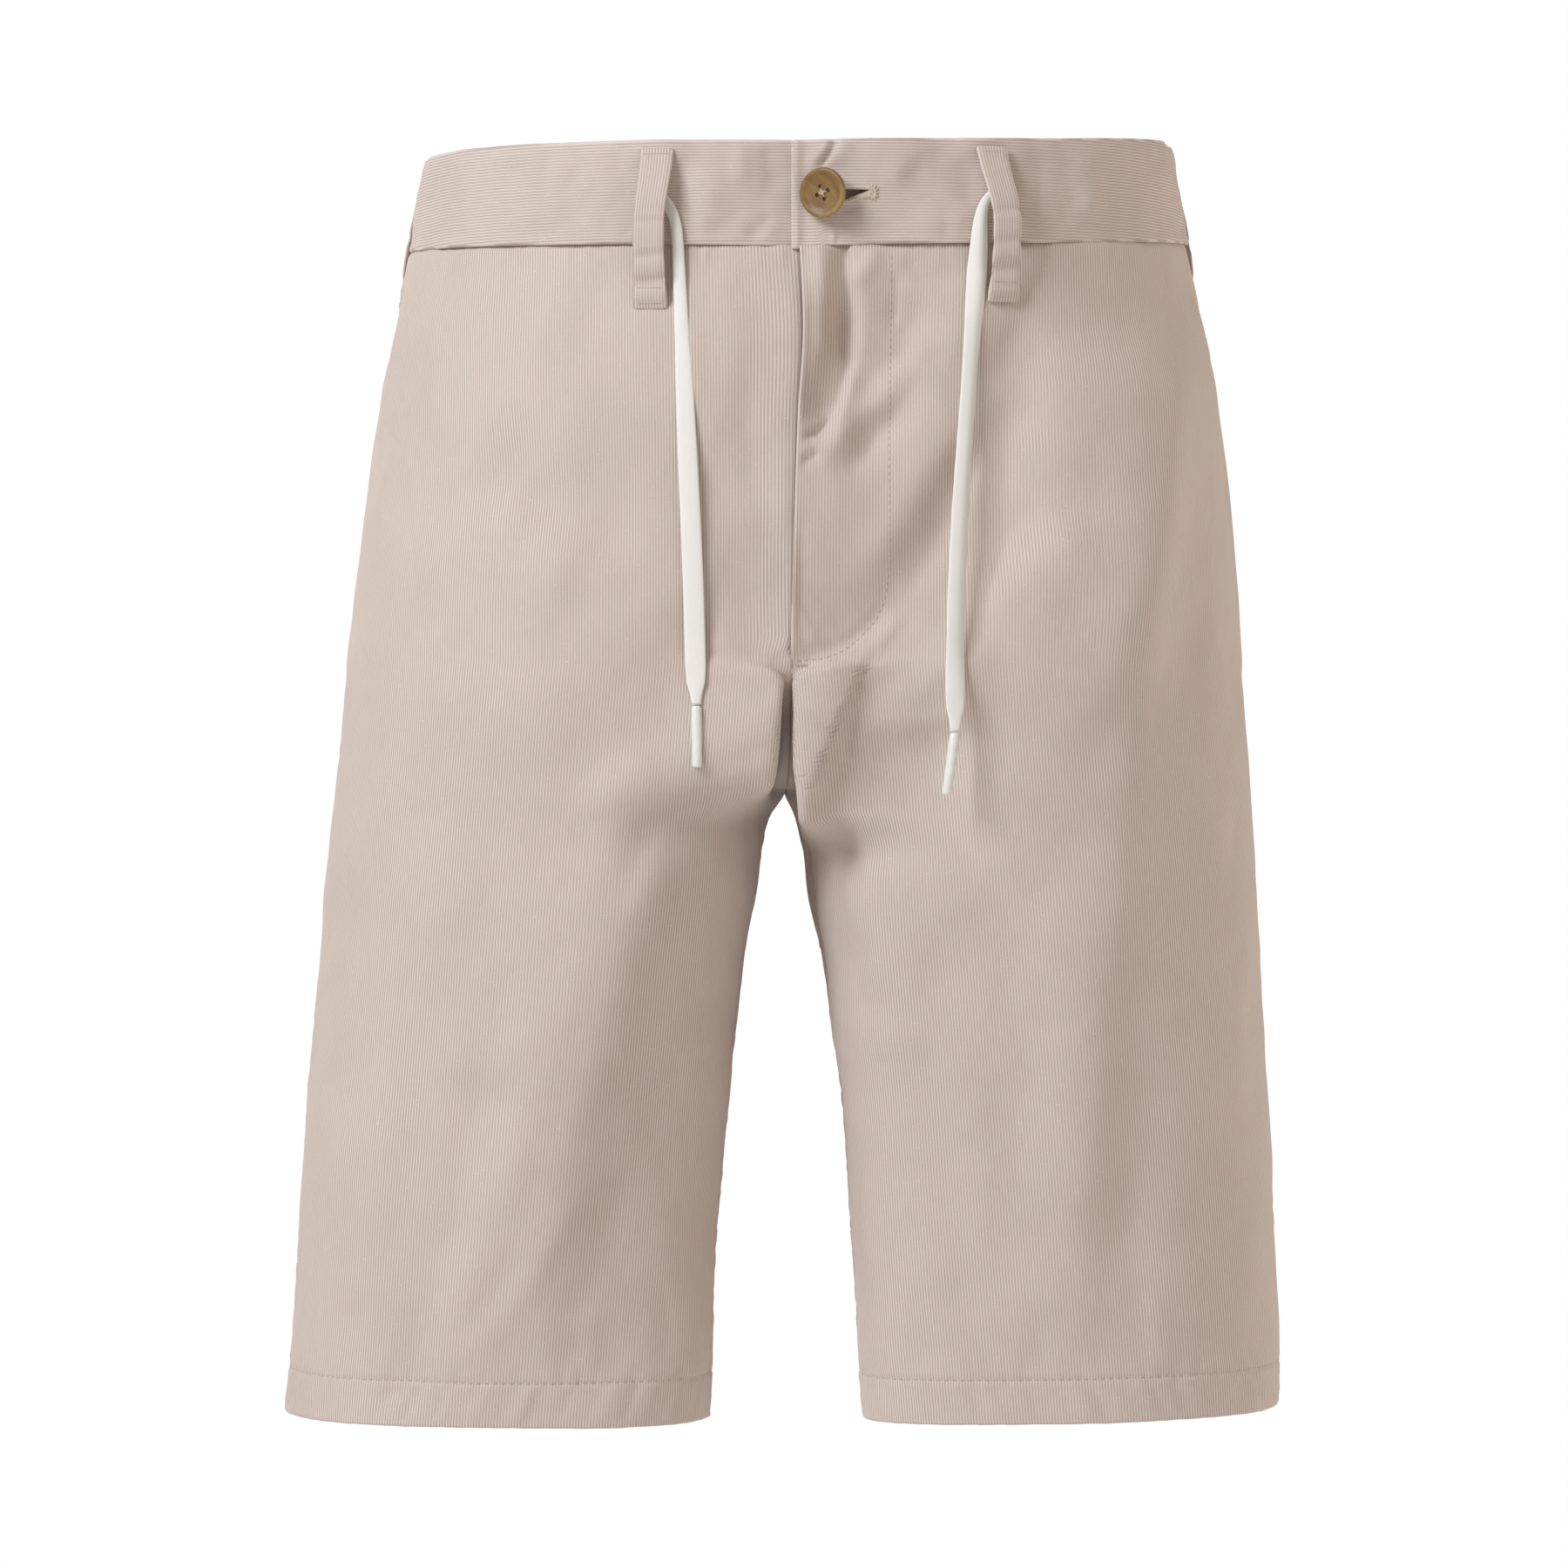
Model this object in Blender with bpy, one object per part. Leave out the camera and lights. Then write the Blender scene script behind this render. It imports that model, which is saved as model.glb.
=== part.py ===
"""Bermuda shorts in finely striped cotton, filled out and hanging as they are worn.

The cut: two fronts, two backs, a waistband in two halves that laps and buttons at the
centre front, a fly with a shield behind it, five belt loops, and a flat drawcord that
leaves the waistband on each side of the fly. Every panel is a thin wall on one ruled
form: rows at falling levels, each a half ring from the front seam round the side to the
back seam. The frame has its origin in the middle of the waist, half way up the
waistband; +Z is up, the front faces -Y and the wearer's left leg lies on +X.

All sizes below are in millimetres.
"""

import math
from typing import NamedTuple

import bmesh
import bpy
import numpy as np
from mathutils import Vector

MM = 0.001
RIGHT = -1                  # the wearer's right leg, on -X
LEFT = 1                    # the wearer's left leg, on +X

# Cloth and making
CLOTH = 1.4                 # wall of a panel
BAND_WALL = 2.0             # wall of the waistband, two layers
BAND_PROUD = 0.5            # the waistband stands out from the panels
BAND_LEAN = 5.0             # the waistband leans in from its seam to its top
SEAM_GAP = 0.3
SEAT_GAP = 0.3
HEM_DEPTH = 19.0
HEM_WALL = 2.6              # the hem is turned up inside
HEM_STEP = 1.5              # length over which the wall thickens at the hem's edge
HEM_INNER_DROP = 1.0        # the hems hang a little lower at the inseam
HEM_OUTER_RISE = 4.0        # the left hem rises to its side seam

# Levels
WAIST_SEAM = -16.0          # middle of the waist seam, before it dips at the front
SEAM_DIP_ENDS = -110.0      # rows below this level are flat
FLY_END = -191.0
FRONT_FORK = -180.0         # the front seam begins to curve under
BACK_FORK = -165.0          # the back seam begins to curve under
CROTCH = -242.0
HEM = -505.0
CROTCH_Y = -30.0
INSEAM_HEM_Y = -24.0
SEAM_SINK = 0.5             # the centre seams lie this deep in the cloth at the waist
FRONT_HOLLOW = 8.5          # the front one lies this much deeper at its fork
FRONT_HOLLOW_TOP = -110.0
BACK_HOLLOW = 3.5
BACK_HOLLOW_TOP = -60.0
ROUND_THIGH = -226.0        # from here down the rows run round the thigh

# Form of a row
SIDE_WAIST_Y = 6.0
SIDE_HEM_Y = -5.0
ROUNDNESS = 2.25            # superellipse exponent at the front, side and back
INNER_ROUNDNESS = 2.7       # the same beside the inner seams
ROW_SAMPLES = 72
FOLD_FADE_INNER = 0.05      # shares of a row over which the folds fade at its two seams
FOLD_FADE_SIDE = 0.08
ROW_NUDGE = 0.002           # share of a row, and levels, that a normal is worked out over
LEVEL_NUDGE = 0.5

# Fly
FLY_EDGE_X = 3.6            # the fly's edge, the front seam of the left front
FLY_WIDTH = 40.0
FLY_CURVE = 36.0            # height of the rounded end
FLY_LIFT = 0.9              # the left front laps over the right one
FLY_FADE = 8.0              # height over which the lap ends
SHIELD_RIGHT_STEPS = (10.0, 2.0)            # the shield's columns, from the front seam
SHIELD_LEFT_STEPS = (0.0, 4.0, 9.0, 18.0, 30.0)
SHIELD_WALL = 1.2
SHIELD_GAP = 0.5
SHIELD_SINK = 2.2           # the shield hangs clear of the fold beside the fly
SHIELD_EASE = 8.0           # width over which it sinks
SHIELD_TOP_GAP = 0.6
SHIELD_END = -176.0
SHIELD_ROWS = 12

# Waistband ends
OVERLAP_EDGE = -2.3         # where the left end stops, along the waist from the front seam
UNDERLAP_EDGE = 36.0
OVERLAP_LIFT = 1.3
OVERLAP_CLEAR = 3.0         # the left end stays lifted this far past the right one
OVERLAP_EASE = 24.0         # and comes down over this length
UNDERLAP_SINK = 1.0
UNDERLAP_CLEAR = 1.0
UNDERLAP_EASE = 8.0

# Button and buttonhole
BUTTON_X = 14.4
BUTTON_Z = -0.5
BUTTON_RADIUS = 10.2
BUTTON_HOLE = 0.85
BUTTON_HOLE_OUT = 2.6
BUTTON_HOLE_SIDES = 10
BUTTON_TURN = 21.0          # the first hole's angle
BUTTON_TILT = 25.0          # the buttonhole's lips hold its left edge up
BUTTON_SIDES = 32
BUTTON_SMOOTH = 40.0
BUTTON_LIFT = 0.15          # clear of the waistband's flat facets
BUTTON_REACH = 4.0          # the slope under the button is taken this far up and down
SLIT_FRONT_Y = -126.0       # the buttonhole's cutter starts here and is this long
SLIT_THROUGH = 24.0

# Side pockets, in the side seams
POCKET_TOP = -52.0
POCKET_FOOT = -200.0
POCKET_LIFT = 1.2           # the front's edge gapes a little over the back
POCKET_REACH = 0.07         # share of the row that it lifts
POCKET_FADE = 14.0

# Drawcord, and the eyelets that it leaves the waistband by
EYELET_WIDE = 5.6
EYELET_HIGH = 10.4
EYELET_DEEP = 1.1           # through the outer layer of the waistband
EYELET_OUT = 4.0            # its cutter stands out this far
EYELET_RIGHT_PLACE = (-62.3, 0.0)           # along the waist, and height
EYELET_LEFT_PLACE = (83.2, 2.0)
CORD_WIDTH = 8.6
CORD_WALL = 1.3
CORD_STEP = 7.0
CORD_TAPER = (0.42, 0.85)   # shares of the width at the aglet and one step above it
ROUTE_STEPS = 12            # fine points between two points of a route
AGLET_RADIUS = 2.1
AGLET_SIDES = 12
AGLET_EDGE = 0.8            # share of the radius at its two rims

# Belt loops
LOOP_WIDTH = 13.4
LOOP_WALL = 1.6
LOOP_LIFT = 0.25            # clear of the waistband's flat facets
LOOP_FLATNESS = 0.7         # below 1 it stands off more squarely

# Grids: cells across and rows down
FRONT_CELLS = 17
BACK_CELLS = 16
BAND_CELLS = 30
BAND_ROWS = 4
LOOP_CELLS = 12
UPPER_ROWS = 11
FORK_ROWS = 9
LEG_ROWS = 12
FORK_ROWS_END = 14.0        # the close rows end this far below the crotch
SEAM_LEVEL_STRETCH = 1.06   # levels to a millimetre, just below the waist seam where it dips
SMOOTH_ANGLE = 60.0


class Section(NamedTuple):
    """Sizes at one level: y of the foremost and backmost cloth, the rest from x = 0."""

    level: float
    front: float
    back: float
    front_mid: float        # where the foremost cloth lies
    back_mid: float         # where the backmost cloth lies
    out_right: float
    out_left: float
    in_right: float         # negative where the seam lies on the other side of x = 0
    in_left: float


SECTIONS = [
    #        level   front    back  front  back    out    out    in    in
    #                                mid    mid  right   left right  left
    Section(-16.0, -116.5, 118.5, 25.0, 30.0, 160.5, 167.5, -4.0, 4.0),
    Section(-60.0, -121.5, 134.0, 32.0, 45.0, 169.3, 177.1, -3.6, 3.6),
    Section(-110.0, -125.0, 143.0, 45.0, 62.0, 176.9, 185.5, -3.0, 3.0),
    Section(-150.0, -126.0, 146.0, 55.0, 70.0, 182.1, 189.0, -2.5, 2.5),
    Section(-195.0, -125.5, 143.5, 66.0, 77.0, 187.7, 191.9, -1.0, 1.0),
    Section(-242.0, -120.0, 129.0, 78.0, 84.0, 192.5, 195.2, 1.3, -1.3),
    Section(-255.0, -117.0, 124.0, 81.0, 86.0, 193.8, 196.0, 8.9, 3.3),
    Section(-284.0, -112.0, 114.0, 88.0, 91.0, 196.7, 197.8, 14.8, 8.9),
    Section(-314.0, -107.0, 106.0, 94.0, 96.0, 199.3, 199.7, 19.2, 14.1),
    Section(-373.0, -98.0, 93.0, 104.0, 105.0, 204.5, 202.6, 25.5, 22.2),
    Section(-432.0, -90.0, 82.0, 112.0, 113.0, 208.2, 205.6, 30.7, 26.3),
    Section(-505.0, -82.0, 71.0, 121.0, 121.0, 212.7, 207.5, 33.7, 31.1),
]


class BandEdge(NamedTuple):
    """Heights of the waistband's two edges at one place of the waist."""

    turn: float             # 0 at the centre front, 0.5 at the side, 1 at the back
    seam_right: float
    top_right: float
    seam_left: float
    top_left: float


BAND_EDGES = [
    BandEdge(0.00, -20.7, 20.4, -20.7, 20.4),
    BandEdge(0.20, -19.3, 20.6, -18.3, 22.4),
    BandEdge(0.40, -15.8, 21.8, -12.8, 28.0),
    BandEdge(0.50, -13.3, 18.0, -10.0, 29.2),
    BandEdge(0.62, -11.5, 21.5, -9.4, 29.6),
    BandEdge(1.00, -9.0, 31.0, -9.0, 31.0),
]


class Fold(NamedTuple):
    """One long soft fold, a ridge where rise is above zero and a trough below it."""

    side: int
    start_x: float
    start_z: float
    end_x: float
    end_z: float
    half_width: float
    rise: float


FRONT_FOLDS = [
    Fold(LEFT, 21.0, -26.0, 8.0, -97.0, 6.0, -2.2),
    Fold(LEFT, 90.0, -91.0, 77.0, -113.0, 11.0, -3.4),
    Fold(LEFT, 77.0, -113.0, 40.0, -169.0, 12.0, -3.0),
    Fold(LEFT, 16.0, -196.0, 104.0, -134.0, 13.0, 3.4),
    Fold(LEFT, 46.0, -206.0, 84.0, -196.0, 17.0, -5.5),
    Fold(LEFT, 17.0, -262.0, 29.0, -328.0, 9.0, -3.5),
    Fold(LEFT, 114.0, -305.0, 112.0, -450.0, 20.0, 3.0),
    Fold(RIGHT, -12.0, -216.0, -76.0, -246.0, 14.0, 4.0),
    Fold(RIGHT, -12.0, -246.0, -72.0, -270.0, 15.0, -5.5),
    Fold(RIGHT, -72.0, -270.0, -94.0, -296.0, 14.0, -4.0),
    Fold(RIGHT, -94.0, -275.0, -143.0, -462.0, 14.0, 3.0),
    Fold(RIGHT, -122.0, -370.0, -158.0, -490.0, 10.0, -2.6),
    Fold(RIGHT, -34.0, -120.0, -46.0, -192.0, 16.0, -1.8),
]

BACK_FOLDS = [
    Fold(LEFT, 30.0, -205.0, 120.0, -262.0, 16.0, -5.0),
    Fold(LEFT, 60.0, -262.0, 150.0, -300.0, 15.0, -3.5),
    Fold(LEFT, 16.0, -70.0, 70.0, -108.0, 15.0, -2.4),
    Fold(LEFT, 118.0, -330.0, 104.0, -455.0, 18.0, 2.8),
    Fold(RIGHT, -26.0, -212.0, -108.0, -254.0, 17.0, -5.5),
    Fold(RIGHT, -70.0, -270.0, -140.0, -318.0, 14.0, -3.0),
    Fold(RIGHT, -20.0, -84.0, -84.0, -112.0, 16.0, -2.6),
    Fold(RIGHT, -96.0, -340.0, -124.0, -470.0, 16.0, 3.0),
]


class Loop(NamedTuple):
    """One belt loop: places along the waist from the front seam, left positive."""

    name: str
    top: float
    middle: float
    foot: float
    top_z: float
    foot_z: float
    stand: float            # how far its middle stands off the waistband


LOOPS = [
    Loop("belt_loop_front_right", -57.4, -59.1, -59.1, 17.0, -46.0, 3.2),
    Loop("belt_loop_front_left", 78.2, 81.9, 82.9, 18.6, -42.6, 3.2),
    Loop("belt_loop_side_right", -261.0, -261.0, -261.0, 15.0, -36.0, 2.4),
    Loop("belt_loop_side_left", 262.0, 262.0, 262.0, 21.0, -33.0, 3.3),
]
BACK_LOOP = Loop("belt_loop_back", 0.0, 0.0, 0.0, 28.0, -34.0, 3.2)


class CordPoint(NamedTuple):
    """One point of a drawcord's route, and how far it faces away from -Y in degrees."""

    x: float
    y: float
    z: float
    facing: float


CORD_RIGHT = [
    CordPoint(-59.8, -112.2, 0.0, -7.0),
    CordPoint(-56.4, -113.6, -0.1, -7.0),
    CordPoint(-51.6, -114.8, -1.8, -7.0),
    CordPoint(-48.0, -115.9, -6.6, -7.0),
    CordPoint(-45.8, -116.8, -13.4, -6.0),
    CordPoint(-45.0, -118.0, -24.0, -4.0),
    CordPoint(-43.9, -121.2, -50.0, -3.0),
    CordPoint(-42.4, -124.4, -81.0, -1.0),
    CordPoint(-40.8, -125.9, -115.0, 0.0),
    CordPoint(-39.2, -126.2, -151.0, 0.0),
    CordPoint(-38.2, -126.2, -182.0, 0.0),
    CordPoint(-37.6, -126.2, -208.0, 0.0),
]

CORD_LEFT = [
    CordPoint(88.0, -105.9, 2.0, 17.0),
    CordPoint(85.0, -107.9, 1.9, 17.0),
    CordPoint(81.6, -109.4, 0.2, 17.0),
    CordPoint(78.6, -110.8, -4.2, 16.0),
    CordPoint(77.2, -111.9, -11.0, 15.0),
    CordPoint(76.6, -113.2, -24.0, 14.0),
    CordPoint(75.6, -116.2, -42.0, 12.0),
    CordPoint(73.9, -120.6, -70.0, 8.0),
    CordPoint(71.9, -123.8, -96.0, 4.0),
    CordPoint(69.9, -127.0, -124.0, 1.0),
    CordPoint(68.0, -130.0, -160.0, 0.0),
    CordPoint(67.2, -130.4, -190.0, 0.0),
    CordPoint(66.8, -130.5, -219.0, 0.0),
]


class SlitCorner(NamedTuple):
    """One corner of the buttonhole, z from the button's height."""

    x: float
    z: float


SLIT = [
    SlitCorner(8.0, 0.1),
    SlitCorner(12.0, 1.5),
    SlitCorner(21.0, 1.9),
    SlitCorner(32.0, 1.7),
    SlitCorner(34.0, 1.3),
    SlitCorner(30.0, 0.9),
    SlitCorner(21.0, -1.7),
    SlitCorner(12.0, -1.1),
]


class TurnedPoint(NamedTuple):
    """One point of the button's half profile: share of its radius, and height."""

    out: float
    up: float


BUTTON_PROFILE = [
    TurnedPoint(0.0, 0.0),
    TurnedPoint(0.72, 0.0),
    TurnedPoint(0.95, 0.5),
    TurnedPoint(1.0, 1.2),
    TurnedPoint(0.97, 2.4),
    TurnedPoint(0.9, 2.8),
    TurnedPoint(0.78, 2.7),
    TurnedPoint(0.62, 1.9),
    TurnedPoint(0.0, 1.7),
]


class Aglet(NamedTuple):
    """A cord's stiff end: its length and how far its foot lies to the side."""

    name: str
    length: float
    lean: float


AGLET_RIGHT = Aglet("aglet_right", 25.0, 0.3)
AGLET_LEFT = Aglet("aglet_left", 25.0, -3.4)


class Finish(NamedTuple):
    """A plain material."""

    name: str
    colour: tuple
    roughness: float


COTTON = Finish("striped_cotton", (0.60, 0.50, 0.45, 1.0), 0.9)
CORD_COTTON = Finish("cord_cotton", (0.82, 0.81, 0.76, 1.0), 0.85)
AGLET_FILM = Finish("aglet_film", (0.85, 0.85, 0.82, 1.0), 0.35)
BUTTON_HORN = Finish("button_horn", (0.36, 0.22, 0.09, 1.0), 0.3)


def smoothstep(value):
    """Ease from 0 to 1 as the value goes from 0 to 1."""
    part = np.clip(value, 0.0, 1.0)
    return part * part * (3.0 - 2.0 * part)


def through_points(keys, values, at):
    """Monotone cubic curve through a table's points, read at a key or an array of keys."""
    keys = np.asarray(keys, dtype=float)
    values = np.asarray(values, dtype=float)
    steps = np.diff(keys)
    slopes = np.diff(values) / steps
    tangents = np.zeros_like(values)
    tangents[0] = slopes[0]
    tangents[-1] = slopes[-1]
    same_way = slopes[:-1] * slopes[1:] > 0
    weight = steps[:-1] + steps[1:]
    with np.errstate(divide="ignore", invalid="ignore"):
        mean = 3.0 * weight / ((2.0 * steps[1:] + steps[:-1]) / slopes[:-1]
                               + (steps[1:] + 2.0 * steps[:-1]) / slopes[1:])
    tangents[1:-1] = np.where(same_way, mean, 0.0)
    at = np.clip(at, keys[0], keys[-1])
    cell = np.clip(np.searchsorted(keys, at, side="right") - 1, 0, len(steps) - 1)
    part = (at - keys[cell]) / steps[cell]
    return ((1.0 + 2.0 * part) * (1.0 - part) ** 2 * values[cell]
            + part * (1.0 - part) ** 2 * steps[cell] * tangents[cell]
            + part ** 2 * (3.0 - 2.0 * part) * values[cell + 1]
            + part ** 2 * (part - 1.0) * steps[cell] * tangents[cell + 1])


def size_at(level, column):
    """One column of the section table, read at any level."""
    falling = [-row.level for row in SECTIONS]
    return float(through_points(falling, [getattr(row, column) for row in SECTIONS], -level))


def band_edge(side, turn, edge):
    """Height of the waistband's seam or top at a place of the waist."""
    column = edge + ("_left" if side == LEFT else "_right")
    turns = [row.turn for row in BAND_EDGES]
    return through_points(turns, [getattr(row, column) for row in BAND_EDGES], turn)


def seam_end(side, level, front):
    """Point where a row meets the centre seam or, below the crotch, the inseam."""
    seam_level = level if front or level <= CROTCH else CROTCH
    left_x = size_at(seam_level, "in_left")
    right_x = -size_at(seam_level, "in_right")
    if level > CROTCH:
        inner = 0.5 * (left_x + right_x)
    else:
        inner = left_x if side == LEFT else right_x
    inner += side * 0.5 * SEAM_GAP
    if level <= CROTCH:
        down = (CROTCH - level) / (CROTCH - HEM)
        return np.array([inner, CROTCH_Y + down * (INSEAM_HEM_Y - CROTCH_Y), level])
    fork = FRONT_FORK if front else BACK_FORK
    upright = max(level, fork)
    if front:
        down = (FRONT_HOLLOW_TOP - upright) / (FRONT_HOLLOW_TOP - FRONT_FORK)
        seam_y = size_at(upright, "front") + SEAM_SINK + FRONT_HOLLOW * smoothstep(down)
    else:
        down = (BACK_HOLLOW_TOP - upright) / (BACK_HOLLOW_TOP - BACK_FORK)
        seam_y = size_at(upright, "back") - SEAM_SINK - BACK_HOLLOW * smoothstep(down)
    if level >= fork:
        return np.array([inner, seam_y, level])
    angle = 0.5 * math.pi * (fork - level) / (fork - CROTCH)
    under_y = CROTCH_Y + (seam_y - CROTCH_Y) * math.cos(angle)
    under_z = fork - (fork - CROTCH) * math.sin(angle)
    return np.array([inner, under_y, under_z])


def half_row(side, level, front):
    """Fine points of the front or back of a row, from the inner seam to the side."""
    start = seam_end(side, level, front)
    extreme = size_at(level, "front" if front else "back")
    middle = side * size_at(level, "front_mid" if front else "back_mid")
    outer = side * size_at(level, "out_left" if side == LEFT else "out_right")
    down = (WAIST_SEAM - level) / (WAIST_SEAM - HEM)
    side_y = SIDE_WAIST_Y + down * (SIDE_HEM_Y - SIDE_WAIST_Y)
    fork = FRONT_FORK if front else BACK_FORK
    hook = float(smoothstep((fork - level) / (fork - ROUND_THIGH)))

    part = np.linspace(0.0, 1.0, ROW_SAMPLES)
    quarter = 0.5 * math.pi * part
    power = 2.0 / INNER_ROUNDNESS
    across_hook = 1.0 - np.cos(quarter).clip(0.0) ** power
    across_hook[-1] = 1.0
    depth_hook = 1.0 - np.sin(quarter) ** power
    depth_flat = 0.5 + 0.5 * np.cos(math.pi * part)
    across = hook * across_hook + (1.0 - hook) * part
    depth = hook * depth_hook + (1.0 - hook) * depth_flat
    inner = np.column_stack([
        start[0] + (middle - start[0]) * across,
        extreme + (start[1] - extreme) * depth,
        level + (start[2] - level) * (1.0 - part) ** 2,
    ])

    power = 2.0 / ROUNDNESS
    round_across = np.sin(quarter) ** power
    round_depth = np.cos(quarter).clip(0.0) ** power
    round_depth[-1] = 0.0
    outward = np.column_stack([
        middle + (outer - middle) * round_across,
        side_y + (extreme - side_y) * round_depth,
        np.full(ROW_SAMPLES, level),
    ])
    return np.vstack([inner, outward[1:]])


def along(points):
    """Distance along a line of points."""
    steps = np.linalg.norm(np.diff(points, axis=0), axis=1)
    return np.concatenate([[0.0], np.cumsum(steps)])


def read_line(points, distances, at):
    """Points of a line at the given distances along it."""
    return np.column_stack([np.interp(at, distances, points[:, axis]) for axis in range(3)])


def row_points(side, level, front, parts):
    """Points of a row at parts of its way from the inner seam, 0, to the side seam, 1."""
    line = half_row(side, level, front)
    distances = along(line)
    points = read_line(line, distances, parts * distances[-1])
    turn = 0.5 * parts if front else 1.0 - 0.5 * parts
    fade = 1.0 - smoothstep((WAIST_SEAM - level) / (WAIST_SEAM - SEAM_DIP_ENDS))
    points[:, 2] += fade * (band_edge(side, turn, "seam") - WAIST_SEAM)
    down = max(CROTCH - level, 0.0) / (CROTCH - HEM)
    outer_rise = HEM_OUTER_RISE if side == LEFT else 0.0
    points[:, 2] += down ** 2 * (outer_rise * parts - HEM_INNER_DROP * (1.0 - parts))
    return points, distances[-1]


def fold_rise(side, front, points, parts):
    """How far the folds lift the cloth at each point, fading at the seams."""
    rise = np.zeros(len(points))
    for fold in FRONT_FOLDS if front else BACK_FOLDS:
        if fold.side != side:
            continue
        run = np.array([fold.end_x - fold.start_x, fold.end_z - fold.start_z])
        offset = points[:, [0, 2]] - np.array([fold.start_x, fold.start_z])
        part = np.clip(offset @ run / (run @ run), 0.0, 1.0)
        gap = np.linalg.norm(offset - part[:, None] * run, axis=1)
        rise += fold.rise * np.exp(-(gap / fold.half_width) ** 2)
    rise *= smoothstep(parts / FOLD_FADE_INNER)
    return rise * smoothstep((1.0 - parts) / FOLD_FADE_SIDE)


def fly_lift(side, front, points):
    """How far the left front is lifted where it laps over the right one."""
    if side != LEFT or not front:
        return np.zeros(len(points))
    height = np.clip((FLY_END + FLY_CURVE - points[:, 2]) / FLY_CURVE, 0.0, 1.0)
    reach = FLY_WIDTH * np.sqrt(1.0 - height ** 2)
    across = points[:, 0] - FLY_EDGE_X
    inside = smoothstep((reach - across) / FLY_WIDTH)
    above = smoothstep((points[:, 2] - FLY_END) / FLY_FADE)
    return FLY_LIFT * inside * above


def pocket_lift(front, points, parts):
    """How far the front's side edge is lifted along the pocket mouth."""
    if not front:
        return np.zeros(len(points))
    edge = smoothstep((parts - 1.0 + POCKET_REACH) / POCKET_REACH)
    below_top = smoothstep((POCKET_TOP - points[:, 2]) / POCKET_FADE)
    above_foot = smoothstep((points[:, 2] - POCKET_FOOT) / POCKET_FADE)
    return POCKET_LIFT * edge * below_top * above_foot


def panel_surface(side, front, levels, parts, folded=True):
    """Outer points and outward normals of a panel on a grid of levels and parts."""
    points = []
    normals = []
    for level in levels:
        here, _ = row_points(side, level, front, parts)
        before, _ = row_points(side, level, front, np.clip(parts - ROW_NUDGE, 0.0, 1.0))
        after, _ = row_points(side, level, front, np.clip(parts + ROW_NUDGE, 0.0, 1.0))
        over, _ = row_points(side, min(level + LEVEL_NUDGE, WAIST_SEAM), front, parts)
        under, _ = row_points(side, max(level - LEVEL_NUDGE, HEM), front, parts)
        normal = np.cross(after - before, over - under) * side
        if not front:
            normal = -normal
        normal /= np.linalg.norm(normal, axis=1)[:, None]
        if folded:
            lift = fold_rise(side, front, here, parts) + fly_lift(side, front, here)
            lift += pocket_lift(front, here, parts)
            here = here + normal * lift[:, None]
        points.append(here)
        normals.append(normal)
    return np.array(points), np.array(normals)


def new_material(finish):
    """The material of a finish, made once."""
    material = bpy.data.materials.get(finish.name)
    if material is None:
        material = bpy.data.materials.new(finish.name)
        material.use_nodes = True
        shader = material.node_tree.nodes["Principled BSDF"]
        shader.inputs["Base Color"].default_value = finish.colour
        shader.inputs["Roughness"].default_value = finish.roughness
        material.diffuse_color = finish.colour
    return material


def new_object(name, shape, finish, smooth_angle=SMOOTH_ANGLE):
    """Turn a bmesh in millimetres into a named object with its own material."""
    bmesh.ops.recalc_face_normals(shape, faces=shape.faces)
    bmesh.ops.scale(shape, vec=(MM, MM, MM), verts=shape.verts)
    mesh = bpy.data.meshes.new(name)
    shape.to_mesh(mesh)
    shape.free()
    mesh.shade_smooth()
    mesh.set_sharp_from_angle(angle=math.radians(smooth_angle))
    mesh.materials.append(new_material(finish))
    piece = bpy.data.objects.new(name, mesh)
    bpy.context.scene.collection.objects.link(piece)
    return piece


def wall_between(outer, inner):
    """Closed wall between two grids of points of the same size."""
    shape = bmesh.new()
    rows, columns = outer.shape[:2]
    grids = [[[shape.verts.new(point) for point in row] for row in grid] for grid in (outer, inner)]
    for grid in grids:
        for i in range(rows - 1):
            for j in range(columns - 1):
                corners = (grid[i][j], grid[i][j + 1], grid[i + 1][j + 1], grid[i + 1][j])
                shape.faces.new(corners if grid is grids[0] else corners[::-1])
    front, back = grids
    rim = [(0, j) for j in range(columns)]
    rim += [(i, columns - 1) for i in range(1, rows)]
    rim += [(rows - 1, j) for j in range(columns - 2, -1, -1)]
    rim += [(i, 0) for i in range(rows - 2, 0, -1)]
    for here, there in zip(rim, rim[1:] + rim[:1]):
        shape.faces.new((front[there[0]][there[1]], front[here[0]][here[1]],
                         back[here[0]][here[1]], back[there[0]][there[1]]))
    return shape


def panel_levels():
    """Levels of a panel's rows: close at the fork, with a pair at the hem's inner edge."""
    upper = np.linspace(WAIST_SEAM, FRONT_FORK, UPPER_ROWS)
    fork = np.linspace(FRONT_FORK, CROTCH - FORK_ROWS_END, FORK_ROWS)[1:]
    leg = np.linspace(CROTCH - FORK_ROWS_END, HEM + HEM_DEPTH + HEM_STEP, LEG_ROWS)[1:]
    hem = np.array([HEM + HEM_DEPTH, HEM + 0.5 * HEM_DEPTH, HEM])
    return np.concatenate([upper, fork, leg, hem])


def make_panel(name, side, front, cells):
    """One front or back, from the waist seam to the hem."""
    levels = panel_levels()
    trim = 0.5 * SEAM_GAP / row_points(side, CROTCH, front, np.array([0.0]))[1]
    parts = np.linspace(trim, 1.0 - trim, cells + 1)
    outer, normals = panel_surface(side, front, levels, parts)
    outer[0, :, 2] -= 0.5 * SEAM_GAP
    wall = np.where(levels <= HEM + HEM_DEPTH, HEM_WALL, CLOTH)
    inner = outer - normals * wall[:, None, None]
    return new_object(name, wall_between(outer, inner), COTTON)


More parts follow.
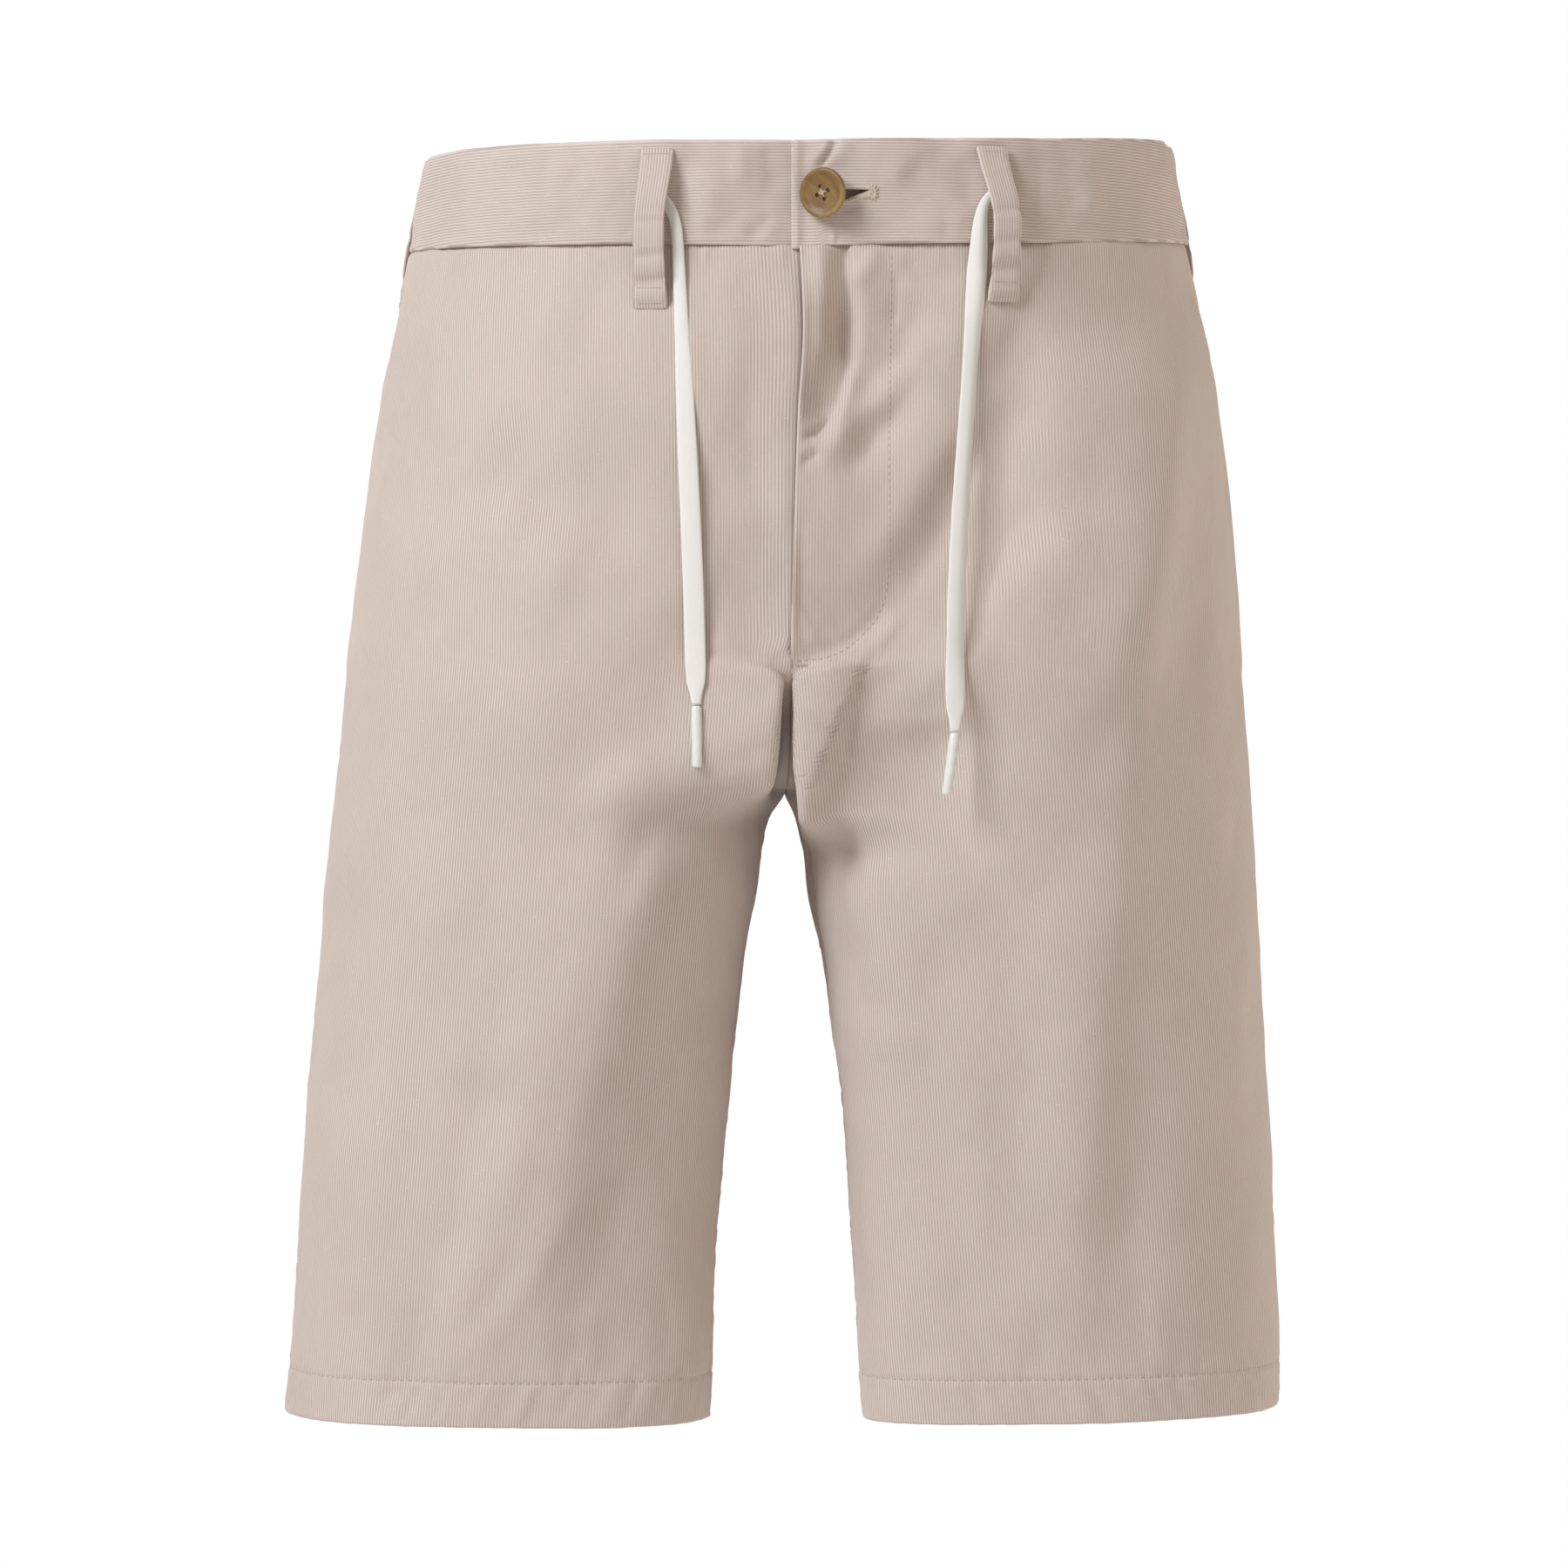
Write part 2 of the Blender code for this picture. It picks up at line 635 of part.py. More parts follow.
def make_shield():
    """The strip behind the fly, seated on the right front and clear of the left one's fold."""
    levels = np.linspace(WAIST_SEAM - SHIELD_TOP_GAP, SHIELD_END, SHIELD_ROWS)
    outer = []
    inner = []
    for level in levels:
        outer_row = []
        inner_row = []
        for side, reaches in ((RIGHT, SHIELD_RIGHT_STEPS), (LEFT, SHIELD_LEFT_STEPS)):
            length = row_points(side, level, True, np.array([0.0]))[1]
            steps = np.array(reaches)
            points, normals = panel_surface(side, True, [level], steps / length, folded=False)
            eased = smoothstep(steps / SHIELD_EASE)
            sink = SHIELD_SINK * eased if side == LEFT else 0.0 * steps
            depth = (CLOTH + SHIELD_GAP + sink)[:, None]
            outer_row.append(points[0] - normals[0] * depth)
            inner_row.append(points[0] - normals[0] * (depth + SHIELD_WALL))
        outer.append(np.vstack(outer_row))
        inner.append(np.vstack(inner_row))
    return new_object("fly_shield", wall_between(np.array(outer), np.array(inner)), COTTON)


def waist_line(arc):
    """Point, outward normal, side and turn at a distance along the waist from the front."""
    side = LEFT if arc >= 0.0 else RIGHT
    halves = [half_row(side, WAIST_SEAM, True), half_row(side, WAIST_SEAM, False)[::-1]]
    lengths = [along(half) for half in halves]
    total = lengths[0][-1] + lengths[1][-1]
    distance = abs(arc)

    def at(place):
        place = min(max(place, 0.0), total)
        if place <= lengths[0][-1]:
            return read_line(halves[0], lengths[0], [place])[0]
        return read_line(halves[1], lengths[1], [place - lengths[0][-1]])[0]

    tangent = at(distance + LEVEL_NUDGE) - at(distance - LEVEL_NUDGE)
    normal = np.array([tangent[1], -tangent[0], 0.0]) * side
    normal /= np.linalg.norm(normal)
    front_part = min(distance / lengths[0][-1], 1.0)
    back_part = max(distance - lengths[0][-1], 0.0) / lengths[1][-1]
    return at(distance), normal, side, 0.5 * front_part + 0.5 * back_part


def waist_length(side):
    """Length of half the waist seam."""
    return sum(along(half_row(side, WAIST_SEAM, front))[-1] for front in (True, False))


def band_point(arc, height, offset):
    """Point of the waistband: height 0 at its seam and 1 at its top, offset outwards."""
    point, normal, side, turn = waist_line(arc)
    seam = float(band_edge(side, turn, "seam")) + 0.5 * SEAM_GAP
    top = float(band_edge(side, turn, "top"))
    place = point + normal * (offset + BAND_PROUD - BAND_LEAN * height)
    return np.array([place[0], place[1], seam + (top - seam) * height])


def make_band(name, arcs, lift):
    """Half of the waistband, with its end lifted or sunk by a function of the place."""
    heights = np.linspace(0.0, 1.0, BAND_ROWS)
    outer = np.array([[band_point(arc, height, lift(arc)) for arc in arcs] for height in heights])
    inner = np.array([[band_point(arc, height, lift(arc) - BAND_WALL) for arc in arcs]
                      for height in heights])
    return new_object(name, wall_between(outer, inner), COTTON)


def overlap_lift(arc):
    """The left end rides over the right one, as far as the right one reaches."""
    past = arc - UNDERLAP_EDGE - OVERLAP_CLEAR
    return OVERLAP_LIFT * float(1.0 - smoothstep(past / OVERLAP_EASE))


def underlap_sink(arc):
    """The right end goes behind the left one."""
    past = arc - OVERLAP_EDGE + UNDERLAP_CLEAR + UNDERLAP_EASE
    return -UNDERLAP_SINK * float(smoothstep(past / UNDERLAP_EASE))


def cut_away(piece, name, shape, finish):
    """Cut a shape out of a piece, which keeps the shape as a hidden guide."""
    cutter = new_object(name, shape, finish)
    cutter.hide_render = True
    cutter.display_type = "WIRE"
    cut = piece.modifiers.new(name, "BOOLEAN")
    cut.operation = "DIFFERENCE"
    cut.solver = "EXACT"
    cut.object = cutter
    return cutter


def cut_slit(band):
    """Cut the buttonhole through the left end: a wedge, widest beside the button."""
    shape = bmesh.new()
    near = [shape.verts.new((corner.x, SLIT_FRONT_Y, BUTTON_Z + corner.z)) for corner in SLIT]
    face = shape.faces.new(near)
    grown = bmesh.ops.extrude_face_region(shape, geom=[face])
    far = [item for item in grown["geom"] if isinstance(item, bmesh.types.BMVert)]
    bmesh.ops.translate(shape, vec=(0.0, SLIT_THROUGH, 0.0), verts=far)
    cut_away(band, "buttonhole_cutter", shape, COTTON)


def cut_eyelet(band, name, place):
    """Sink an upright eyelet into the waistband's outer layer, behind a belt loop."""
    arc, height_z = place
    point, normal = shell_point(arc, height_z)
    across = np.array([-normal[1], normal[0], 0.0])
    upward = np.array([0.0, 0.0, 1.0])
    shape = bmesh.new()
    corners = []
    for depth in (-EYELET_DEEP, EYELET_OUT):
        for along_share, up_share in ((-0.5, -0.5), (0.5, -0.5), (0.5, 0.5), (-0.5, 0.5)):
            corner = (point + normal * depth + across * EYELET_WIDE * along_share
                      + upward * EYELET_HIGH * up_share)
            corners.append(shape.verts.new(corner))
    floor, lid = corners[:4], corners[4:]
    shape.faces.new(floor[::-1])
    shape.faces.new(lid)
    for first in range(4):
        second = (first + 1) % 4
        shape.faces.new((floor[first], floor[second], lid[second], lid[first]))
    cut_away(band, name, shape, COTTON)


def make_waistband():
    """The two halves, from the centre back to their lapped ends."""
    gap = 0.5 * SEAM_GAP
    left_arcs = np.linspace(OVERLAP_EDGE, waist_length(LEFT) - gap, BAND_CELLS + 1)
    sunk = OVERLAP_EDGE - UNDERLAP_CLEAR
    right_arcs = np.concatenate([
        np.linspace(gap - waist_length(RIGHT), sunk - UNDERLAP_EASE, BAND_CELLS - 2)[:-1],
        np.linspace(sunk - UNDERLAP_EASE, sunk, 3),
        np.linspace(sunk, UNDERLAP_EDGE, 4)[1:]])
    left = make_band("waistband_left", left_arcs, overlap_lift)
    right = make_band("waistband_right", right_arcs, underlap_sink)
    cut_slit(left)
    cut_eyelet(left, "eyelet_left_cutter", EYELET_LEFT_PLACE)
    cut_eyelet(right, "eyelet_right_cutter", EYELET_RIGHT_PLACE)


def shell_point(arc, height_z):
    """Outer point and normal of the shorts near the waist, on the band or just below it."""
    point, normal, side, turn = waist_line(arc)
    seam = float(band_edge(side, turn, "seam"))
    top = float(band_edge(side, turn, "top"))
    if height_z >= seam:
        height = (height_z - seam) / (top - seam)
        lift = overlap_lift(arc) if side == LEFT else 0.0
        return band_point(arc, height, lift), normal
    front = turn <= 0.5
    part = 2.0 * turn if front else 2.0 - 2.0 * turn
    level = WAIST_SEAM + (height_z - seam) * SEAM_LEVEL_STRETCH
    points, normals = panel_surface(side, front, [level], np.array([part]))
    return points[0, 0], normal


def make_loop(loop):
    """A belt loop: a strip tacked down at both ends, standing off between them."""
    top, normal = shell_point(loop.top, loop.top_z)
    foot, foot_normal = shell_point(loop.foot, loop.foot_z)
    bend, _ = shell_point(loop.middle, loop.top_z)
    seat = SEAT_GAP + LOOP_LIFT
    outer = []
    inner = []
    for step in range(LOOP_CELLS + 1):
        part = step / LOOP_CELLS
        facing = Vector(normal * (1.0 - part) + foot_normal * part).normalized()
        facing = np.array(facing)
        across = np.array([-facing[1], facing[0], 0.0])
        centre = top * (1.0 - part) + foot * part
        shift = (bend - top) * smoothstep(2.0 * part) - (foot - top) * part
        centre[:2] += (across * (shift @ across))[:2]
        rise = seat + loop.stand * math.sin(math.pi * part) ** LOOP_FLATNESS
        rim = [centre + across * LOOP_WIDTH * share for share in (-0.5, 0.0, 0.5)]
        inner.append([point + facing * rise for point in rim])
        outer.append([point + facing * (rise + LOOP_WALL) for point in rim])
    return new_object(loop.name, wall_between(np.array(outer), np.array(inner)), COTTON)


def make_loops():
    """Two loops in front, one at each side and one at the centre back."""
    for loop in LOOPS:
        make_loop(loop)
    centre_back = waist_length(LEFT) - 0.2
    make_loop(BACK_LOOP._replace(top=centre_back, middle=centre_back, foot=centre_back))


def make_button():
    """A turned button with a raised rim, a dished middle and four holes."""
    shape = bmesh.new()
    line = [shape.verts.new((BUTTON_RADIUS * point.out, 0.0, point.up))
            for point in BUTTON_PROFILE]
    edges = [shape.edges.new(pair) for pair in zip(line, line[1:])]
    bmesh.ops.spin(shape, geom=line + edges, cent=(0.0, 0.0, 0.0), axis=(0.0, 0.0, 1.0),
                   angle=2.0 * math.pi, steps=BUTTON_SIDES, use_merge=True)
    bmesh.ops.remove_doubles(shape, verts=shape.verts, dist=0.001)
    button = new_object("button", shape, BUTTON_HORN, BUTTON_SMOOTH)
    drills = bmesh.new()
    for corner in range(4):
        angle = math.radians(BUTTON_TURN + 90.0 * corner)
        drill = bmesh.ops.create_cone(drills, cap_ends=True, segments=BUTTON_HOLE_SIDES,
                                      radius1=BUTTON_HOLE, radius2=BUTTON_HOLE,
                                      depth=BUTTON_RADIUS)
        place = (BUTTON_HOLE_OUT * math.cos(angle), BUTTON_HOLE_OUT * math.sin(angle), 0.0)
        bmesh.ops.translate(drills, vec=place, verts=drill["verts"])
    cutter = cut_away(button, "button_drills", drills, BUTTON_HORN)

    arc = BUTTON_X - size_at(WAIST_SEAM, "in_left")
    base, normal = shell_point(arc, BUTTON_Z)
    above, _ = shell_point(arc, BUTTON_Z + BUTTON_REACH)
    below, _ = shell_point(arc, BUTTON_Z - BUTTON_REACH)
    upward = Vector(above - below).normalized()
    facing = (Vector(normal) - upward * Vector(normal).dot(upward)).normalized()
    tilt = math.radians(BUTTON_TILT)
    reach = max(BUTTON_RADIUS * point.out * math.sin(tilt) - point.up * math.cos(tilt)
                for point in BUTTON_PROFILE)
    seat = MM * (Vector(base) + facing * (SEAT_GAP + BUTTON_LIFT + reach))
    tilted = facing * math.cos(tilt) - upward.cross(facing) * math.sin(tilt)
    turn = tilted.to_track_quat("Z", "Y")
    for item in (button, cutter):
        item.rotation_mode = "QUATERNION"
        item.rotation_quaternion = turn
        item.location = seat


def smooth_route(route):
    """Even points and facings on a smooth curve through a cord's route."""
    rows = np.array(route, dtype=float)
    padded = np.vstack([2.0 * rows[0] - rows[1], rows, 2.0 * rows[-1] - rows[-2]])
    fine = []
    for i in range(1, len(padded) - 2):
        before, start, end, after = padded[i - 1:i + 3]
        for part in np.linspace(0.0, 1.0, ROUTE_STEPS, endpoint=False):
            fine.append(0.5 * (2.0 * start + (end - before) * part
                               + (2.0 * before - 5.0 * start + 4.0 * end - after) * part ** 2
                               + (3.0 * start - before - 3.0 * end + after) * part ** 3))
    fine = np.array(fine + [rows[-1]])
    distances = along(fine[:, :3])
    count = int(round(distances[-1] / CORD_STEP))
    even = np.linspace(0.0, distances[-1], count + 1)
    return np.column_stack([np.interp(even, distances, fine[:, axis]) for axis in range(4)])


def make_cord(name, route):
    """A flat drawcord end, narrowed where it goes into its aglet."""
    rows = smooth_route(route)
    centres = rows[:, :3]
    tangents = np.gradient(centres, axis=0)
    outer = []
    inner = []
    for step, (centre, tangent, facing) in enumerate(zip(centres, tangents, rows[:, 3])):
        angle = math.radians(facing)
        outward = np.array([math.sin(angle), -math.cos(angle), 0.0])
        tangent = tangent / np.linalg.norm(tangent)
        across = np.cross(tangent, outward)
        across /= np.linalg.norm(across)
        outward = np.cross(across, tangent)
        to_end = len(centres) - 1 - step
        width = CORD_WIDTH * (CORD_TAPER[to_end] if to_end < len(CORD_TAPER) else 1.0)
        rim = [centre - 0.5 * width * across, centre + 0.5 * width * across]
        outer.append([point + 0.5 * CORD_WALL * outward for point in rim])
        inner.append([point - 0.5 * CORD_WALL * outward for point in rim])
    return new_object(name, wall_between(np.array(outer), np.array(inner)), CORD_COTTON)


def make_aglet(aglet, route):
    """The stiff round end of a drawcord, hanging from the cord's last point."""
    last = route[-1]
    start = Vector((last.x, last.y, last.z - SEAM_GAP))
    foot = start + Vector((aglet.lean, 0.0, -aglet.length))
    shape = bmesh.new()
    rings = []
    for part, share in ((0.0, AGLET_EDGE), (0.03, 1.0), (0.96, 1.0), (1.0, AGLET_EDGE)):
        centre = start.lerp(foot, part)
        ring = []
        for corner in range(AGLET_SIDES):
            angle = 2.0 * math.pi * corner / AGLET_SIDES
            ring.append(shape.verts.new((centre.x + share * AGLET_RADIUS * math.cos(angle),
                                         centre.y + share * AGLET_RADIUS * math.sin(angle),
                                         centre.z)))
        rings.append(ring)
    for upper, lower in zip(rings, rings[1:]):
        for corner in range(AGLET_SIDES):
            following = (corner + 1) % AGLET_SIDES
            shape.faces.new((upper[corner], upper[following], lower[following], lower[corner]))
    shape.faces.new(rings[0][::-1])
    shape.faces.new(rings[-1])
    return new_object(aglet.name, shape, AGLET_FILM)


def clear_scene():
    """Remove what a new file holds."""
    for item in list(bpy.data.objects):
        bpy.data.objects.remove(item)


def main():
    """Build every piece of the shorts."""
    clear_scene()
    for side, word in ((RIGHT, "right"), (LEFT, "left")):
        make_panel("front_" + word, side, True, FRONT_CELLS)
        make_panel("back_" + word, side, False, BACK_CELLS)
    make_shield()
    make_waistband()
    make_loops()
    make_button()
    make_cord("drawcord_right", CORD_RIGHT)
    make_cord("drawcord_left", CORD_LEFT)
    make_aglet(AGLET_RIGHT, CORD_RIGHT)
    make_aglet(AGLET_LEFT, CORD_LEFT)


main()
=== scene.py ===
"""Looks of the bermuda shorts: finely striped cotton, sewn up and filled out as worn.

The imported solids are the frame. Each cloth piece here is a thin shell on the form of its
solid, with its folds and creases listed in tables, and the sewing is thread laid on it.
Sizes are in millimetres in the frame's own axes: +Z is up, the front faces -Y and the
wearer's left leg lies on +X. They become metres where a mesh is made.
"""

import logging
import math
from dataclasses import dataclass
from enum import Enum
from typing import NamedTuple, Sequence, Union

import bmesh
import bpy
import numpy as np
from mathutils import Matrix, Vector
from mathutils.bvhtree import BVHTree


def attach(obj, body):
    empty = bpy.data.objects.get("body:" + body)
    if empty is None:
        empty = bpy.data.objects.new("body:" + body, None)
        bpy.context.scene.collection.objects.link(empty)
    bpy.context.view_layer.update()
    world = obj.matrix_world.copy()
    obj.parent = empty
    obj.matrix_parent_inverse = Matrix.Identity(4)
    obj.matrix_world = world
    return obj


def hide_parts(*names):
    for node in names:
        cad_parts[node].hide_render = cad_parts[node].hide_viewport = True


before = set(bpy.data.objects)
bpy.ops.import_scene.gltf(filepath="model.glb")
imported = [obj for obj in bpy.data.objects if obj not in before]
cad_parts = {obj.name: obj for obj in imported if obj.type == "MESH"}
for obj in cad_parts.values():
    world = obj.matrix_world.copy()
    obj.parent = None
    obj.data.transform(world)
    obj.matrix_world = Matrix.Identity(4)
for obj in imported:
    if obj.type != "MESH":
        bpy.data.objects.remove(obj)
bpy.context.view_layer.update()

LOG = logging.getLogger("shorts")
BODY = "root"
MM = 0.001
CHART = "cloth"                         # the UV layer that holds places on the cut cloth

Colour = tuple[float, float, float]


class Side(Enum):
    """The wearer's side; the value is the sign of its x."""

    RIGHT = -1
    LEFT = 1


class Face(Enum):
    """Front or back of the garment; the value is the sign of its y."""

    FRONT = -1
    BACK = 1


class Across(Enum):
    """What a crease's sideways places are measured from."""

    MIDDLE = "x of the frame"
    SIDE_SEAM = "distance from the side seam"


# ---------------------------------------------------------------- the form that is worn


class Section(NamedTuple):
    """Sizes at one level: y of the foremost and backmost cloth, the rest from x = 0."""

    level: float
    front: float
    back: float
    front_mid: float
    back_mid: float
    out_right: float
    out_left: float
    in_right: float
    in_left: float


SECTIONS = (
    #        level   front    back  front  back    out    out    in    in
    #                                mid    mid  right   left right  left
    Section(-16.0, -116.5, 118.5, 25.0, 30.0, 160.5, 167.5, -4.0, 4.0),
    Section(-60.0, -121.5, 134.0, 32.0, 45.0, 169.3, 177.1, -3.6, 3.6),
    Section(-110.0, -125.0, 143.0, 45.0, 62.0, 176.9, 185.5, -3.0, 3.0),
    Section(-150.0, -126.0, 146.0, 55.0, 70.0, 182.1, 189.0, -2.5, 2.5),
    Section(-195.0, -125.5, 143.5, 66.0, 77.0, 187.7, 191.9, -1.0, 1.0),
    Section(-242.0, -120.0, 129.0, 78.0, 84.0, 192.5, 195.2, 1.3, -1.3),
    Section(-255.0, -117.0, 124.0, 81.0, 86.0, 193.8, 196.0, 8.9, 3.3),
    Section(-284.0, -112.0, 114.0, 88.0, 91.0, 196.7, 197.8, 14.8, 8.9),
    Section(-314.0, -107.0, 106.0, 94.0, 96.0, 199.3, 199.7, 19.2, 14.1),
    Section(-373.0, -98.0, 93.0, 104.0, 105.0, 204.5, 202.6, 25.5, 22.2),
    Section(-432.0, -90.0, 82.0, 112.0, 113.0, 208.2, 205.6, 30.7, 26.3),
    Section(-505.0, -82.0, 71.0, 121.0, 121.0, 212.7, 207.5, 33.7, 31.1),
)


class RecessEdge(NamedTuple):
    """Where the fronts turn back into the gap between the thighs, as x at one level."""

    level: float
    right: float
    left: float


RECESS_EDGES = (
    RecessEdge(-186.0, 1.2, 1.2),
    RecessEdge(-193.0, -1.5, 1.1),
    RecessEdge(-206.0, -3.3, 1.5),
    RecessEdge(-217.0, -4.0, 1.2),
    RecessEdge(-227.0, -4.8, 1.3),
    RecessEdge(-235.0, -5.5, 1.9),
    RecessEdge(-242.0, -6.6, 2.7),
    RecessEdge(-255.0, -9.4, 3.7),
)


class BandEdge(NamedTuple):
    """Heights of the waistband's two edges at one place of the waist."""

    turn: float                 # 0 at the centre front, 0.5 at the side, 1 at the back
    seam_right: float
    top_right: float
    seam_left: float
    top_left: float


BAND_EDGES = (
    BandEdge(0.00, -20.7, 20.4, -20.7, 20.4),
    BandEdge(0.20, -19.3, 20.6, -18.3, 22.4),
    BandEdge(0.40, -15.8, 21.8, -12.8, 28.0),
    BandEdge(0.50, -13.3, 18.0, -10.0, 29.2),
    BandEdge(0.62, -11.5, 21.5, -9.4, 29.6),
    BandEdge(1.00, -9.0, 31.0, -9.0, 31.0),
)


def smoothstep(value: Union[float, np.ndarray]) -> np.ndarray:
    """Ease from 0 to 1 as the value goes from 0 to 1."""
    part = np.clip(value, 0.0, 1.0)
    return part * part * (3.0 - 2.0 * part)


def bell(value: Union[float, np.ndarray]) -> np.ndarray:
    """Rise to 1 at zero and fall away on both sides within about two."""
    return np.exp(-np.square(value))


def through_points(keys: Sequence[float], values: Sequence[float],
                   at: Union[float, np.ndarray]) -> np.ndarray:
    """Monotone cubic curve through a table's points.

    Args:
        keys: Rising keys of the table.
        values: One value for each key.
        at: Where the curve is read.

    Returns:
        The curve's values there.
    """
    keys = np.asarray(keys, dtype=float)
    values = np.asarray(values, dtype=float)
    steps = np.diff(keys)
    slopes = np.diff(values) / steps
    tangents = np.zeros_like(values)
    tangents[0] = slopes[0]
    tangents[-1] = slopes[-1]
    weight = steps[:-1] + steps[1:]
    with np.errstate(divide="ignore", invalid="ignore"):
        mean = 3.0 * weight / ((2.0 * steps[1:] + steps[:-1]) / slopes[:-1]
                               + (steps[1:] + 2.0 * steps[:-1]) / slopes[1:])
    tangents[1:-1] = np.where(slopes[:-1] * slopes[1:] > 0, mean, 0.0)
    at = np.clip(at, keys[0], keys[-1])
    cell = np.clip(np.searchsorted(keys, at, side="right") - 1, 0, len(steps) - 1)
    part = (at - keys[cell]) / steps[cell]
    return ((1.0 + 2.0 * part) * (1.0 - part) ** 2 * values[cell]
            + part * (1.0 - part) ** 2 * steps[cell] * tangents[cell]
            + part ** 2 * (3.0 - 2.0 * part) * values[cell + 1]
            + part ** 2 * (part - 1.0) * steps[cell] * tangents[cell + 1])


def along(points: np.ndarray) -> np.ndarray:
    """Distance along a line of points, from its first one."""
    steps = np.linalg.norm(np.diff(points, axis=0), axis=1)
    return np.concatenate([[0.0], np.cumsum(steps)])


def read_line(points: np.ndarray, distances: np.ndarray, at: np.ndarray) -> np.ndarray:
    """Points of a line at given distances along it."""
    return np.column_stack([np.interp(at, distances, points[:, axis])
                            for axis in range(points.shape[1])])


def unit(vectors: np.ndarray) -> np.ndarray:
    """Vectors brought to length 1."""
    return vectors / np.maximum(np.linalg.norm(vectors, axis=-1, keepdims=True), 1e-9)


def graded(start: float, end: float, step: float, foci: Sequence[float],
           finest: float = 0.55, reach: float = 7.0) -> np.ndarray:
    """Places from start to end, close together beside each focus.

    Args:
        start: First place.
        end: Last place.
        step: Usual distance between places.
        foci: Places with fine detail.
        finest: Distance between places there.
        reach: How far from a focus the usual distance returns.

    Returns:
        The rising places.
    """
    places = [start]
    while places[-1] < end:
        near = min(abs(places[-1] - focus) for focus in foci)
        places.append(places[-1] + finest + (step - finest) * float(smoothstep(near / reach)))
    line = np.array(places)
    return start + (line - start) * (end - start) / (line[-1] - start)


@dataclass(frozen=True)
class ShortsForm:
    """Rows at falling levels, each a half ring from an inner seam round to the side."""

    waist_seam: float = -16.0
    dip_ends: float = -110.0
    front_fork: float = -180.0
    back_fork: float = -165.0
    crotch: float = -242.0
    hem: float = -505.0
    crotch_y: float = -30.0
    inseam_hem_y: float = -24.0
    seam_sink: float = 0.5
    front_hollow: float = 3.0
    front_hollow_top: float = -110.0
    back_hollow: float = 3.5
    back_hollow_top: float = -60.0
    round_thigh: float = -226.0
    side_waist_y: float = 6.0
    side_hem_y: float = -5.0
    roundness: float = 2.25
    inner_roundness: float = 2.7
    full_thigh: float = 3.2             # and the left thigh's, which stays full
    turned_thigh: float = 2.7           # the right thigh's front turns inward sooner
    full_top: float = -186.0
    full_foot_right: float = -256.0
    full_foot_left: float = -270.0
    recess_top: float = -184.0
    recess_ease: float = 12.0
    recess_corner: float = 2.2          # radius of the turn from the front to the recess
    inner_drop: float = 1.0
    outer_rise: float = 4.0
    samples: int = 72
    band_proud: float = 0.5
    band_lean: float = 5.0

    def size_at(self, level: float, column: str) -> float:
        """One column of the section table, read at any level."""
        falling = [-row.level for row in SECTIONS]
        return float(through_points(falling, [getattr(row, column) for row in SECTIONS], -level))

    def band_edge(self, side: Side, turn: np.ndarray, edge: str) -> np.ndarray:
        """Height of the waistband's seam or top.

        Args:
            side: The wearer's side.
            turn: Places round the waist, 0 at the centre front and 1 at the back.
            edge: "seam" or "top".

        Returns:
            The heights.
        """
        column = edge + ("_left" if side is Side.LEFT else "_right")
        turns = [row.turn for row in BAND_EDGES]
        return through_points(turns, [getattr(row, column) for row in BAND_EDGES], turn)

    def seam_end(self, side: Side, level: float, face: Face) -> np.ndarray:
        """Point where a row meets the centre seam or, below the crotch, the inseam.

        Args:
            side: The wearer's side.
            level: The row's level.
            face: Front or back.

        Returns:
            The point.
        """
        front = face is Face.FRONT
        seam_level = level if front or level <= self.crotch else self.crotch
        left_x = self.size_at(seam_level, "in_left")
        right_x = -self.size_at(seam_level, "in_right")
        if level > self.crotch:
            inner = 0.5 * (left_x + right_x)
        else:
            inner = left_x if side is Side.LEFT else right_x
        if level <= self.crotch:
            down = (self.crotch - level) / (self.crotch - self.hem)
            seam_y = self.crotch_y + down * (self.inseam_hem_y - self.crotch_y)
            return np.array([inner, seam_y, level])
        fork = self.front_fork if front else self.back_fork
        upright = max(level, fork)
        if front:
            down = (self.front_hollow_top - upright) / (self.front_hollow_top - self.front_fork)
            hollow = self.front_hollow * float(smoothstep(down))
            seam_y = self.size_at(upright, "front") + self.seam_sink + hollow
        else:
            down = (self.back_hollow_top - upright) / (self.back_hollow_top - self.back_fork)
            hollow = self.back_hollow * float(smoothstep(down))
            seam_y = self.size_at(upright, "back") - self.seam_sink - hollow
        if level >= fork:
            return np.array([inner, seam_y, level])
        angle = 0.5 * math.pi * (fork - level) / (fork - self.crotch)
        under_y = self.crotch_y + (seam_y - self.crotch_y) * math.cos(angle)
        under_z = fork - (fork - self.crotch) * math.sin(angle)
        return np.array([inner, under_y, under_z])

    def inner_corner(self, side: Side, level: float, face: Face) -> float:
        """How square a row's inner corner is: 2 is an ellipse's quarter.

        Args:
            side: The wearer's side.
            level: The row's level.
            face: Front or back.

        Returns:
            The power of its curve.
        """
        if face is Face.BACK:
            return self.inner_roundness
        turned = float(smoothstep((self.crotch - level) / 40.0))
        thigh = self.full_thigh if side is Side.LEFT else self.turned_thigh
        return self.inner_roundness + (thigh - self.inner_roundness) * turned

    def squareness(self, side: Side, level: float) -> float:
        """How far a front keeps flat up to the gap between the thighs, from 0 to 1."""
        foot = self.full_foot_left if side is Side.LEFT else self.full_foot_right
        return float(smoothstep((self.full_top - level) / 10.0) * smoothstep((level - foot) / 16.0))

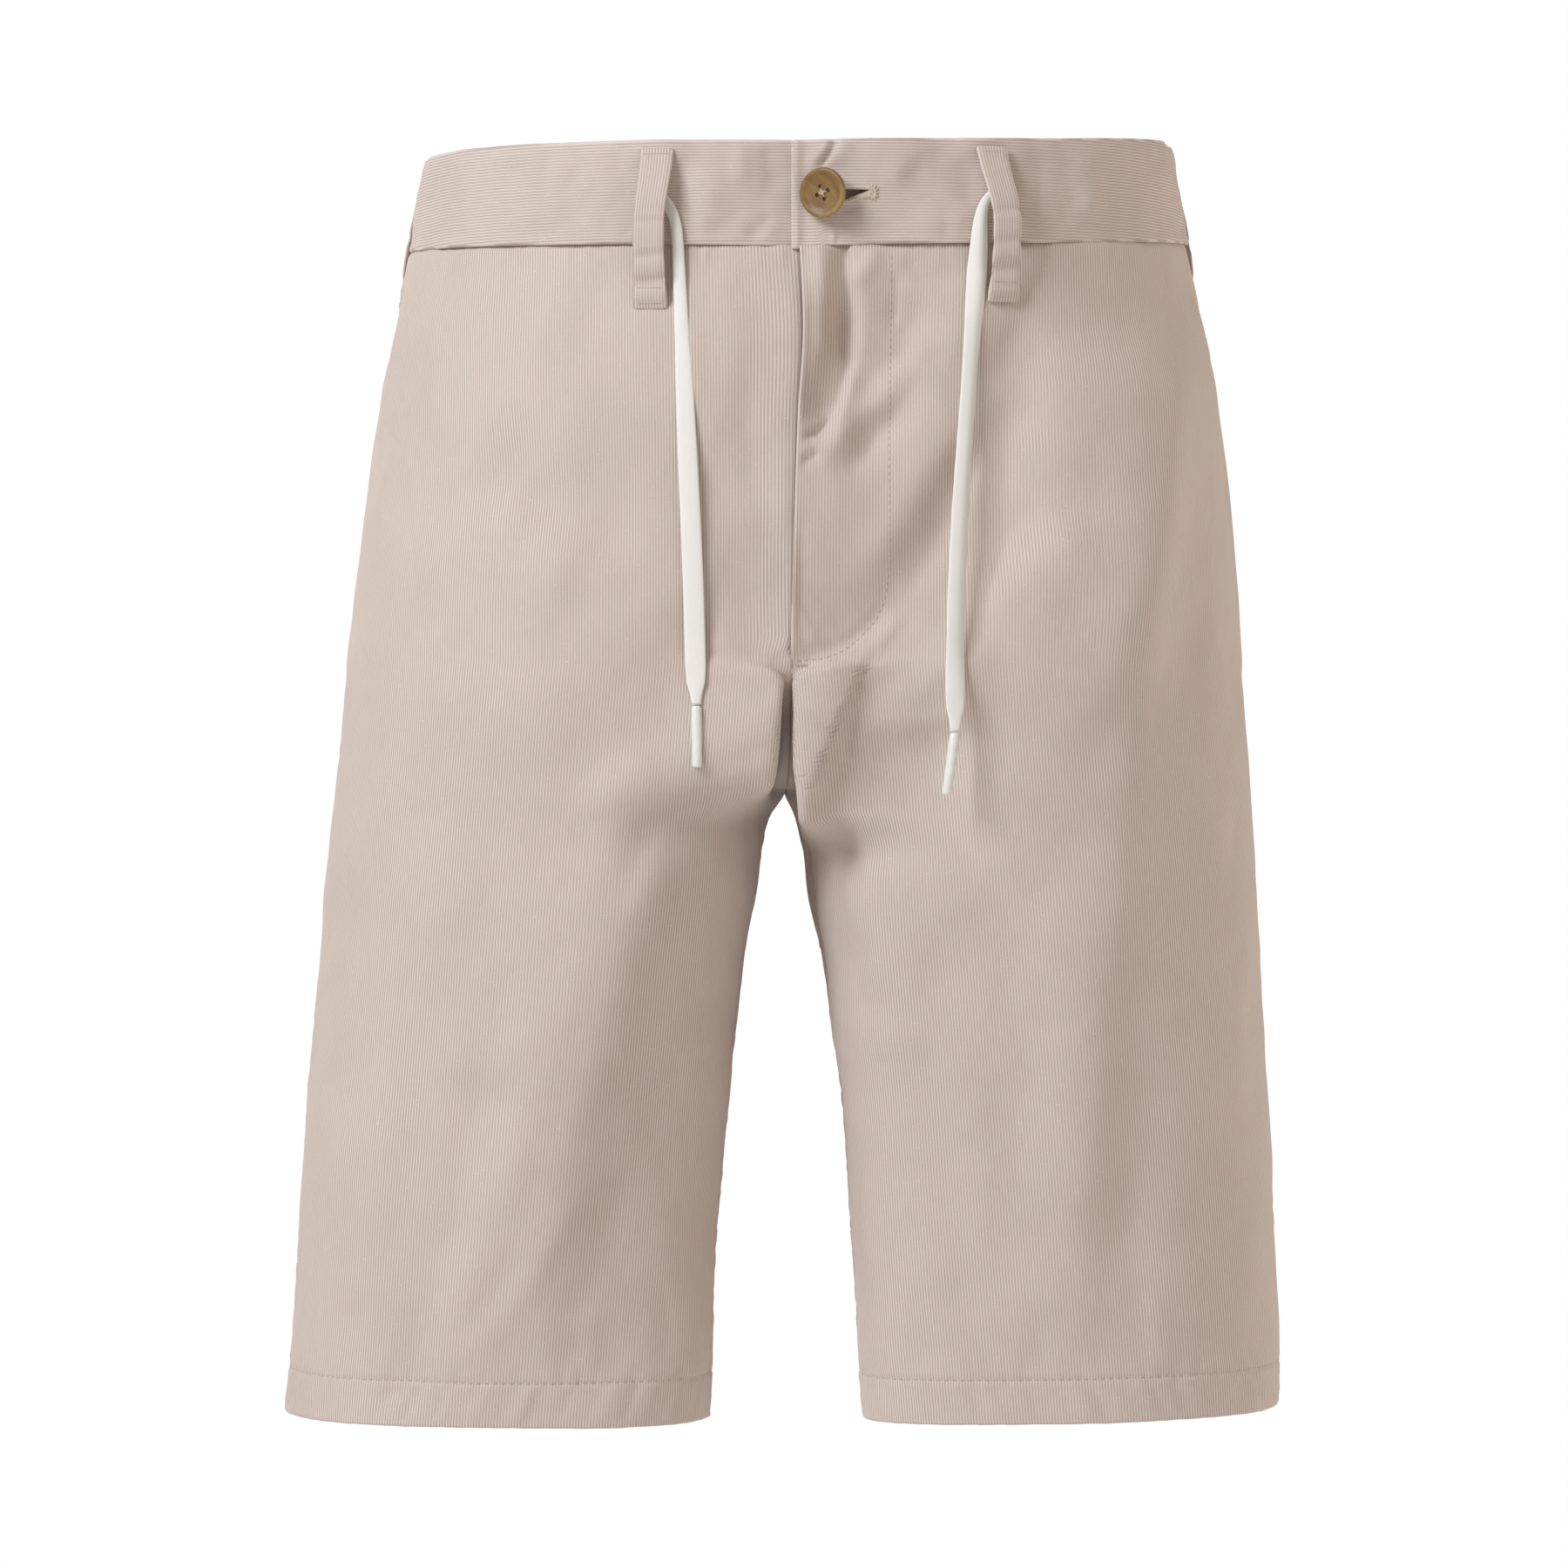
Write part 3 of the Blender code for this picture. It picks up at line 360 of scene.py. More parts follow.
    def recess_row(self, side: Side, start: np.ndarray, middle: float, extreme: float,
                   part: np.ndarray) -> np.ndarray:
        """A front's row beside the gap: a wall that runs forward, a tight turn and a flat.

        Args:
            side: The wearer's side.
            start: The row's seam point.
            middle: x where the flat ends.
            extreme: y of the flat.
            part: Places along the row, 0 at the seam and 1 at the middle.

        Returns:
            Pairs of x and y.
        """
        falling = [-row.level for row in RECESS_EDGES]
        edges = [row.left if side is Side.LEFT else row.right for row in RECESS_EDGES]
        edge = float(through_points(falling, edges, -start[3]))
        wall = np.clip(part / 0.42, 0.0, 1.0)
        turn = 0.5 * math.pi * np.clip((part - 0.42) / 0.16, 0.0, 1.0)
        flat = np.clip((part - 0.58) / 0.42, 0.0, 1.0)
        corner = side.value * self.recess_corner
        across = edge + (start[0] - edge) * (1.0 - smoothstep(wall / 0.3))
        across = across + corner * (1.0 - np.cos(turn)) + (middle - edge - corner) * flat
        front = extreme + self.recess_corner
        return np.column_stack([across, start[1] + (front - start[1]) * wall
                                - self.recess_corner * np.sin(turn)])

    def row(self, side: Side, level: float, face: Face) -> np.ndarray:
        """Fine points of the front or back of a row, from its inner seam to the side.

        Args:
            side: The wearer's side.
            level: The row's level.
            face: Front or back.

        Returns:
            The points.
        """
        front = face is Face.FRONT
        start = self.seam_end(side, level, face)
        extreme = self.size_at(level, "front" if front else "back")
        middle = side.value * self.size_at(level, "front_mid" if front else "back_mid")
        outer = side.value * self.size_at(level, "out_left" if side is Side.LEFT else "out_right")
        down = (self.waist_seam - level) / (self.waist_seam - self.hem)
        side_y = self.side_waist_y + down * (self.side_hem_y - self.side_waist_y)
        fork = self.front_fork if front else self.back_fork
        if front:
            hook = float(smoothstep((self.recess_top - level) / self.recess_ease))
        else:
            hook = float(smoothstep((fork - level) / (fork - self.round_thigh)))

        part = np.linspace(0.0, 1.0, self.samples)
        quarter = 0.5 * math.pi * part
        power = 2.0 / self.inner_corner(side, level, face)
        across_hook = 1.0 - np.cos(quarter).clip(0.0) ** power
        across_hook[-1] = 1.0
        depth_hook = 1.0 - np.sin(quarter) ** power
        across = hook * across_hook + (1.0 - hook) * part
        depth = hook * depth_hook + (1.0 - hook) * (0.5 + 0.5 * np.cos(math.pi * part))
        inner = np.column_stack([
            start[0] + (middle - start[0]) * across,
            extreme + (start[1] - extreme) * depth,
            level + (start[2] - level) * (1.0 - part) ** 2,
        ])
        square = self.squareness(side, level) if front else 0.0
        if square:
            seam = np.append(start, level)
            inner[:, :2] += square * (self.recess_row(side, seam, middle, extreme, part)
                                      - inner[:, :2])
        power = 2.0 / self.roundness
        round_depth = np.cos(quarter).clip(0.0) ** power
        round_depth[-1] = 0.0
        outward = np.column_stack([
            middle + (outer - middle) * np.sin(quarter) ** power,
            side_y + (extreme - side_y) * round_depth,
            np.full(self.samples, level),
        ])
        return np.vstack([inner, outward[1:]])

    def place_heights(self, side: Side, level: float, face: Face,
                      parts: np.ndarray) -> np.ndarray:
        """How far the points of a row rise: the waist seam's dip and the hem's slope.

        Args:
            side: The wearer's side.
            level: The row's level.
            face: Front or back.
            parts: Shares of the row, 0 at the inner seam and 1 at the side seam.

        Returns:
            The rise of each point.
        """
        turn = 0.5 * parts if face is Face.FRONT else 1.0 - 0.5 * parts
        fade = 1.0 - smoothstep((self.waist_seam - level) / (self.waist_seam - self.dip_ends))
        dip = fade * (self.band_edge(side, turn, "seam") - self.waist_seam)
        down = max(self.crotch - level, 0.0) / (self.crotch - self.hem)
        outer_rise = self.outer_rise if side is Side.LEFT else 0.0
        return dip + down ** 2 * (outer_rise * parts - self.inner_drop * (1.0 - parts))

    def waist_length(self, side: Side) -> float:
        """Length of half the waist seam."""
        return sum(float(along(self.row(side, self.waist_seam, face))[-1]) for face in Face)


class WaistPlaces(NamedTuple):
    """Places along the waist: seam points, outward normals and the band's two heights."""

    points: np.ndarray
    normals: np.ndarray
    seam: np.ndarray
    top: np.ndarray


@dataclass(frozen=True)
class WaistLine:
    """The waist seam's line, read at distances from the front seam, left positive."""

    form: ShortsForm
    nudge: float = 0.5

    def read(self, arcs: np.ndarray) -> WaistPlaces:
        """Read the line.

        Args:
            arcs: Distances from the front seam, the wearer's left positive.

        Returns:
            The places there.
        """
        arcs = np.atleast_1d(np.asarray(arcs, dtype=float))
        parts = [self._read_side(Side.RIGHT, arcs), self._read_side(Side.LEFT, arcs)]
        left = arcs >= 0.0
        return WaistPlaces(*[np.where(left if right_part.ndim == 1 else left[:, None],
                                      left_part, right_part)
                             for right_part, left_part in zip(*parts)])

    def _read_side(self, side: Side, arcs: np.ndarray) -> WaistPlaces:
        """The same for one side, whose places are the absolute distances.

        Args:
            side: The wearer's side.
            arcs: Distances along the waist.

        Returns:
            The places there.
        """
        front = self.form.row(side, self.form.waist_seam, Face.FRONT)
        back = self.form.row(side, self.form.waist_seam, Face.BACK)[::-1]
        line = np.vstack([front, back[1:]])
        distances = along(line)
        front_length = float(along(front)[-1])
        back_length = distances[-1] - front_length
        place = np.abs(arcs)
        ahead = read_line(line, distances, place + self.nudge)
        behind = read_line(line, distances, place - self.nudge)
        tangents = ahead - behind
        normals = np.column_stack([tangents[:, 1], -tangents[:, 0], np.zeros(len(arcs))])
        turn = (0.5 * np.minimum(place / front_length, 1.0)
                + 0.5 * np.maximum(place - front_length, 0.0) / back_length)
        return WaistPlaces(read_line(line, distances, place), unit(normals) * side.value,
                           self.form.band_edge(side, turn, "seam"),
                           self.form.band_edge(side, turn, "top"))

    def band_points(self, arcs: np.ndarray, heights: np.ndarray,
                    offsets: np.ndarray) -> tuple[np.ndarray, np.ndarray]:
        """Points of the waistband.

        Args:
            arcs: Distances from the front seam, one for each column.
            heights: 0 at the seam and 1 at the top, one for each row.
            offsets: How far out each point lies, rows by columns.

        Returns:
            Points and outward normals, rows by columns.
        """
        waist = self.read(arcs)
        lean = self.form.band_lean * (1.35 * waist.normals[:, 0] ** 2 - 0.35)
        out = offsets + self.form.band_proud - lean * heights[:, None]
        points = waist.points[None] + waist.normals[None] * out[:, :, None]
        points[:, :, 2] = waist.seam + (waist.top - waist.seam) * heights[:, None]
        normals = np.broadcast_to(waist.normals[None], points.shape)
        return points, normals

    def band_spot(self, arc: float, height: float, lift: float) -> np.ndarray:
        """One point of the waistband's face.

        Args:
            arc: Distance from the front seam.
            height: Height of the point.
            lift: How far out it lies.

        Returns:
            The point.
        """
        place = self.read(np.array([arc]))
        share = (height - place.seam) / (place.top - place.seam)
        return self.band_points(np.array([arc]), share, np.array([[lift]]))[0][0, 0]


# ---------------------------------------------------------------- folds and creases


class Fold(NamedTuple):
    """One long soft fold of the form, a ridge where rise is above zero, else a trough."""

    side: Side
    start_x: float
    start_z: float
    end_x: float
    end_z: float
    half_width: float
    rise: float


FRONT_FOLDS = (
    Fold(Side.LEFT, 21.0, -26.0, 8.0, -97.0, 6.0, -2.2),
    Fold(Side.LEFT, 90.0, -91.0, 77.0, -113.0, 11.0, -2.2),
    Fold(Side.LEFT, 77.0, -113.0, 40.0, -169.0, 12.0, -1.2),
    Fold(Side.LEFT, 20.0, -204.0, 108.0, -142.0, 12.0, 3.0),
    Fold(Side.LEFT, 42.0, -228.0, 82.0, -220.0, 17.0, -4.0),
    Fold(Side.LEFT, 19.0, -270.0, 29.0, -328.0, 9.0, -2.0),
    Fold(Side.LEFT, 114.0, -305.0, 112.0, -450.0, 20.0, 3.0),
    Fold(Side.RIGHT, -12.0, -218.0, -66.0, -244.0, 14.0, 2.8),
    Fold(Side.RIGHT, -14.0, -246.0, -50.0, -262.0, 14.0, -3.4),
    Fold(Side.RIGHT, -56.0, -268.0, -64.0, -300.0, 13.0, -1.0),
    Fold(Side.RIGHT, -100.0, -300.0, -143.0, -462.0, 16.0, 1.6),
    Fold(Side.RIGHT, -122.0, -370.0, -158.0, -490.0, 10.0, -2.6),
    Fold(Side.RIGHT, -34.0, -120.0, -46.0, -192.0, 16.0, -1.8),
)

BACK_FOLDS = (
    Fold(Side.LEFT, 30.0, -205.0, 120.0, -262.0, 16.0, -5.0),
    Fold(Side.LEFT, 60.0, -262.0, 150.0, -300.0, 15.0, -3.5),
    Fold(Side.LEFT, 16.0, -70.0, 70.0, -108.0, 15.0, -2.4),
    Fold(Side.LEFT, 118.0, -330.0, 104.0, -455.0, 18.0, 2.8),
    Fold(Side.RIGHT, -26.0, -212.0, -108.0, -254.0, 17.0, -5.5),
    Fold(Side.RIGHT, -70.0, -270.0, -140.0, -318.0, 14.0, -3.0),
    Fold(Side.RIGHT, -20.0, -84.0, -84.0, -112.0, 16.0, -2.6),
    Fold(Side.RIGHT, -96.0, -340.0, -124.0, -470.0, 16.0, 3.0),
)


class Crease(NamedTuple):
    """One crease, drawn as an arc through a start, a bend and an end.

    Its lean steepens one flank: above zero the one on the left of its run.
    """

    start_x: float
    start_z: float
    bend_x: float
    bend_z: float
    end_x: float
    end_z: float
    half_width: float
    rise: float
    lean: float = 0.0
    across: Across = Across.MIDDLE


def crease_table(*rows: tuple) -> tuple[Crease, ...]:
    """Creases from rows whose columns are the fields of Crease, in their order."""
    return tuple(Crease(*row) for row in rows)


# columns: start x and z, bend x and z, end x and z, half width, rise, lean
FRONT_LEFT_CREASES = crease_table(
    # the pleat beside the fly and the pits at its foot
    (21.8, -8, 22.8, -44, 20.8, -72, 3.4, -3.2, 0.6),
    (22.4, -30, 21.4, -70, 9.4, -102, 8, -7, 0.6),
    (12, -16, 13.4, -46, 10, -80, 5.5, 2.2, -0.2),
    (17, -88, 11, -97, 3.4, -98.6, 3.4, -2.6, -0.6),
    (12, -100, 9, -102.4, 3.4, -102.6, 2.2, 1.3),
    (12, -105, 8, -107.8, 3.4, -108.4, 2.2, -1.9, -0.5),
    (15.5, -64.8, 12.6, -66.6, 8, -66.4, 1.2, -0.8, -0.3),
    # drags that fan out from the button to the hip
    (23, -38, 30, -31, 37, -21, 4.2, 1.7, 0.1),
    (23, -80, 40, -65, 56, -36, 14, -4.4, -0.35),
    (30, -90, 46, -74, 64, -56, 7, 1.4, 0.1),
    (14, -92, 46, -84, 84, -66, 34, -5, -0.2),
    (24, -104, 42, -88, 58, -64, 10, -2.6, -0.3),
    (12, -110, 28, -92, 48, -77, 7, 2.2, 0.2),
    (20, -122, 33, -101, 54, -86, 7.5, -2, -0.2),
    (46, -24, 56, -33, 72, -36, 4.5, -1.4),
    (44, -60, 52, -66, 66, -66, 5, -1.2),
    (42.5, -30, 44, -42, 41, -56, 3, -0.9, 0.3),
    # the long drag from the drawcord down to the fly's foot, its upper flank wide and dark
    (6, -208, 61, -172, 107, -107, 27, -10.4, -0.45),
    (80, -136, 92, -92, 95, -38, 15, -3.8, -0.2),
    (80, -92, 66, -130, 38, -176, 8, -2.2, 0.3),
    (58, -96, 46, -128, 24, -160, 8, 1.6),
    (98, -50, 90, -62, 84, -78, 6, -0.8),
    # the bright flank above and outside the drag
    (146, -42, 145, -124, 108, -226, 31, 8.6, 0.35),
    # the thigh's front below the fly falls back
    (2, -194, 44, -192, 88, -187, 12, 3.8, -0.15),
    (4, -246, 40, -252, 86, -242, 34, -10, -0.3),
    # the edge where the leg turns to its side
    (153, -20, 135, -240, 112, -504, 16, 3.6, 0.3),
    (176, -30, 162, -240, 144, -504, 15, -1.8, 0),
    # folds of the thigh below the fly
    (5, -194, 30, -187, 48, -166, 4.2, 1.8, -0.3),
    (6, -186, 26, -181, 38, -164, 3.2, -1.3, 0.3),
    (6, -200, 40, -199, 70, -182, 5, -0.5),
    (3.5, -197, 12, -203, 24, -205, 2, -0.6, 0.3),
    (3, -205, 11, -214, 26, -222, 3, 0.7),
    (28, -214, 52, -216, 84, -204, 6, 0.9, 0.2),
    (18, -238, 36, -246, 62, -246, 8, -0.9),
    (13, -272, 20, -296, 22, -330, 4, -1.2, 0.3),
    (26, -258, 33, -290, 38, -336, 6.5, 1.3),
    (32, -352, 38, -355, 44, -352, 2, -0.5),
    # long folds down the leg
    (62, -290, 58, -356, 66, -430, 9, -1.1),
    (84, -340, 78, -400, 82, -470, 8, 1),
    (132, -300, 140, -380, 136, -470, 10, -1.2),
    (150, -230, 156, -330, 162, -420, 10, 0.9),
    (108, -150, 122, -190, 128, -250, 10, -0.9),
    (128, -90, 136, -130, 138, -190, 9, 0.8),
    (48, -440, 56, -466, 60, -484, 5, -0.8, 0.2),
    (100, -452, 104, -470, 103, -484, 4.5, -0.7),
    (150, -446, 152, -468, 158, -484, 5, 0.8),
    (176, -430, 178, -460, 184, -484, 5, -0.7),
    # at the side seam, below the loop
    (26, -24, 18, -44, 12, -70, 4.5, -1.1, 0.2, Across.SIDE_SEAM),
    (40, -30, 34, -60, 30, -96, 7, 0.9, 0, Across.SIDE_SEAM),
)

FRONT_RIGHT_CREASES = crease_table(
    # below the waist seam
    (-107, -23, -107.6, -28, -108.4, -34, 1.4, -0.7),
    (-66, -26, -80, -44, -82, -74, 6.5, -0.8),
    (-134, -106, -95, -124, -42, -148, 22, -4.8, -0.35),
    (-5, -70, -11, -130, -4, -196, 17, -3.6, 0.2),
    (-30, -26, -24, -52, -28, -92, 7, 0.8),
    (-12, -60, -16, -100, -10, -140, 5, -0.6),
    (-124, -30, -118, -66, -124, -110, 8, 0.7),
    (-96, -110, -108, -136, -124, -154, 8, -1.2),
    (-84, -128, -96, -158, -118, -182, 9, 0.9),
    # drags that fan out from the fly's foot
    (-0.8, -188, -4, -189.6, -8, -192, 1.3, -0.7),
    (-2, -196, -18, -190, -36, -178, 4, 0.8, 0.2),
    (-2, -204, -20, -202, -44, -194, 5, -0.7),
    (-18, -140, -30, -164, -34, -196, 7, -0.9),
    (-40, -150, -52, -170, -60, -200, 8, 0.8),
    # the edge that runs down the thigh, dark on its inner flank
    (-38, -228, -84, -345, -117, -520, 26, 9.4, 0.22),
    (-20, -280, -46, -360, -66, -520, 20, -1.5),
    # the thigh's full roll and the shade under it
    (-5, -226, -14, -234, -34, -238, 6, 1.6, -0.3),
    (-6, -240, -36, -246, -62, -262, 6, -1, 0.3),
    (-52, -256, -64, -272, -72, -296, 7, -1.2, 0.4),
    (-50, -226, -70, -238, -88, -256, 9, 1.3),
    (-24, -268, -30, -300, -42, -336, 8, 1),
    (-36, -262, -50, -300, -62, -350, 8, -0.9),
    # long folds down the leg
    (-84, -300, -104, -370, -128, -436, 8, 0.6, 0.2),
    (-108, -300, -128, -370, -150, -420, 8, -1),
    (-106, -426, -124, -452, -142, -478, 6, -0.8, 0.3),
    (-84, -400, -104, -440, -128, -476, 6, 1, 0.2),
    (-60, -372, -72, -420, -92, -466, 7, -0.8),
    (-160, -330, -168, -400, -170, -470, 8, 0.9),
    (-52, -446, -50, -466, -56, -484, 4.5, -0.7),
    (-78, -452, -82, -468, -80, -484, 4, 0.7),
    (-176, -446, -182, -466, -184, -484, 5, -0.8),
    (-162, -489, -167, -494, -171, -499, 2, -0.8, 0.3),
    # at the side seam, below the loop
    (24, -26, 16, -48, 10, -72, 4.5, -1.2, 0.2, Across.SIDE_SEAM),
    (42, -30, 34, -64, 28, -110, 7, 0.9, 0, Across.SIDE_SEAM),
)

BACK_LEFT_CREASES = crease_table(
    # drags across the seat and under it
    (20, -60, 46, -78, 78, -82, 7, -0.9, 0.2),
    (14, -118, 44, -140, 84, -146, 9, 0.8),
    (10, -190, 44, -206, 86, -238, 7, -1.6, 0.3),
    (12, -212, 50, -226, 96, -262, 7, 1.4, -0.2),
    (16, -238, 54, -262, 110, -290, 7, -1.5, 0.3),
    (24, -268, 60, -296, 112, -318, 8, 1.1),
    (40, -330, 56, -380, 58, -450, 9, -1.1),
    (84, -340, 80, -400, 88, -470, 8, 1.2),
    (136, -310, 144, -390, 138, -474, 9, -1.2),
    (150, -120, 146, -180, 152, -240, 9, 0.9),
    (44, -450, 48, -468, 46, -484, 4.5, -0.8),
    (118, -448, 122, -468, 128, -484, 5, 0.8),
    (28, -22, 20, -46, 12, -72, 5, -1.1, 0.2, Across.SIDE_SEAM),
)

BACK_RIGHT_CREASES = crease_table(
    (-18, -52, -40, -74, -70, -90, 7, -1, 0.2),
    (-12, -126, -50, -138, -90, -158, 9, 0.8),
    (-8, -196, -40, -214, -78, -236, 7, -1.7, 0.3),
    (-14, -222, -54, -240, -100, -276, 7, 1.4, -0.2),
    (-20, -246, -62, -276, -120, -304, 7, -1.4, 0.3),
    (-30, -284, -70, -312, -124, -330, 8, 1),
    (-52, -340, -60, -390, -74, -454, 9, -1.1),
    (-104, -330, -112, -400, -108, -468, 8, 1.2),
    (-146, -320, -152, -400, -160, -476, 9, -1.1),
    (-138, -110, -146, -170, -142, -232, 9, 0.8),
    (-66, -452, -64, -470, -70, -484, 4.5, -0.8),
    (-150, -450, -156, -468, -158, -484, 5, 0.7),
    (30, -24, 22, -50, 14, -80, 5, -1.1, 0.2, Across.SIDE_SEAM),
)

CREASES = {
    (Side.LEFT, Face.FRONT): FRONT_LEFT_CREASES,
    (Side.RIGHT, Face.FRONT): FRONT_RIGHT_CREASES,
    (Side.LEFT, Face.BACK): BACK_LEFT_CREASES,
    (Side.RIGHT, Face.BACK): BACK_RIGHT_CREASES,
}

# On the waistband a crease's x is its distance along the waist from the front seam.
BAND_LEFT_CREASES = crease_table(
    (15.4, 22.5, 12.4, 15.4, 6.4, 8.6, 1.7, -2.2, 0.35),
    (12.2, 22.5, 9.2, 15.4, 3.4, 10, 2.4, 1.1),
    (18.6, 22, 17.2, 17, 15.4, 11, 2.6, 0.8),
    (-2.4, 5.2, 0.4, 4.9, 3.4, 4.2, 0.8, -0.6),
    (-2.4, 2, 0.2, 1.6, 3, 1.2, 0.8, -0.6),
    (-2.4, -1.4, 0.4, -1.8, 3.4, -1.6, 0.8, -0.6),
    (16, -6.6, 20, -6.4, 26, -5.2, 1.4, -0.9),
    (13, -12, 14, -17, 13.4, -21, 1.4, 0.5),
    (15.2, -14, 15.8, -18, 15.2, -21.5, 1.2, -0.5),
    (40, 10, 56, 3, 76, 5, 9, -1.9, -0.3),
    (44, -8, 60, -12, 76, -8, 6, 1.2),
    (66, 18, 70, 4, 67, -10, 5, -1.4, 0.2),
    (58, 20, 57, 16, 59, 12, 1.8, -0.35),
    (96, 18, 100, 2, 97, -12, 5, -1.2),
    (118, 22, 124, 6, 120, -12, 6, 1.3),
    (150, 22, 158, 8, 152, -10, 6, -0.6),
    (186, 22, 196, 8, 190, -8, 7, 0.7),
    (290, 24, 286, 10, 292, -4, 6, -0.7),
    (340, 26, 348, 10, 342, -4, 7, 0.6),
    (410, 28, 404, 12, 410, -4, 6, -0.6),
)

BAND_RIGHT_CREASES = crease_table(
    (-69, 21, -72, 15, -74, 7, 2, -0.7, 0.2),
    (-66.4, 20, -67.6, 17, -68.4, 13, 1.2, -0.45),
    (-67, -13.4, -69, -16, -70.6, -18.6, 1, -0.5, 0.3),
    (-10.6, 20, -12, 12, -9, -4, 4, -1.4, -0.2),
    (-21, 20, -24, 13, -21.4, 2, 3.2, 1.1),
    (-11, -8, -15, -14, -20, -20, 2.6, -1.1, 0.2),
    (-44, 17, -48, 2, -43, -15, 5, -1.5, 0.2),
    (-31, 12, -36, -2, -32, -16, 5.5, 1.3),
    (-96, 18, -100, 2, -97, -14, 5.5, 1.3),
    (-118, 18, -122, 4, -118, -12, 5, -1.4),
    (-146, 18, -152, 4, -148, -12, 6, 0.6),
    (-178, 16, -184, 4, -180, -10, 6, -0.6),
    (-290, 20, -284, 8, -290, -6, 6, 0.6),
    (-350, 24, -356, 8, -350, -4, 7, -0.6),
    (-410, 28, -402, 12, -408, -4, 6, 0.6),
)


@dataclass(frozen=True)
class CreaseField:
    """The sum of a table of creases over a sheet of cloth."""

    creases: tuple[Crease, ...]
    arc_steps: int = 14
    end_fade: float = 0.28
    far: float = 3.0                    # half widths past which a crease isn't felt

    def rise(self, places: dict[Across, np.ndarray], heights: np.ndarray) -> np.ndarray:
        """How far the creases lift each point.

        Args:
            places: Sideways places of the points, for each way of measuring them.
            heights: Heights of the points.

        Returns:
            The lift of each point.
        """
        total = np.zeros(heights.shape)
        for crease in self.creases:
            total += self._one(crease, places[crease.across], heights)
        return total

    def _one(self, crease: Crease, sideways: np.ndarray, heights: np.ndarray) -> np.ndarray:
        """The lift of one crease, worked out only near it.

        Args:
            crease: The crease.
            sideways: Sideways places of the points.
            heights: Heights of the points.

        Returns:
            The lift of each point.
        """
        part = np.linspace(0.0, 1.0, self.arc_steps + 1)[:, None]
        start = np.array([crease.start_x, crease.start_z])
        bend = np.array([crease.bend_x, crease.bend_z])
        end = np.array([crease.end_x, crease.end_z])
        pull = 2.0 * bend - 0.5 * (start + end)
        arc = (1.0 - part) ** 2 * start + 2.0 * part * (1.0 - part) * pull + part ** 2 * end
        reach = self.far * crease.half_width
        low = arc.min(axis=0) - reach
        high = arc.max(axis=0) + reach
        near = ((sideways > low[0]) & (sideways < high[0])
                & (heights > low[1]) & (heights < high[1]))
        spots = np.column_stack([sideways[near], heights[near]])
        lift = np.zeros(heights.shape)
        if not len(spots):
            return lift
        runs = np.diff(arc, axis=0)
        offset = spots[:, None] - arc[None, :-1]
        share = np.clip((offset * runs).sum(axis=2) / (runs ** 2).sum(axis=1), 0.0, 1.0)
        gaps = offset - share[:, :, None] * runs
        lengths = np.linalg.norm(gaps, axis=2)
        best = lengths.argmin(axis=1)
        rows = np.arange(len(spots))
        run = runs[best]
        turned = run[:, 0] * gaps[rows, best, 1] - run[:, 1] * gaps[rows, best, 0]
        way = (best + share[rows, best]) / self.arc_steps
        fade = smoothstep(way / self.end_fade) * smoothstep((1.0 - way) / self.end_fade)
        width = crease.half_width * (1.0 - crease.lean * np.sign(turned))
        lift[near] = crease.rise * fade * bell(lengths[rows, best] / width)
        return lift


@dataclass(frozen=True)
class Crumple:
    """Low uneven ground of handled cloth: a smooth random field, the same each run."""

    seed: int
    waves: tuple[tuple[float, float], ...] = ((46.0, 1.2), (21.0, 0.75), (9.5, 0.30))
    lattice: int = 64

    def at(self, sideways: np.ndarray, heights: np.ndarray) -> np.ndarray:
        """The field at places of the cloth.

        Args:
            sideways: Places across the cloth.
            heights: Heights.

        Returns:
            The lift at each place.
        """
        random = np.random.default_rng(self.seed)
        total = np.zeros(np.broadcast(sideways, heights).shape)
        for length, height in self.waves:
            table = random.uniform(-1.0, 1.0, (self.lattice, self.lattice))
            total += height * self._smooth(table, sideways / length, heights / (1.25 * length))
        return total

    def _smooth(self, table: np.ndarray, across: np.ndarray, down: np.ndarray) -> np.ndarray:
        """Read a table of random values smoothly, repeating it beyond its edges.

        Args:
            table: The values.
            across: Places across it.
            down: Places down it.

        Returns:
            The values read.
        """
        left = np.floor(across).astype(int)
        top = np.floor(down).astype(int)
        ease_x = smoothstep(across - left)
        ease_z = smoothstep(down - top)
        size = self.lattice
        corner = [[table[(top + i) % size, (left + j) % size] for j in (0, 1)] for i in (0, 1)]
        upper = corner[0][0] + (corner[0][1] - corner[0][0]) * ease_x
        lower = corner[1][0] + (corner[1][1] - corner[1][0]) * ease_x
        return upper + (lower - upper) * ease_z


def wavering(places: np.ndarray, period: float, phase: float) -> np.ndarray:
    """An uneven ripple along a seam, never quite the same twice.

    Args:
        places: Distances along the seam.
        period: Usual distance between two crests.
        phase: Where it starts, in turns.

    Returns:
        Heights between about -1 and 1.
    """
    turn = 2.0 * math.pi * (places / period + phase)
    sway = 1.1 * np.sin(0.23 * turn + 5.0 * phase)
    strength = 0.62 + 0.38 * np.sin(0.31 * turn + 2.0 * phase)
    return strength * (0.75 * np.sin(turn + sway) + 0.25 * np.sin(2.3 * turn - sway))


# ---------------------------------------------------------------- meshes


def place_object(name: str, data: bpy.types.ID) -> bpy.types.Object:
    """Put an object in the scene.

    Args:
        name: The object's name.
        data: Its mesh, light or camera.

    Returns:
        The new object.
    """
    placed = bpy.data.objects.new(name, data)
    bpy.context.scene.collection.objects.link(placed)
    return placed


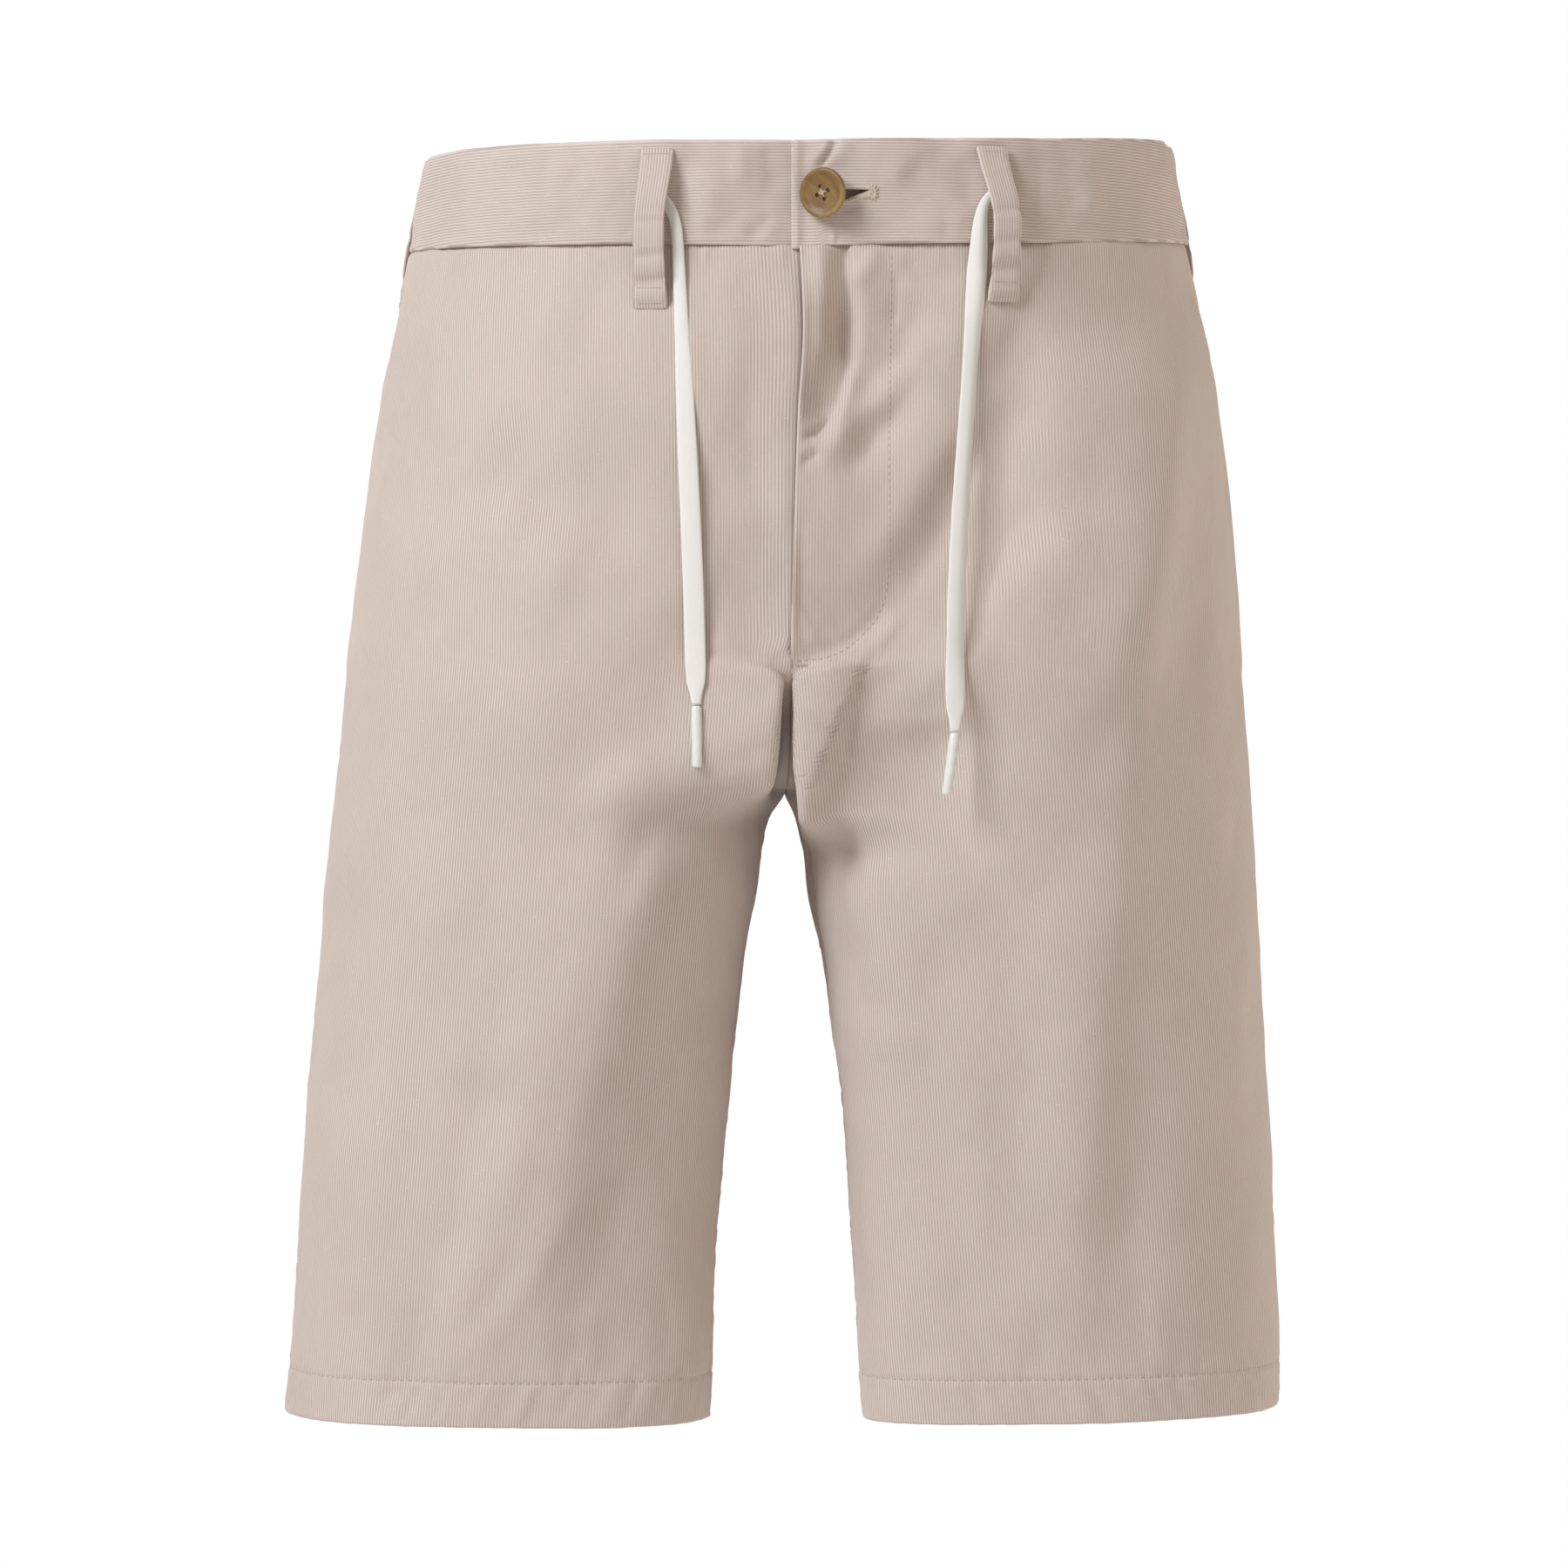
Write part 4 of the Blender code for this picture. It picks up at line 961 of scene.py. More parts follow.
def lay_chart(mesh: bpy.types.Mesh, places: np.ndarray) -> None:
    """Give a mesh its chart, the places of its points on the cut cloth.

    Args:
        mesh: The mesh.
        places: A row of two millimetre values for each point.
    """
    layer = mesh.uv_layers.new(name=CHART)
    corners = np.empty(len(mesh.loops), dtype=np.int32)
    mesh.loops.foreach_get("vertex_index", corners)
    layer.data.foreach_set("uv", (places[corners] * MM).astype(np.float32).ravel())


def link(name: str, points: np.ndarray, faces: Sequence[Sequence[int]], chart: np.ndarray,
         material: bpy.types.Material) -> bpy.types.Object:
    """Make a smooth object from points in millimetres.

    Args:
        name: The piece's name.
        points: One row for each point.
        faces: The corners of each face.
        chart: Places on the cloth in millimetres, one row for each point.
        material: The piece's finish.

    Returns:
        The new object.
    """
    mesh = bpy.data.meshes.new(name)
    mesh.from_pydata((points * MM).tolist(), [], [list(face) for face in faces])
    lay_chart(mesh, chart)
    mesh.materials.append(material)
    mesh.shade_smooth()
    mesh.update()
    return place_object(name, mesh)


def from_shape(name: str, shape: bmesh.types.BMesh, material: bpy.types.Material
               ) -> bpy.types.Object:
    """Turn an edited shape into an object, and free it.

    Args:
        name: The object's name.
        shape: The shape.
        material: Its finish.

    Returns:
        The new object.
    """
    mesh = bpy.data.meshes.new(name)
    shape.to_mesh(mesh)
    shape.free()
    mesh.materials.append(material)
    return place_object(name, mesh)


def cut_away(piece: bpy.types.Object, cutter: bpy.types.Object) -> None:
    """Cut an object's shape out of a piece, and remove the object.

    Args:
        piece: The piece that is cut.
        cutter: The object.
    """
    modifier = piece.modifiers.new("cut", "BOOLEAN")
    modifier.operation = "DIFFERENCE"
    modifier.object = cutter
    graph = bpy.context.evaluated_depsgraph_get()
    made = bpy.data.meshes.new_from_object(piece.evaluated_get(graph))
    piece.modifiers.clear()
    old = piece.data
    piece.data = made
    bpy.data.meshes.remove(old)
    bpy.data.objects.remove(cutter)


def tube_faces(rings: int, sides: int) -> list[list[int]]:
    """Faces of a closed tube of rings of points, with a cap at each end.

    Args:
        rings: How many rings it has.
        sides: How many points each ring has.

    Returns:
        The corners of each face.
    """
    index = np.arange(rings * sides).reshape(rings, sides)
    ahead = np.roll(index, -1, axis=1)
    quads = np.stack([index[:-1], ahead[:-1], ahead[1:], index[1:]], axis=2).reshape(-1, 4)
    return quads.tolist() + [index[0, ::-1].tolist(), index[-1].tolist()]


def grid_normals(points: np.ndarray, outward: np.ndarray) -> np.ndarray:
    """Normals of a grid of points.

    Args:
        points: Rows by columns of points.
        outward: Rough outward directions of the same shape, which choose the side.

    Returns:
        Unit normals of the same shape.
    """
    normals = unit(np.cross(np.gradient(points, axis=1), np.gradient(points, axis=0)))
    facing = (normals * outward).sum(axis=2, keepdims=True)
    return normals * np.where(facing < 0.0, -1.0, 1.0)


@dataclass
class Sheet:
    """A closed thin sheet: an outer and an inner grid of points and a rounded rim."""

    outer: np.ndarray
    inner: np.ndarray
    chart: np.ndarray
    rim_steps: int = 3

    def build(self, name: str, material: bpy.types.Material) -> bpy.types.Object:
        """Make the sheet's object.

        Args:
            name: The piece's name.
            material: The piece's finish.

        Returns:
            The new object.
        """
        rows, columns = self.outer.shape[:2]
        index = np.arange(rows * columns).reshape(rows, columns)
        cells = np.stack([index[:-1, :-1], index[:-1, 1:], index[1:, 1:], index[1:, :-1]],
                         axis=2).reshape(-1, 4)
        row_of = np.concatenate([np.zeros(columns - 1), np.arange(rows - 1),
                                 np.full(columns - 1, rows - 1), np.arange(rows - 1, 0, -1)])
        column_of = np.concatenate([np.arange(columns - 1), np.full(rows - 1, columns - 1),
                                    np.arange(columns - 1, 0, -1), np.zeros(rows - 1)])
        row_of = row_of.astype(int)
        column_of = column_of.astype(int)
        edge = index[row_of, column_of]
        inside = index[np.clip(row_of, 1, rows - 2), np.clip(column_of, 1, columns - 2)]

        outer = self.outer.reshape(-1, 3)
        inner = self.inner.reshape(-1, 3)
        chart = self.chart.reshape(-1, 2)
        middle = 0.5 * (outer + inner)
        through = 0.5 * (outer[edge] - inner[edge])
        out = unit(middle[edge] - middle[inside])
        out = unit(out - unit(through) * (out * unit(through)).sum(axis=1, keepdims=True))
        reach = np.linalg.norm(through, axis=1, keepdims=True)
        points = [outer, inner]
        loops = [edge]
        count = 2 * rows * columns
        for step in range(1, self.rim_steps + 1):
            angle = math.pi * step / (self.rim_steps + 1)
            points.append(middle[edge] + through * math.cos(angle) + out * reach * math.sin(angle))
            loops.append(count + np.arange(len(edge)))
            count += len(edge)
        loops.append(edge + rows * columns)
        faces = [cells, cells[:, ::-1] + rows * columns]
        for here, there in zip(loops, loops[1:]):
            faces.append(np.stack([np.roll(here, -1), here, there, np.roll(there, -1)], axis=1))
        charts = [chart, chart] + [chart[edge]] * self.rim_steps
        all_points = np.vstack(points)
        all_faces = np.vstack(faces)
        if self._volume(all_points, all_faces) < 0.0:
            all_faces = all_faces[:, ::-1]
        return link(name, all_points, all_faces, np.vstack(charts), material)

    def _volume(self, points: np.ndarray, faces: np.ndarray) -> float:
        """Signed volume, which is below zero when the faces point in.

        Args:
            points: The mesh's points.
            faces: The corners of each face.

        Returns:
            The volume.
        """
        first, second, third, fourth = (points[faces[:, corner]] for corner in range(4))
        return float((first * np.cross(second, third)).sum()
                     + (first * np.cross(third, fourth)).sum())


@dataclass(frozen=True)
class Thread:
    """Sewing thread: each stitch is a small rod whose ends sink into the cloth."""

    length: float = 2.3
    gap: float = 0.9
    radius: float = 0.2
    rise: float = 0.16
    sides: int = 6

    PROFILE = ((0.0, 0.3, -1.0), (0.12, 0.9, -0.1), (0.5, 1.0, 1.0), (0.88, 0.9, -0.1),
               (1.0, 0.3, -1.0))                # share of the way, of the radius, of the rise

    def walk(self, line: np.ndarray, normals: np.ndarray) -> np.ndarray:
        """Stitches one after another along a line.

        Args:
            line: Points of the line.
            normals: The cloth's normals there.

        Returns:
            Start, end and normal of each stitch, as an array of shape (count, 3, 3).
        """
        distances = along(line)
        pitch = self.length + self.gap
        starts = np.arange(0.5 * self.gap, distances[-1] - self.length, pitch)
        return np.stack([read_line(line, distances, starts),
                         read_line(line, distances, starts + self.length),
                         read_line(normals, distances, starts + 0.5 * self.length)], axis=1)

    def build(self, name: str, stitches: np.ndarray,
              material: bpy.types.Material) -> bpy.types.Object:
        """Make one joined object of many stitches.

        Args:
            name: The piece's name.
            stitches: Start, end and normal of each stitch.
            material: The thread's finish.

        Returns:
            The new object.
        """
        start, end, normal = stitches[:, 0], stitches[:, 1], unit(stitches[:, 2])
        run = unit(end - start)
        side = unit(np.cross(run, normal))
        up = np.cross(side, run)
        angles = np.arange(self.sides) * 2.0 * math.pi / self.sides
        rings = []
        for way, width, height in self.PROFILE:
            centre = start + (end - start) * way + up * (self.rise * height)
            ring = (centre[:, None] + self.radius * width
                    * (side[:, None] * np.cos(angles)[None, :, None]
                       + up[:, None] * np.sin(angles)[None, :, None]))
            rings.append(ring)
        points = np.stack(rings, axis=1).reshape(-1, 3)
        rod = tube_faces(len(self.PROFILE), self.sides)
        firsts = range(0, len(points), len(self.PROFILE) * self.sides)
        faces = [[first + corner for corner in face] for first in firsts for face in rod]
        return link(name, points, faces, points[:, [0, 2]], material)


class Probe:
    """Finds the cloth straight before or behind a place of the front view."""

    START = 400.0                       # the rays start this far from the middle

    def __init__(self, pieces: Sequence[bpy.types.Object]) -> None:
        """Keep a search tree for each piece."""
        graph = bpy.context.evaluated_depsgraph_get()
        self.trees = [BVHTree.FromObject(piece, graph) for piece in pieces]

    def touch(self, x: float, z: float, face: Face = Face.FRONT) -> tuple[np.ndarray, np.ndarray]:
        """The first cloth met at a place.

        Args:
            x: Place across.
            z: Height.
            face: Which side is looked at.

        Returns:
            The point and its normal.
        """
        origin = Vector((x, face.value * self.START, z)) * MM
        ray = Vector((0.0, -face.value, 0.0))
        best = None
        for tree in self.trees:
            spot, normal, _, distance = tree.ray_cast(origin, ray)
            if spot is not None and (best is None or distance < best[2]):
                best = (spot, normal, distance)
        if best is None:
            raise ValueError(f"no cloth at x {x:.1f}, z {z:.1f}")
        return np.array(best[0]) / MM, np.array(best[1])

    def line(self, places: Sequence[tuple[float, float]],
             step: float = 1.0) -> tuple[np.ndarray, np.ndarray]:
        """A line laid on the cloth's front through places of the front view.

        Args:
            places: Pairs of x and z.
            step: Distance between the line's points.

        Returns:
            The points and their normals.
        """
        rough = np.array(places, dtype=float)
        distances = along(rough)
        count = max(int(distances[-1] / step), 2)
        fine = read_line(rough, distances, np.linspace(0.0, distances[-1], count + 1))
        found = [self.touch(x, z) for x, z in fine]
        return np.array([item[0] for item in found]), np.array([item[1] for item in found])


# ---------------------------------------------------------------- shaders


class Value:
    """A shader socket that can be used in sums: each operator adds a Math node."""

    def __init__(self, graph: "ShaderGraph", socket: bpy.types.NodeSocket) -> None:
        """Keep the socket and the graph that it belongs to."""
        self.graph = graph
        self.socket = socket

    def _math(self, operation: str, *values: Union["Value", float]) -> "Value":
        """Add a Math node over this and other values.

        Args:
            operation: The node's operation.
            values: What goes into it.

        Returns:
            What the node gives.
        """
        inputs = dict(enumerate(values))
        node = self.graph.node("ShaderNodeMath", {"operation": operation}, inputs)
        return Value(self.graph, node.outputs[0])

    def __add__(self, other: Union["Value", float]) -> "Value":
        """This plus another."""
        return self._math("ADD", self, other)

    __radd__ = __add__

    def __mul__(self, other: Union["Value", float]) -> "Value":
        """This times another."""
        return self._math("MULTIPLY", self, other)

    __rmul__ = __mul__

    def __sub__(self, other: Union["Value", float]) -> "Value":
        """This less another."""
        return self._math("SUBTRACT", self, other)

    def __rsub__(self, other: Union["Value", float]) -> "Value":
        """Another less this."""
        return self._math("SUBTRACT", other, self)

    def sine(self) -> "Value":
        """The sine of this angle in radians."""
        return self._math("SINE", self)

    def distance(self, other: "Value") -> "Value":
        """The length of the vector that this and another span."""
        return self._math("SQRT", self * self + other * other)

    def ramp(self, low: float, high: float) -> "Value":
        """Ease from 0 at low to 1 at high.

        Args:
            low: Where the ease begins.
            high: Where it ends.

        Returns:
            The eased value.
        """
        settings = {"interpolation_type": "SMOOTHSTEP"}
        inputs = {"Value": self, "From Min": low, "From Max": high}
        node = self.graph.node("ShaderNodeMapRange", settings, inputs)
        return Value(self.graph, node.outputs[0])


class ShaderGraph:
    """The nodes of one material or of the world."""

    def __init__(self, owner: Union[bpy.types.Material, bpy.types.World]) -> None:
        """Start with an empty tree.

        Args:
            owner: The material or the world.
        """
        owner.use_nodes = True
        self.owner = owner
        self.tree = owner.node_tree
        self.tree.nodes.clear()

    def node(self, kind: str, settings: dict, inputs: dict) -> bpy.types.Node:
        """Add a node.

        Args:
            kind: The node's type.
            settings: Its settings, set before its sockets. "stops" are a ramp's stops.
            inputs: Values or links by socket name or number.

        Returns:
            The new node.
        """
        node = self.tree.nodes.new(kind)
        for name, setting in settings.items():
            if name == "stops":
                elements = node.color_ramp.elements
                while len(elements) < len(setting):
                    elements.new(0.5)
                for element, (position, colour) in zip(elements, setting):
                    element.position = position
                    element.color = (*colour, 1.0)
            else:
                setattr(node, name, setting)
        for name, value in inputs.items():
            socket = node.inputs[name]
            if isinstance(value, Value):
                self.tree.links.new(value.socket, socket)
            elif isinstance(value, bpy.types.NodeSocket):
                self.tree.links.new(value, socket)
            elif isinstance(value, tuple) and len(value) == 3 and socket.type == "RGBA":
                socket.default_value = (*value, 1.0)
            else:
                socket.default_value = value
        return node

    def chart(self) -> tuple[Value, Value]:
        """Places on the cut cloth in millimetres, across the stripes and along them.

        Returns:
            The two places.
        """
        node = self.node("ShaderNodeUVMap", {"uv_map": CHART}, {})
        parts = self.node("ShaderNodeSeparateXYZ", {}, {0: node.outputs[0]})
        return (Value(self, parts.outputs[0]) * (1.0 / MM),
                Value(self, parts.outputs[1]) * (1.0 / MM))

    def place(self, across: Union[Value, float], along_it: Union[Value, float],
              third: Union[Value, float] = 0.0) -> bpy.types.NodeSocket:
        """A vector from three values."""
        node = self.node("ShaderNodeCombineXYZ", {}, {0: across, 1: along_it, 2: third})
        return node.outputs[0]

    def noise(self, vector: bpy.types.NodeSocket, scale: float, detail: float = 2.0) -> Value:
        """A noise between 0 and 1 over a vector.

        Args:
            vector: The vector.
            scale: The noise's scale.
            detail: Its detail.

        Returns:
            The noise.
        """
        inputs = {"Vector": vector, "Scale": scale, "Detail": detail}
        node = self.node("ShaderNodeTexNoise", {}, inputs)
        return Value(self, node.outputs[0])

    def blend(self, factor: Union[Value, float], first: Union[Colour, bpy.types.NodeSocket],
              second: Union[Colour, bpy.types.NodeSocket], way: str = "MIX"
              ) -> bpy.types.NodeSocket:
        """Mix two colours.

        Args:
            factor: Share of the second.
            first: The first colour.
            second: The second colour.
            way: The Mix node's blend type.

        Returns:
            The mixed colour's socket.
        """
        settings = {"data_type": "RGBA", "blend_type": way}
        node = self.node("ShaderNodeMix", settings, {0: factor, 6: first, 7: second})
        return node.outputs[2]

    def grey(self, value: Value) -> bpy.types.NodeSocket:
        """A grey colour as strong as a value."""
        node = self.node("ShaderNodeCombineColor", {}, {0: value, 1: value, 2: value})
        return node.outputs[0]

    def relief(self, height: Value, distance: float, strength: float = 1.0
               ) -> bpy.types.NodeSocket:
        """A bumped normal.

        Args:
            height: Height between about 0 and 1.
            distance: What a height of 1 is, in millimetres.
            strength: Share of the bump.

        Returns:
            The normal's socket.
        """
        inputs = {"Height": height, "Distance": distance * MM, "Strength": strength}
        return self.node("ShaderNodeBump", {}, inputs).outputs[0]

    def finish(self, inputs: dict) -> bpy.types.Material:
        """Close the graph with a Principled shader.

        Args:
            inputs: Values or links of the shader's sockets.

        Returns:
            The material.
        """
        shader = self.node("ShaderNodeBsdfPrincipled", {}, inputs)
        self.node("ShaderNodeOutputMaterial", {}, {"Surface": shader.outputs[0]})
        return self.owner


@dataclass(frozen=True)
class StripedCotton:
    """Yarn-dyed cotton with hairline stripes along its warp and pale slubs."""

    name: str = "striped_cotton"
    pitch: float = 1.2                  # one light and one dark stripe
    light: Colour = (0.672, 0.573, 0.522)
    dark: Colour = (0.451, 0.368, 0.322)
    slub: Colour = (0.74, 0.665, 0.61)
    roughness: float = 0.88

    def build(self) -> bpy.types.Material:
        """Make the material.

        Returns:
            The material.
        """
        graph = ShaderGraph(bpy.data.materials.new(self.name))
        across, down = graph.chart()
        drift = graph.noise(graph.place(across * 0.02, down * 0.006), 1.0)
        angle = (across + drift * 0.5) * (2.0 * math.pi / self.pitch)
        stripe = angle.sine().ramp(-0.65, 0.65)
        yarn = graph.noise(graph.place(across * 3.4, down * 0.11), 1.0, 1.0)
        weft = graph.noise(graph.place(across * 0.16, down * 3.2), 1.0, 1.0)
        fleck = graph.noise(graph.place(across * 1.5, down * 1.5, 3.0), 1.0, 3.0)
        cloud = graph.noise(graph.place(across * 0.025, down * 0.02, 7.0), 1.0, 2.0)
        slub = graph.noise(graph.place(across * 0.34, down * 2.3, 9.0), 1.0, 2.0).ramp(0.66, 0.72)
        dot = graph.noise(graph.place(across * 0.9, down * 1.1, 5.0), 1.0, 0.0).ramp(0.78, 0.83)

        level = (stripe * 0.80 + (yarn - 0.5) * 0.5 + (weft - 0.5) * 0.12 + 0.08)
        base = graph.blend(level, self.dark, self.light)
        shade = fleck * 0.07 + cloud * 0.12 + 0.905
        base = graph.blend(1.0, base, graph.grey(shade), "MULTIPLY")
        base = graph.blend(slub * 0.34, base, self.slub)
        base = graph.blend(dot * 0.5, base, self.slub)
        height = stripe * 0.5 + fleck * 0.22 + yarn * 0.2 + slub * 0.4 + dot * 0.4
        return graph.finish({
            "Base Color": base, "Roughness": self.roughness, "Specular IOR Level": 0.25,
            "Sheen Weight": 0.12, "Sheen Roughness": 0.5,
            "Normal": graph.relief(height, 0.09, 0.8)})


@dataclass(frozen=True)
class CordCotton:
    """Flat woven cord, off-white, with a fine slanting rib."""

    name: str = "cord_cotton"
    colour: Colour = (0.865, 0.85, 0.815)
    shade: Colour = (0.775, 0.755, 0.715)
    rib: float = 0.55

    def build(self) -> bpy.types.Material:
        """Make the material.

        Returns:
            The material.
        """
        graph = ShaderGraph(bpy.data.materials.new(self.name))
        across, down = graph.chart()
        turn = 2.0 * math.pi / self.rib
        rib = ((down + across * 0.6) * turn).sine() * 0.5 + 0.5
        cross = ((down - across * 0.6) * turn).sine() * 0.5 + 0.5
        fluff = graph.noise(graph.place(across * 1.6, down * 1.6), 1.0, 3.0)
        weave = rib * cross
        base = graph.blend(weave * 0.45 + fluff * 0.5, self.shade, self.colour)
        return graph.finish({
            "Base Color": base, "Roughness": 0.82, "Specular IOR Level": 0.3,
            "Sheen Weight": 0.15, "Sheen Roughness": 0.5,
            "Normal": graph.relief(weave + fluff * 0.4, 0.08, 0.7)})


@dataclass(frozen=True)
class AgletFilm:
    """Clear film rolled tightly round the cord's end, which shows white through it."""

    name: str = "aglet_film"
    colour: Colour = (0.83, 0.83, 0.79)
    shade: Colour = (0.70, 0.70, 0.65)

    def build(self) -> bpy.types.Material:
        """Make the material.

        Returns:
            The material.
        """
        graph = ShaderGraph(bpy.data.materials.new(self.name))
        across, down = graph.chart()
        weave = graph.noise(graph.place(across * 0.9, down * 0.35), 1.0, 2.0)
        base = graph.blend(weave, self.shade, self.colour)
        return graph.finish({
            "Base Color": base, "Roughness": 0.32, "Coat Weight": 0.5, "Coat Roughness": 0.15,
            "Specular IOR Level": 0.5, "Normal": graph.relief(weave, 0.12, 0.5)})


@dataclass(frozen=True)
class ButtonHorn:
    """Honey-brown horn with a cloudy grain, its thin rim painted paler as painted light, most at the
    lower right.
    """

    name: str = "button_horn"
    deep: Colour = (0.070, 0.036, 0.012)
    body: Colour = (0.168, 0.088, 0.025)
    pale: Colour = (0.360, 0.250, 0.100)
    radius: float = 10.2

    def build(self) -> bpy.types.Material:
        """Make the material.

        Returns:
            The material.
        """
        graph = ShaderGraph(bpy.data.materials.new(self.name))
        across, up = graph.chart()
        out = across.distance(up)
        grain = graph.noise(graph.place(across * 0.30 + up * 0.22, up * 0.09 - across * 0.05),
                            1.0, 3.0)
        streak = graph.noise(graph.place(across * 0.10, up * 0.42 + across * 0.18, 4.0),
                             1.0, 2.0).ramp(0.52, 0.70)
        base = graph.blend(grain.ramp(0.2, 0.9) * 0.45, self.body, self.pale)
        base = graph.blend(streak * 0.28, base, self.deep)
        # painted light: the rim is painted paler, a little all round and most towards its lower
        # right, where light shows through the raised edge; thin is the mask of that lower right side
        rim = out.ramp(0.72 * self.radius, 0.98 * self.radius)
        thin = (across - up).ramp(0.35 * self.radius, 1.3 * self.radius)
        base = graph.blend(rim * (thin * 0.75 + 0.12), base, self.pale)
        return graph.finish({
            "Base Color": base, "Roughness": 0.45, "Coat Weight": 0.1, "Coat Roughness": 0.3,
            "Specular IOR Level": 0.3, "Normal": graph.relief(grain, 0.1, 0.4)})


@dataclass(frozen=True)
class SewingThread:
    """Twisted polyester thread."""

    name: str
    colour: Colour
    shade: Colour
    twist: float = 0.5

    def build(self) -> bpy.types.Material:
        """Make the material.

        Returns:
            The material.
        """
        graph = ShaderGraph(bpy.data.materials.new(self.name))
        across, down = graph.chart()
        strand = ((across + down) * (2.0 * math.pi / self.twist)).sine() * 0.5 + 0.5
        return graph.finish({
            "Base Color": graph.blend(strand, self.shade, self.colour), "Roughness": 0.6,
            "Specular IOR Level": 0.4, "Normal": graph.relief(strand, 0.05, 0.6)})


@dataclass(frozen=True)
class StudioPaper:
    """The floor's pale matt paper."""

    name: str = "studio_paper"
    colour: Colour = (0.86, 0.86, 0.86)

    def build(self) -> bpy.types.Material:
        """Make the material.

        Returns:
            The material.
        """
        graph = ShaderGraph(bpy.data.materials.new(self.name))
        texture = graph.node("ShaderNodeTexCoord", {}, {})
        mottle = graph.noise(texture.outputs["Object"], 2.0, 2.0)
        base = graph.blend(mottle * 0.06, self.colour, (0.80, 0.80, 0.80))
        return graph.finish({"Base Color": base, "Roughness": 0.9})


@dataclass
class Finishes:
    """Every finish, made once."""

    def __post_init__(self) -> None:
        """Make the materials."""
        self.cotton = StripedCotton().build()
        self.cord = CordCotton().build()
        self.film = AgletFilm().build()
        self.horn = ButtonHorn().build()
        self.thread = SewingThread("thread_beige", (0.60, 0.515, 0.45), (0.47, 0.39, 0.335)).build()
        self.silk = SewingThread("thread_pale", (0.70, 0.61, 0.52), (0.53, 0.44, 0.365)).build()
        self.twine = SewingThread("thread_straw", (0.62, 0.50, 0.33), (0.42, 0.32, 0.18)).build()


# ---------------------------------------------------------------- the studio


class SoftLight(NamedTuple):
    """A rectangular light: its place in millimetres, size in metres, watts and colour."""

    name: str
    place: tuple[float, float, float]
    size: tuple[float, float]
    power: float
    colour: Colour


@dataclass
class Studio:
    """Plain soft light, a pale floor far below and the camera straight in front."""

    lights: tuple[SoftLight, ...] = (
        SoftLight("key_light", (-1750.0, -1850.0, 1500.0), (1.3, 1.3), 80.0, (0.87, 0.925, 0.985)),
        SoftLight("fill_light", (1900.0, -1500.0, 300.0), (1.6, 1.8), 7.2, (1.0, 0.94, 0.87)),
        SoftLight("right_light", (2300.0, 900.0, 100.0), (1.2, 1.8), 19.0, (1.0, 0.96, 0.92)),
        SoftLight("back_light", (-900.0, 2300.0, 700.0), (1.6, 1.6), 30.0, (1.0, 0.97, 0.94)),
    )
    target: tuple[float, float, float] = (0.0, 0.0, -230.0)     # what the lights point at
    camera_x: float = -2.2
    camera_z: float = -240.0
    distance: float = 2600.0
    lens: float = 140.5
    sensor: float = 36.0
    floor_z: float = -930.0
    floor_radius: float = 2600.0
    sky: float = 0.365
    sky_colour: Colour = (1.0, 0.875, 0.745)

    def build(self) -> None:
        """Make the camera, the lights, the world and the floor."""
        self._camera()
        self._world()
        for light in self.lights:
            self._light(light)
        self._floor()
        bpy.context.scene.view_settings.view_transform = "Standard"
        bpy.context.scene.view_settings.look = "None"

    def _camera(self) -> None:
        """The camera, level with the middle of the shorts."""
        data = bpy.data.cameras.new("camera")
        data.lens = self.lens
        data.sensor_width = self.sensor
        camera = place_object("camera", data)
        camera.location = Vector((self.camera_x, -self.distance, self.camera_z)) * MM
        camera.rotation_euler = (math.radians(90.0), 0.0, 0.0)
        bpy.context.scene.camera = camera

    def _world(self) -> None:
        """White paper all round, which lights the shorts less than it shows."""
        graph = ShaderGraph(bpy.data.worlds.new("studio"))
        sky = graph.node("ShaderNodeBackground", {},
                         {"Color": self.sky_colour, "Strength": self.sky})
        paper = graph.node("ShaderNodeBackground", {}, {"Color": (1.0, 1.0, 1.0)})
        seen = graph.node("ShaderNodeLightPath", {}, {})
        shown = {0: seen.outputs["Is Camera Ray"], 1: sky.outputs[0], 2: paper.outputs[0]}
        mix = graph.node("ShaderNodeMixShader", {}, shown)
        graph.node("ShaderNodeOutputWorld", {}, {"Surface": mix.outputs[0]})
        bpy.context.scene.world = graph.owner

    def _light(self, light: SoftLight) -> None:
        """Set up one light.

        Args:
            light: The light.
        """
        data = bpy.data.lights.new(light.name, "AREA")
        data.shape = "RECTANGLE"
        data.size, data.size_y = light.size
        data.energy = light.power
        data.color = light.colour
        lamp = place_object(light.name, data)
        lamp.location = Vector(light.place) * MM
        aim = Vector(self.target) - Vector(light.place)
        lamp.rotation_euler = aim.to_track_quat("-Z", "Y").to_euler()

    def _floor(self) -> None:
        """A wide round floor, below the view from the front."""
        shape = bmesh.new()
        bmesh.ops.create_circle(shape, cap_ends=True, segments=96, radius=self.floor_radius * MM)
        floor = from_shape("floor", shape, StudioPaper().build())
        floor.location = (0.0, 0.0, self.floor_z * MM)


# ---------------------------------------------------------------- the pieces


def dress(piece: bpy.types.Object, slot: str, *nodes: str) -> bpy.types.Object:
    """Let a piece ride on the shorts and hide the solids that it stands for.

    Args:
        piece: The piece.
        slot: Name of a material slot; not used.
        nodes: The solids that it stands for.

    Returns:
        The piece.
    """
    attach(piece, BODY)
    if nodes:
        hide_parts(*nodes)
    return piece


def side_word(side: Side) -> str:
    """The wearer's side in a node's name."""
    return "left" if side is Side.LEFT else "right"


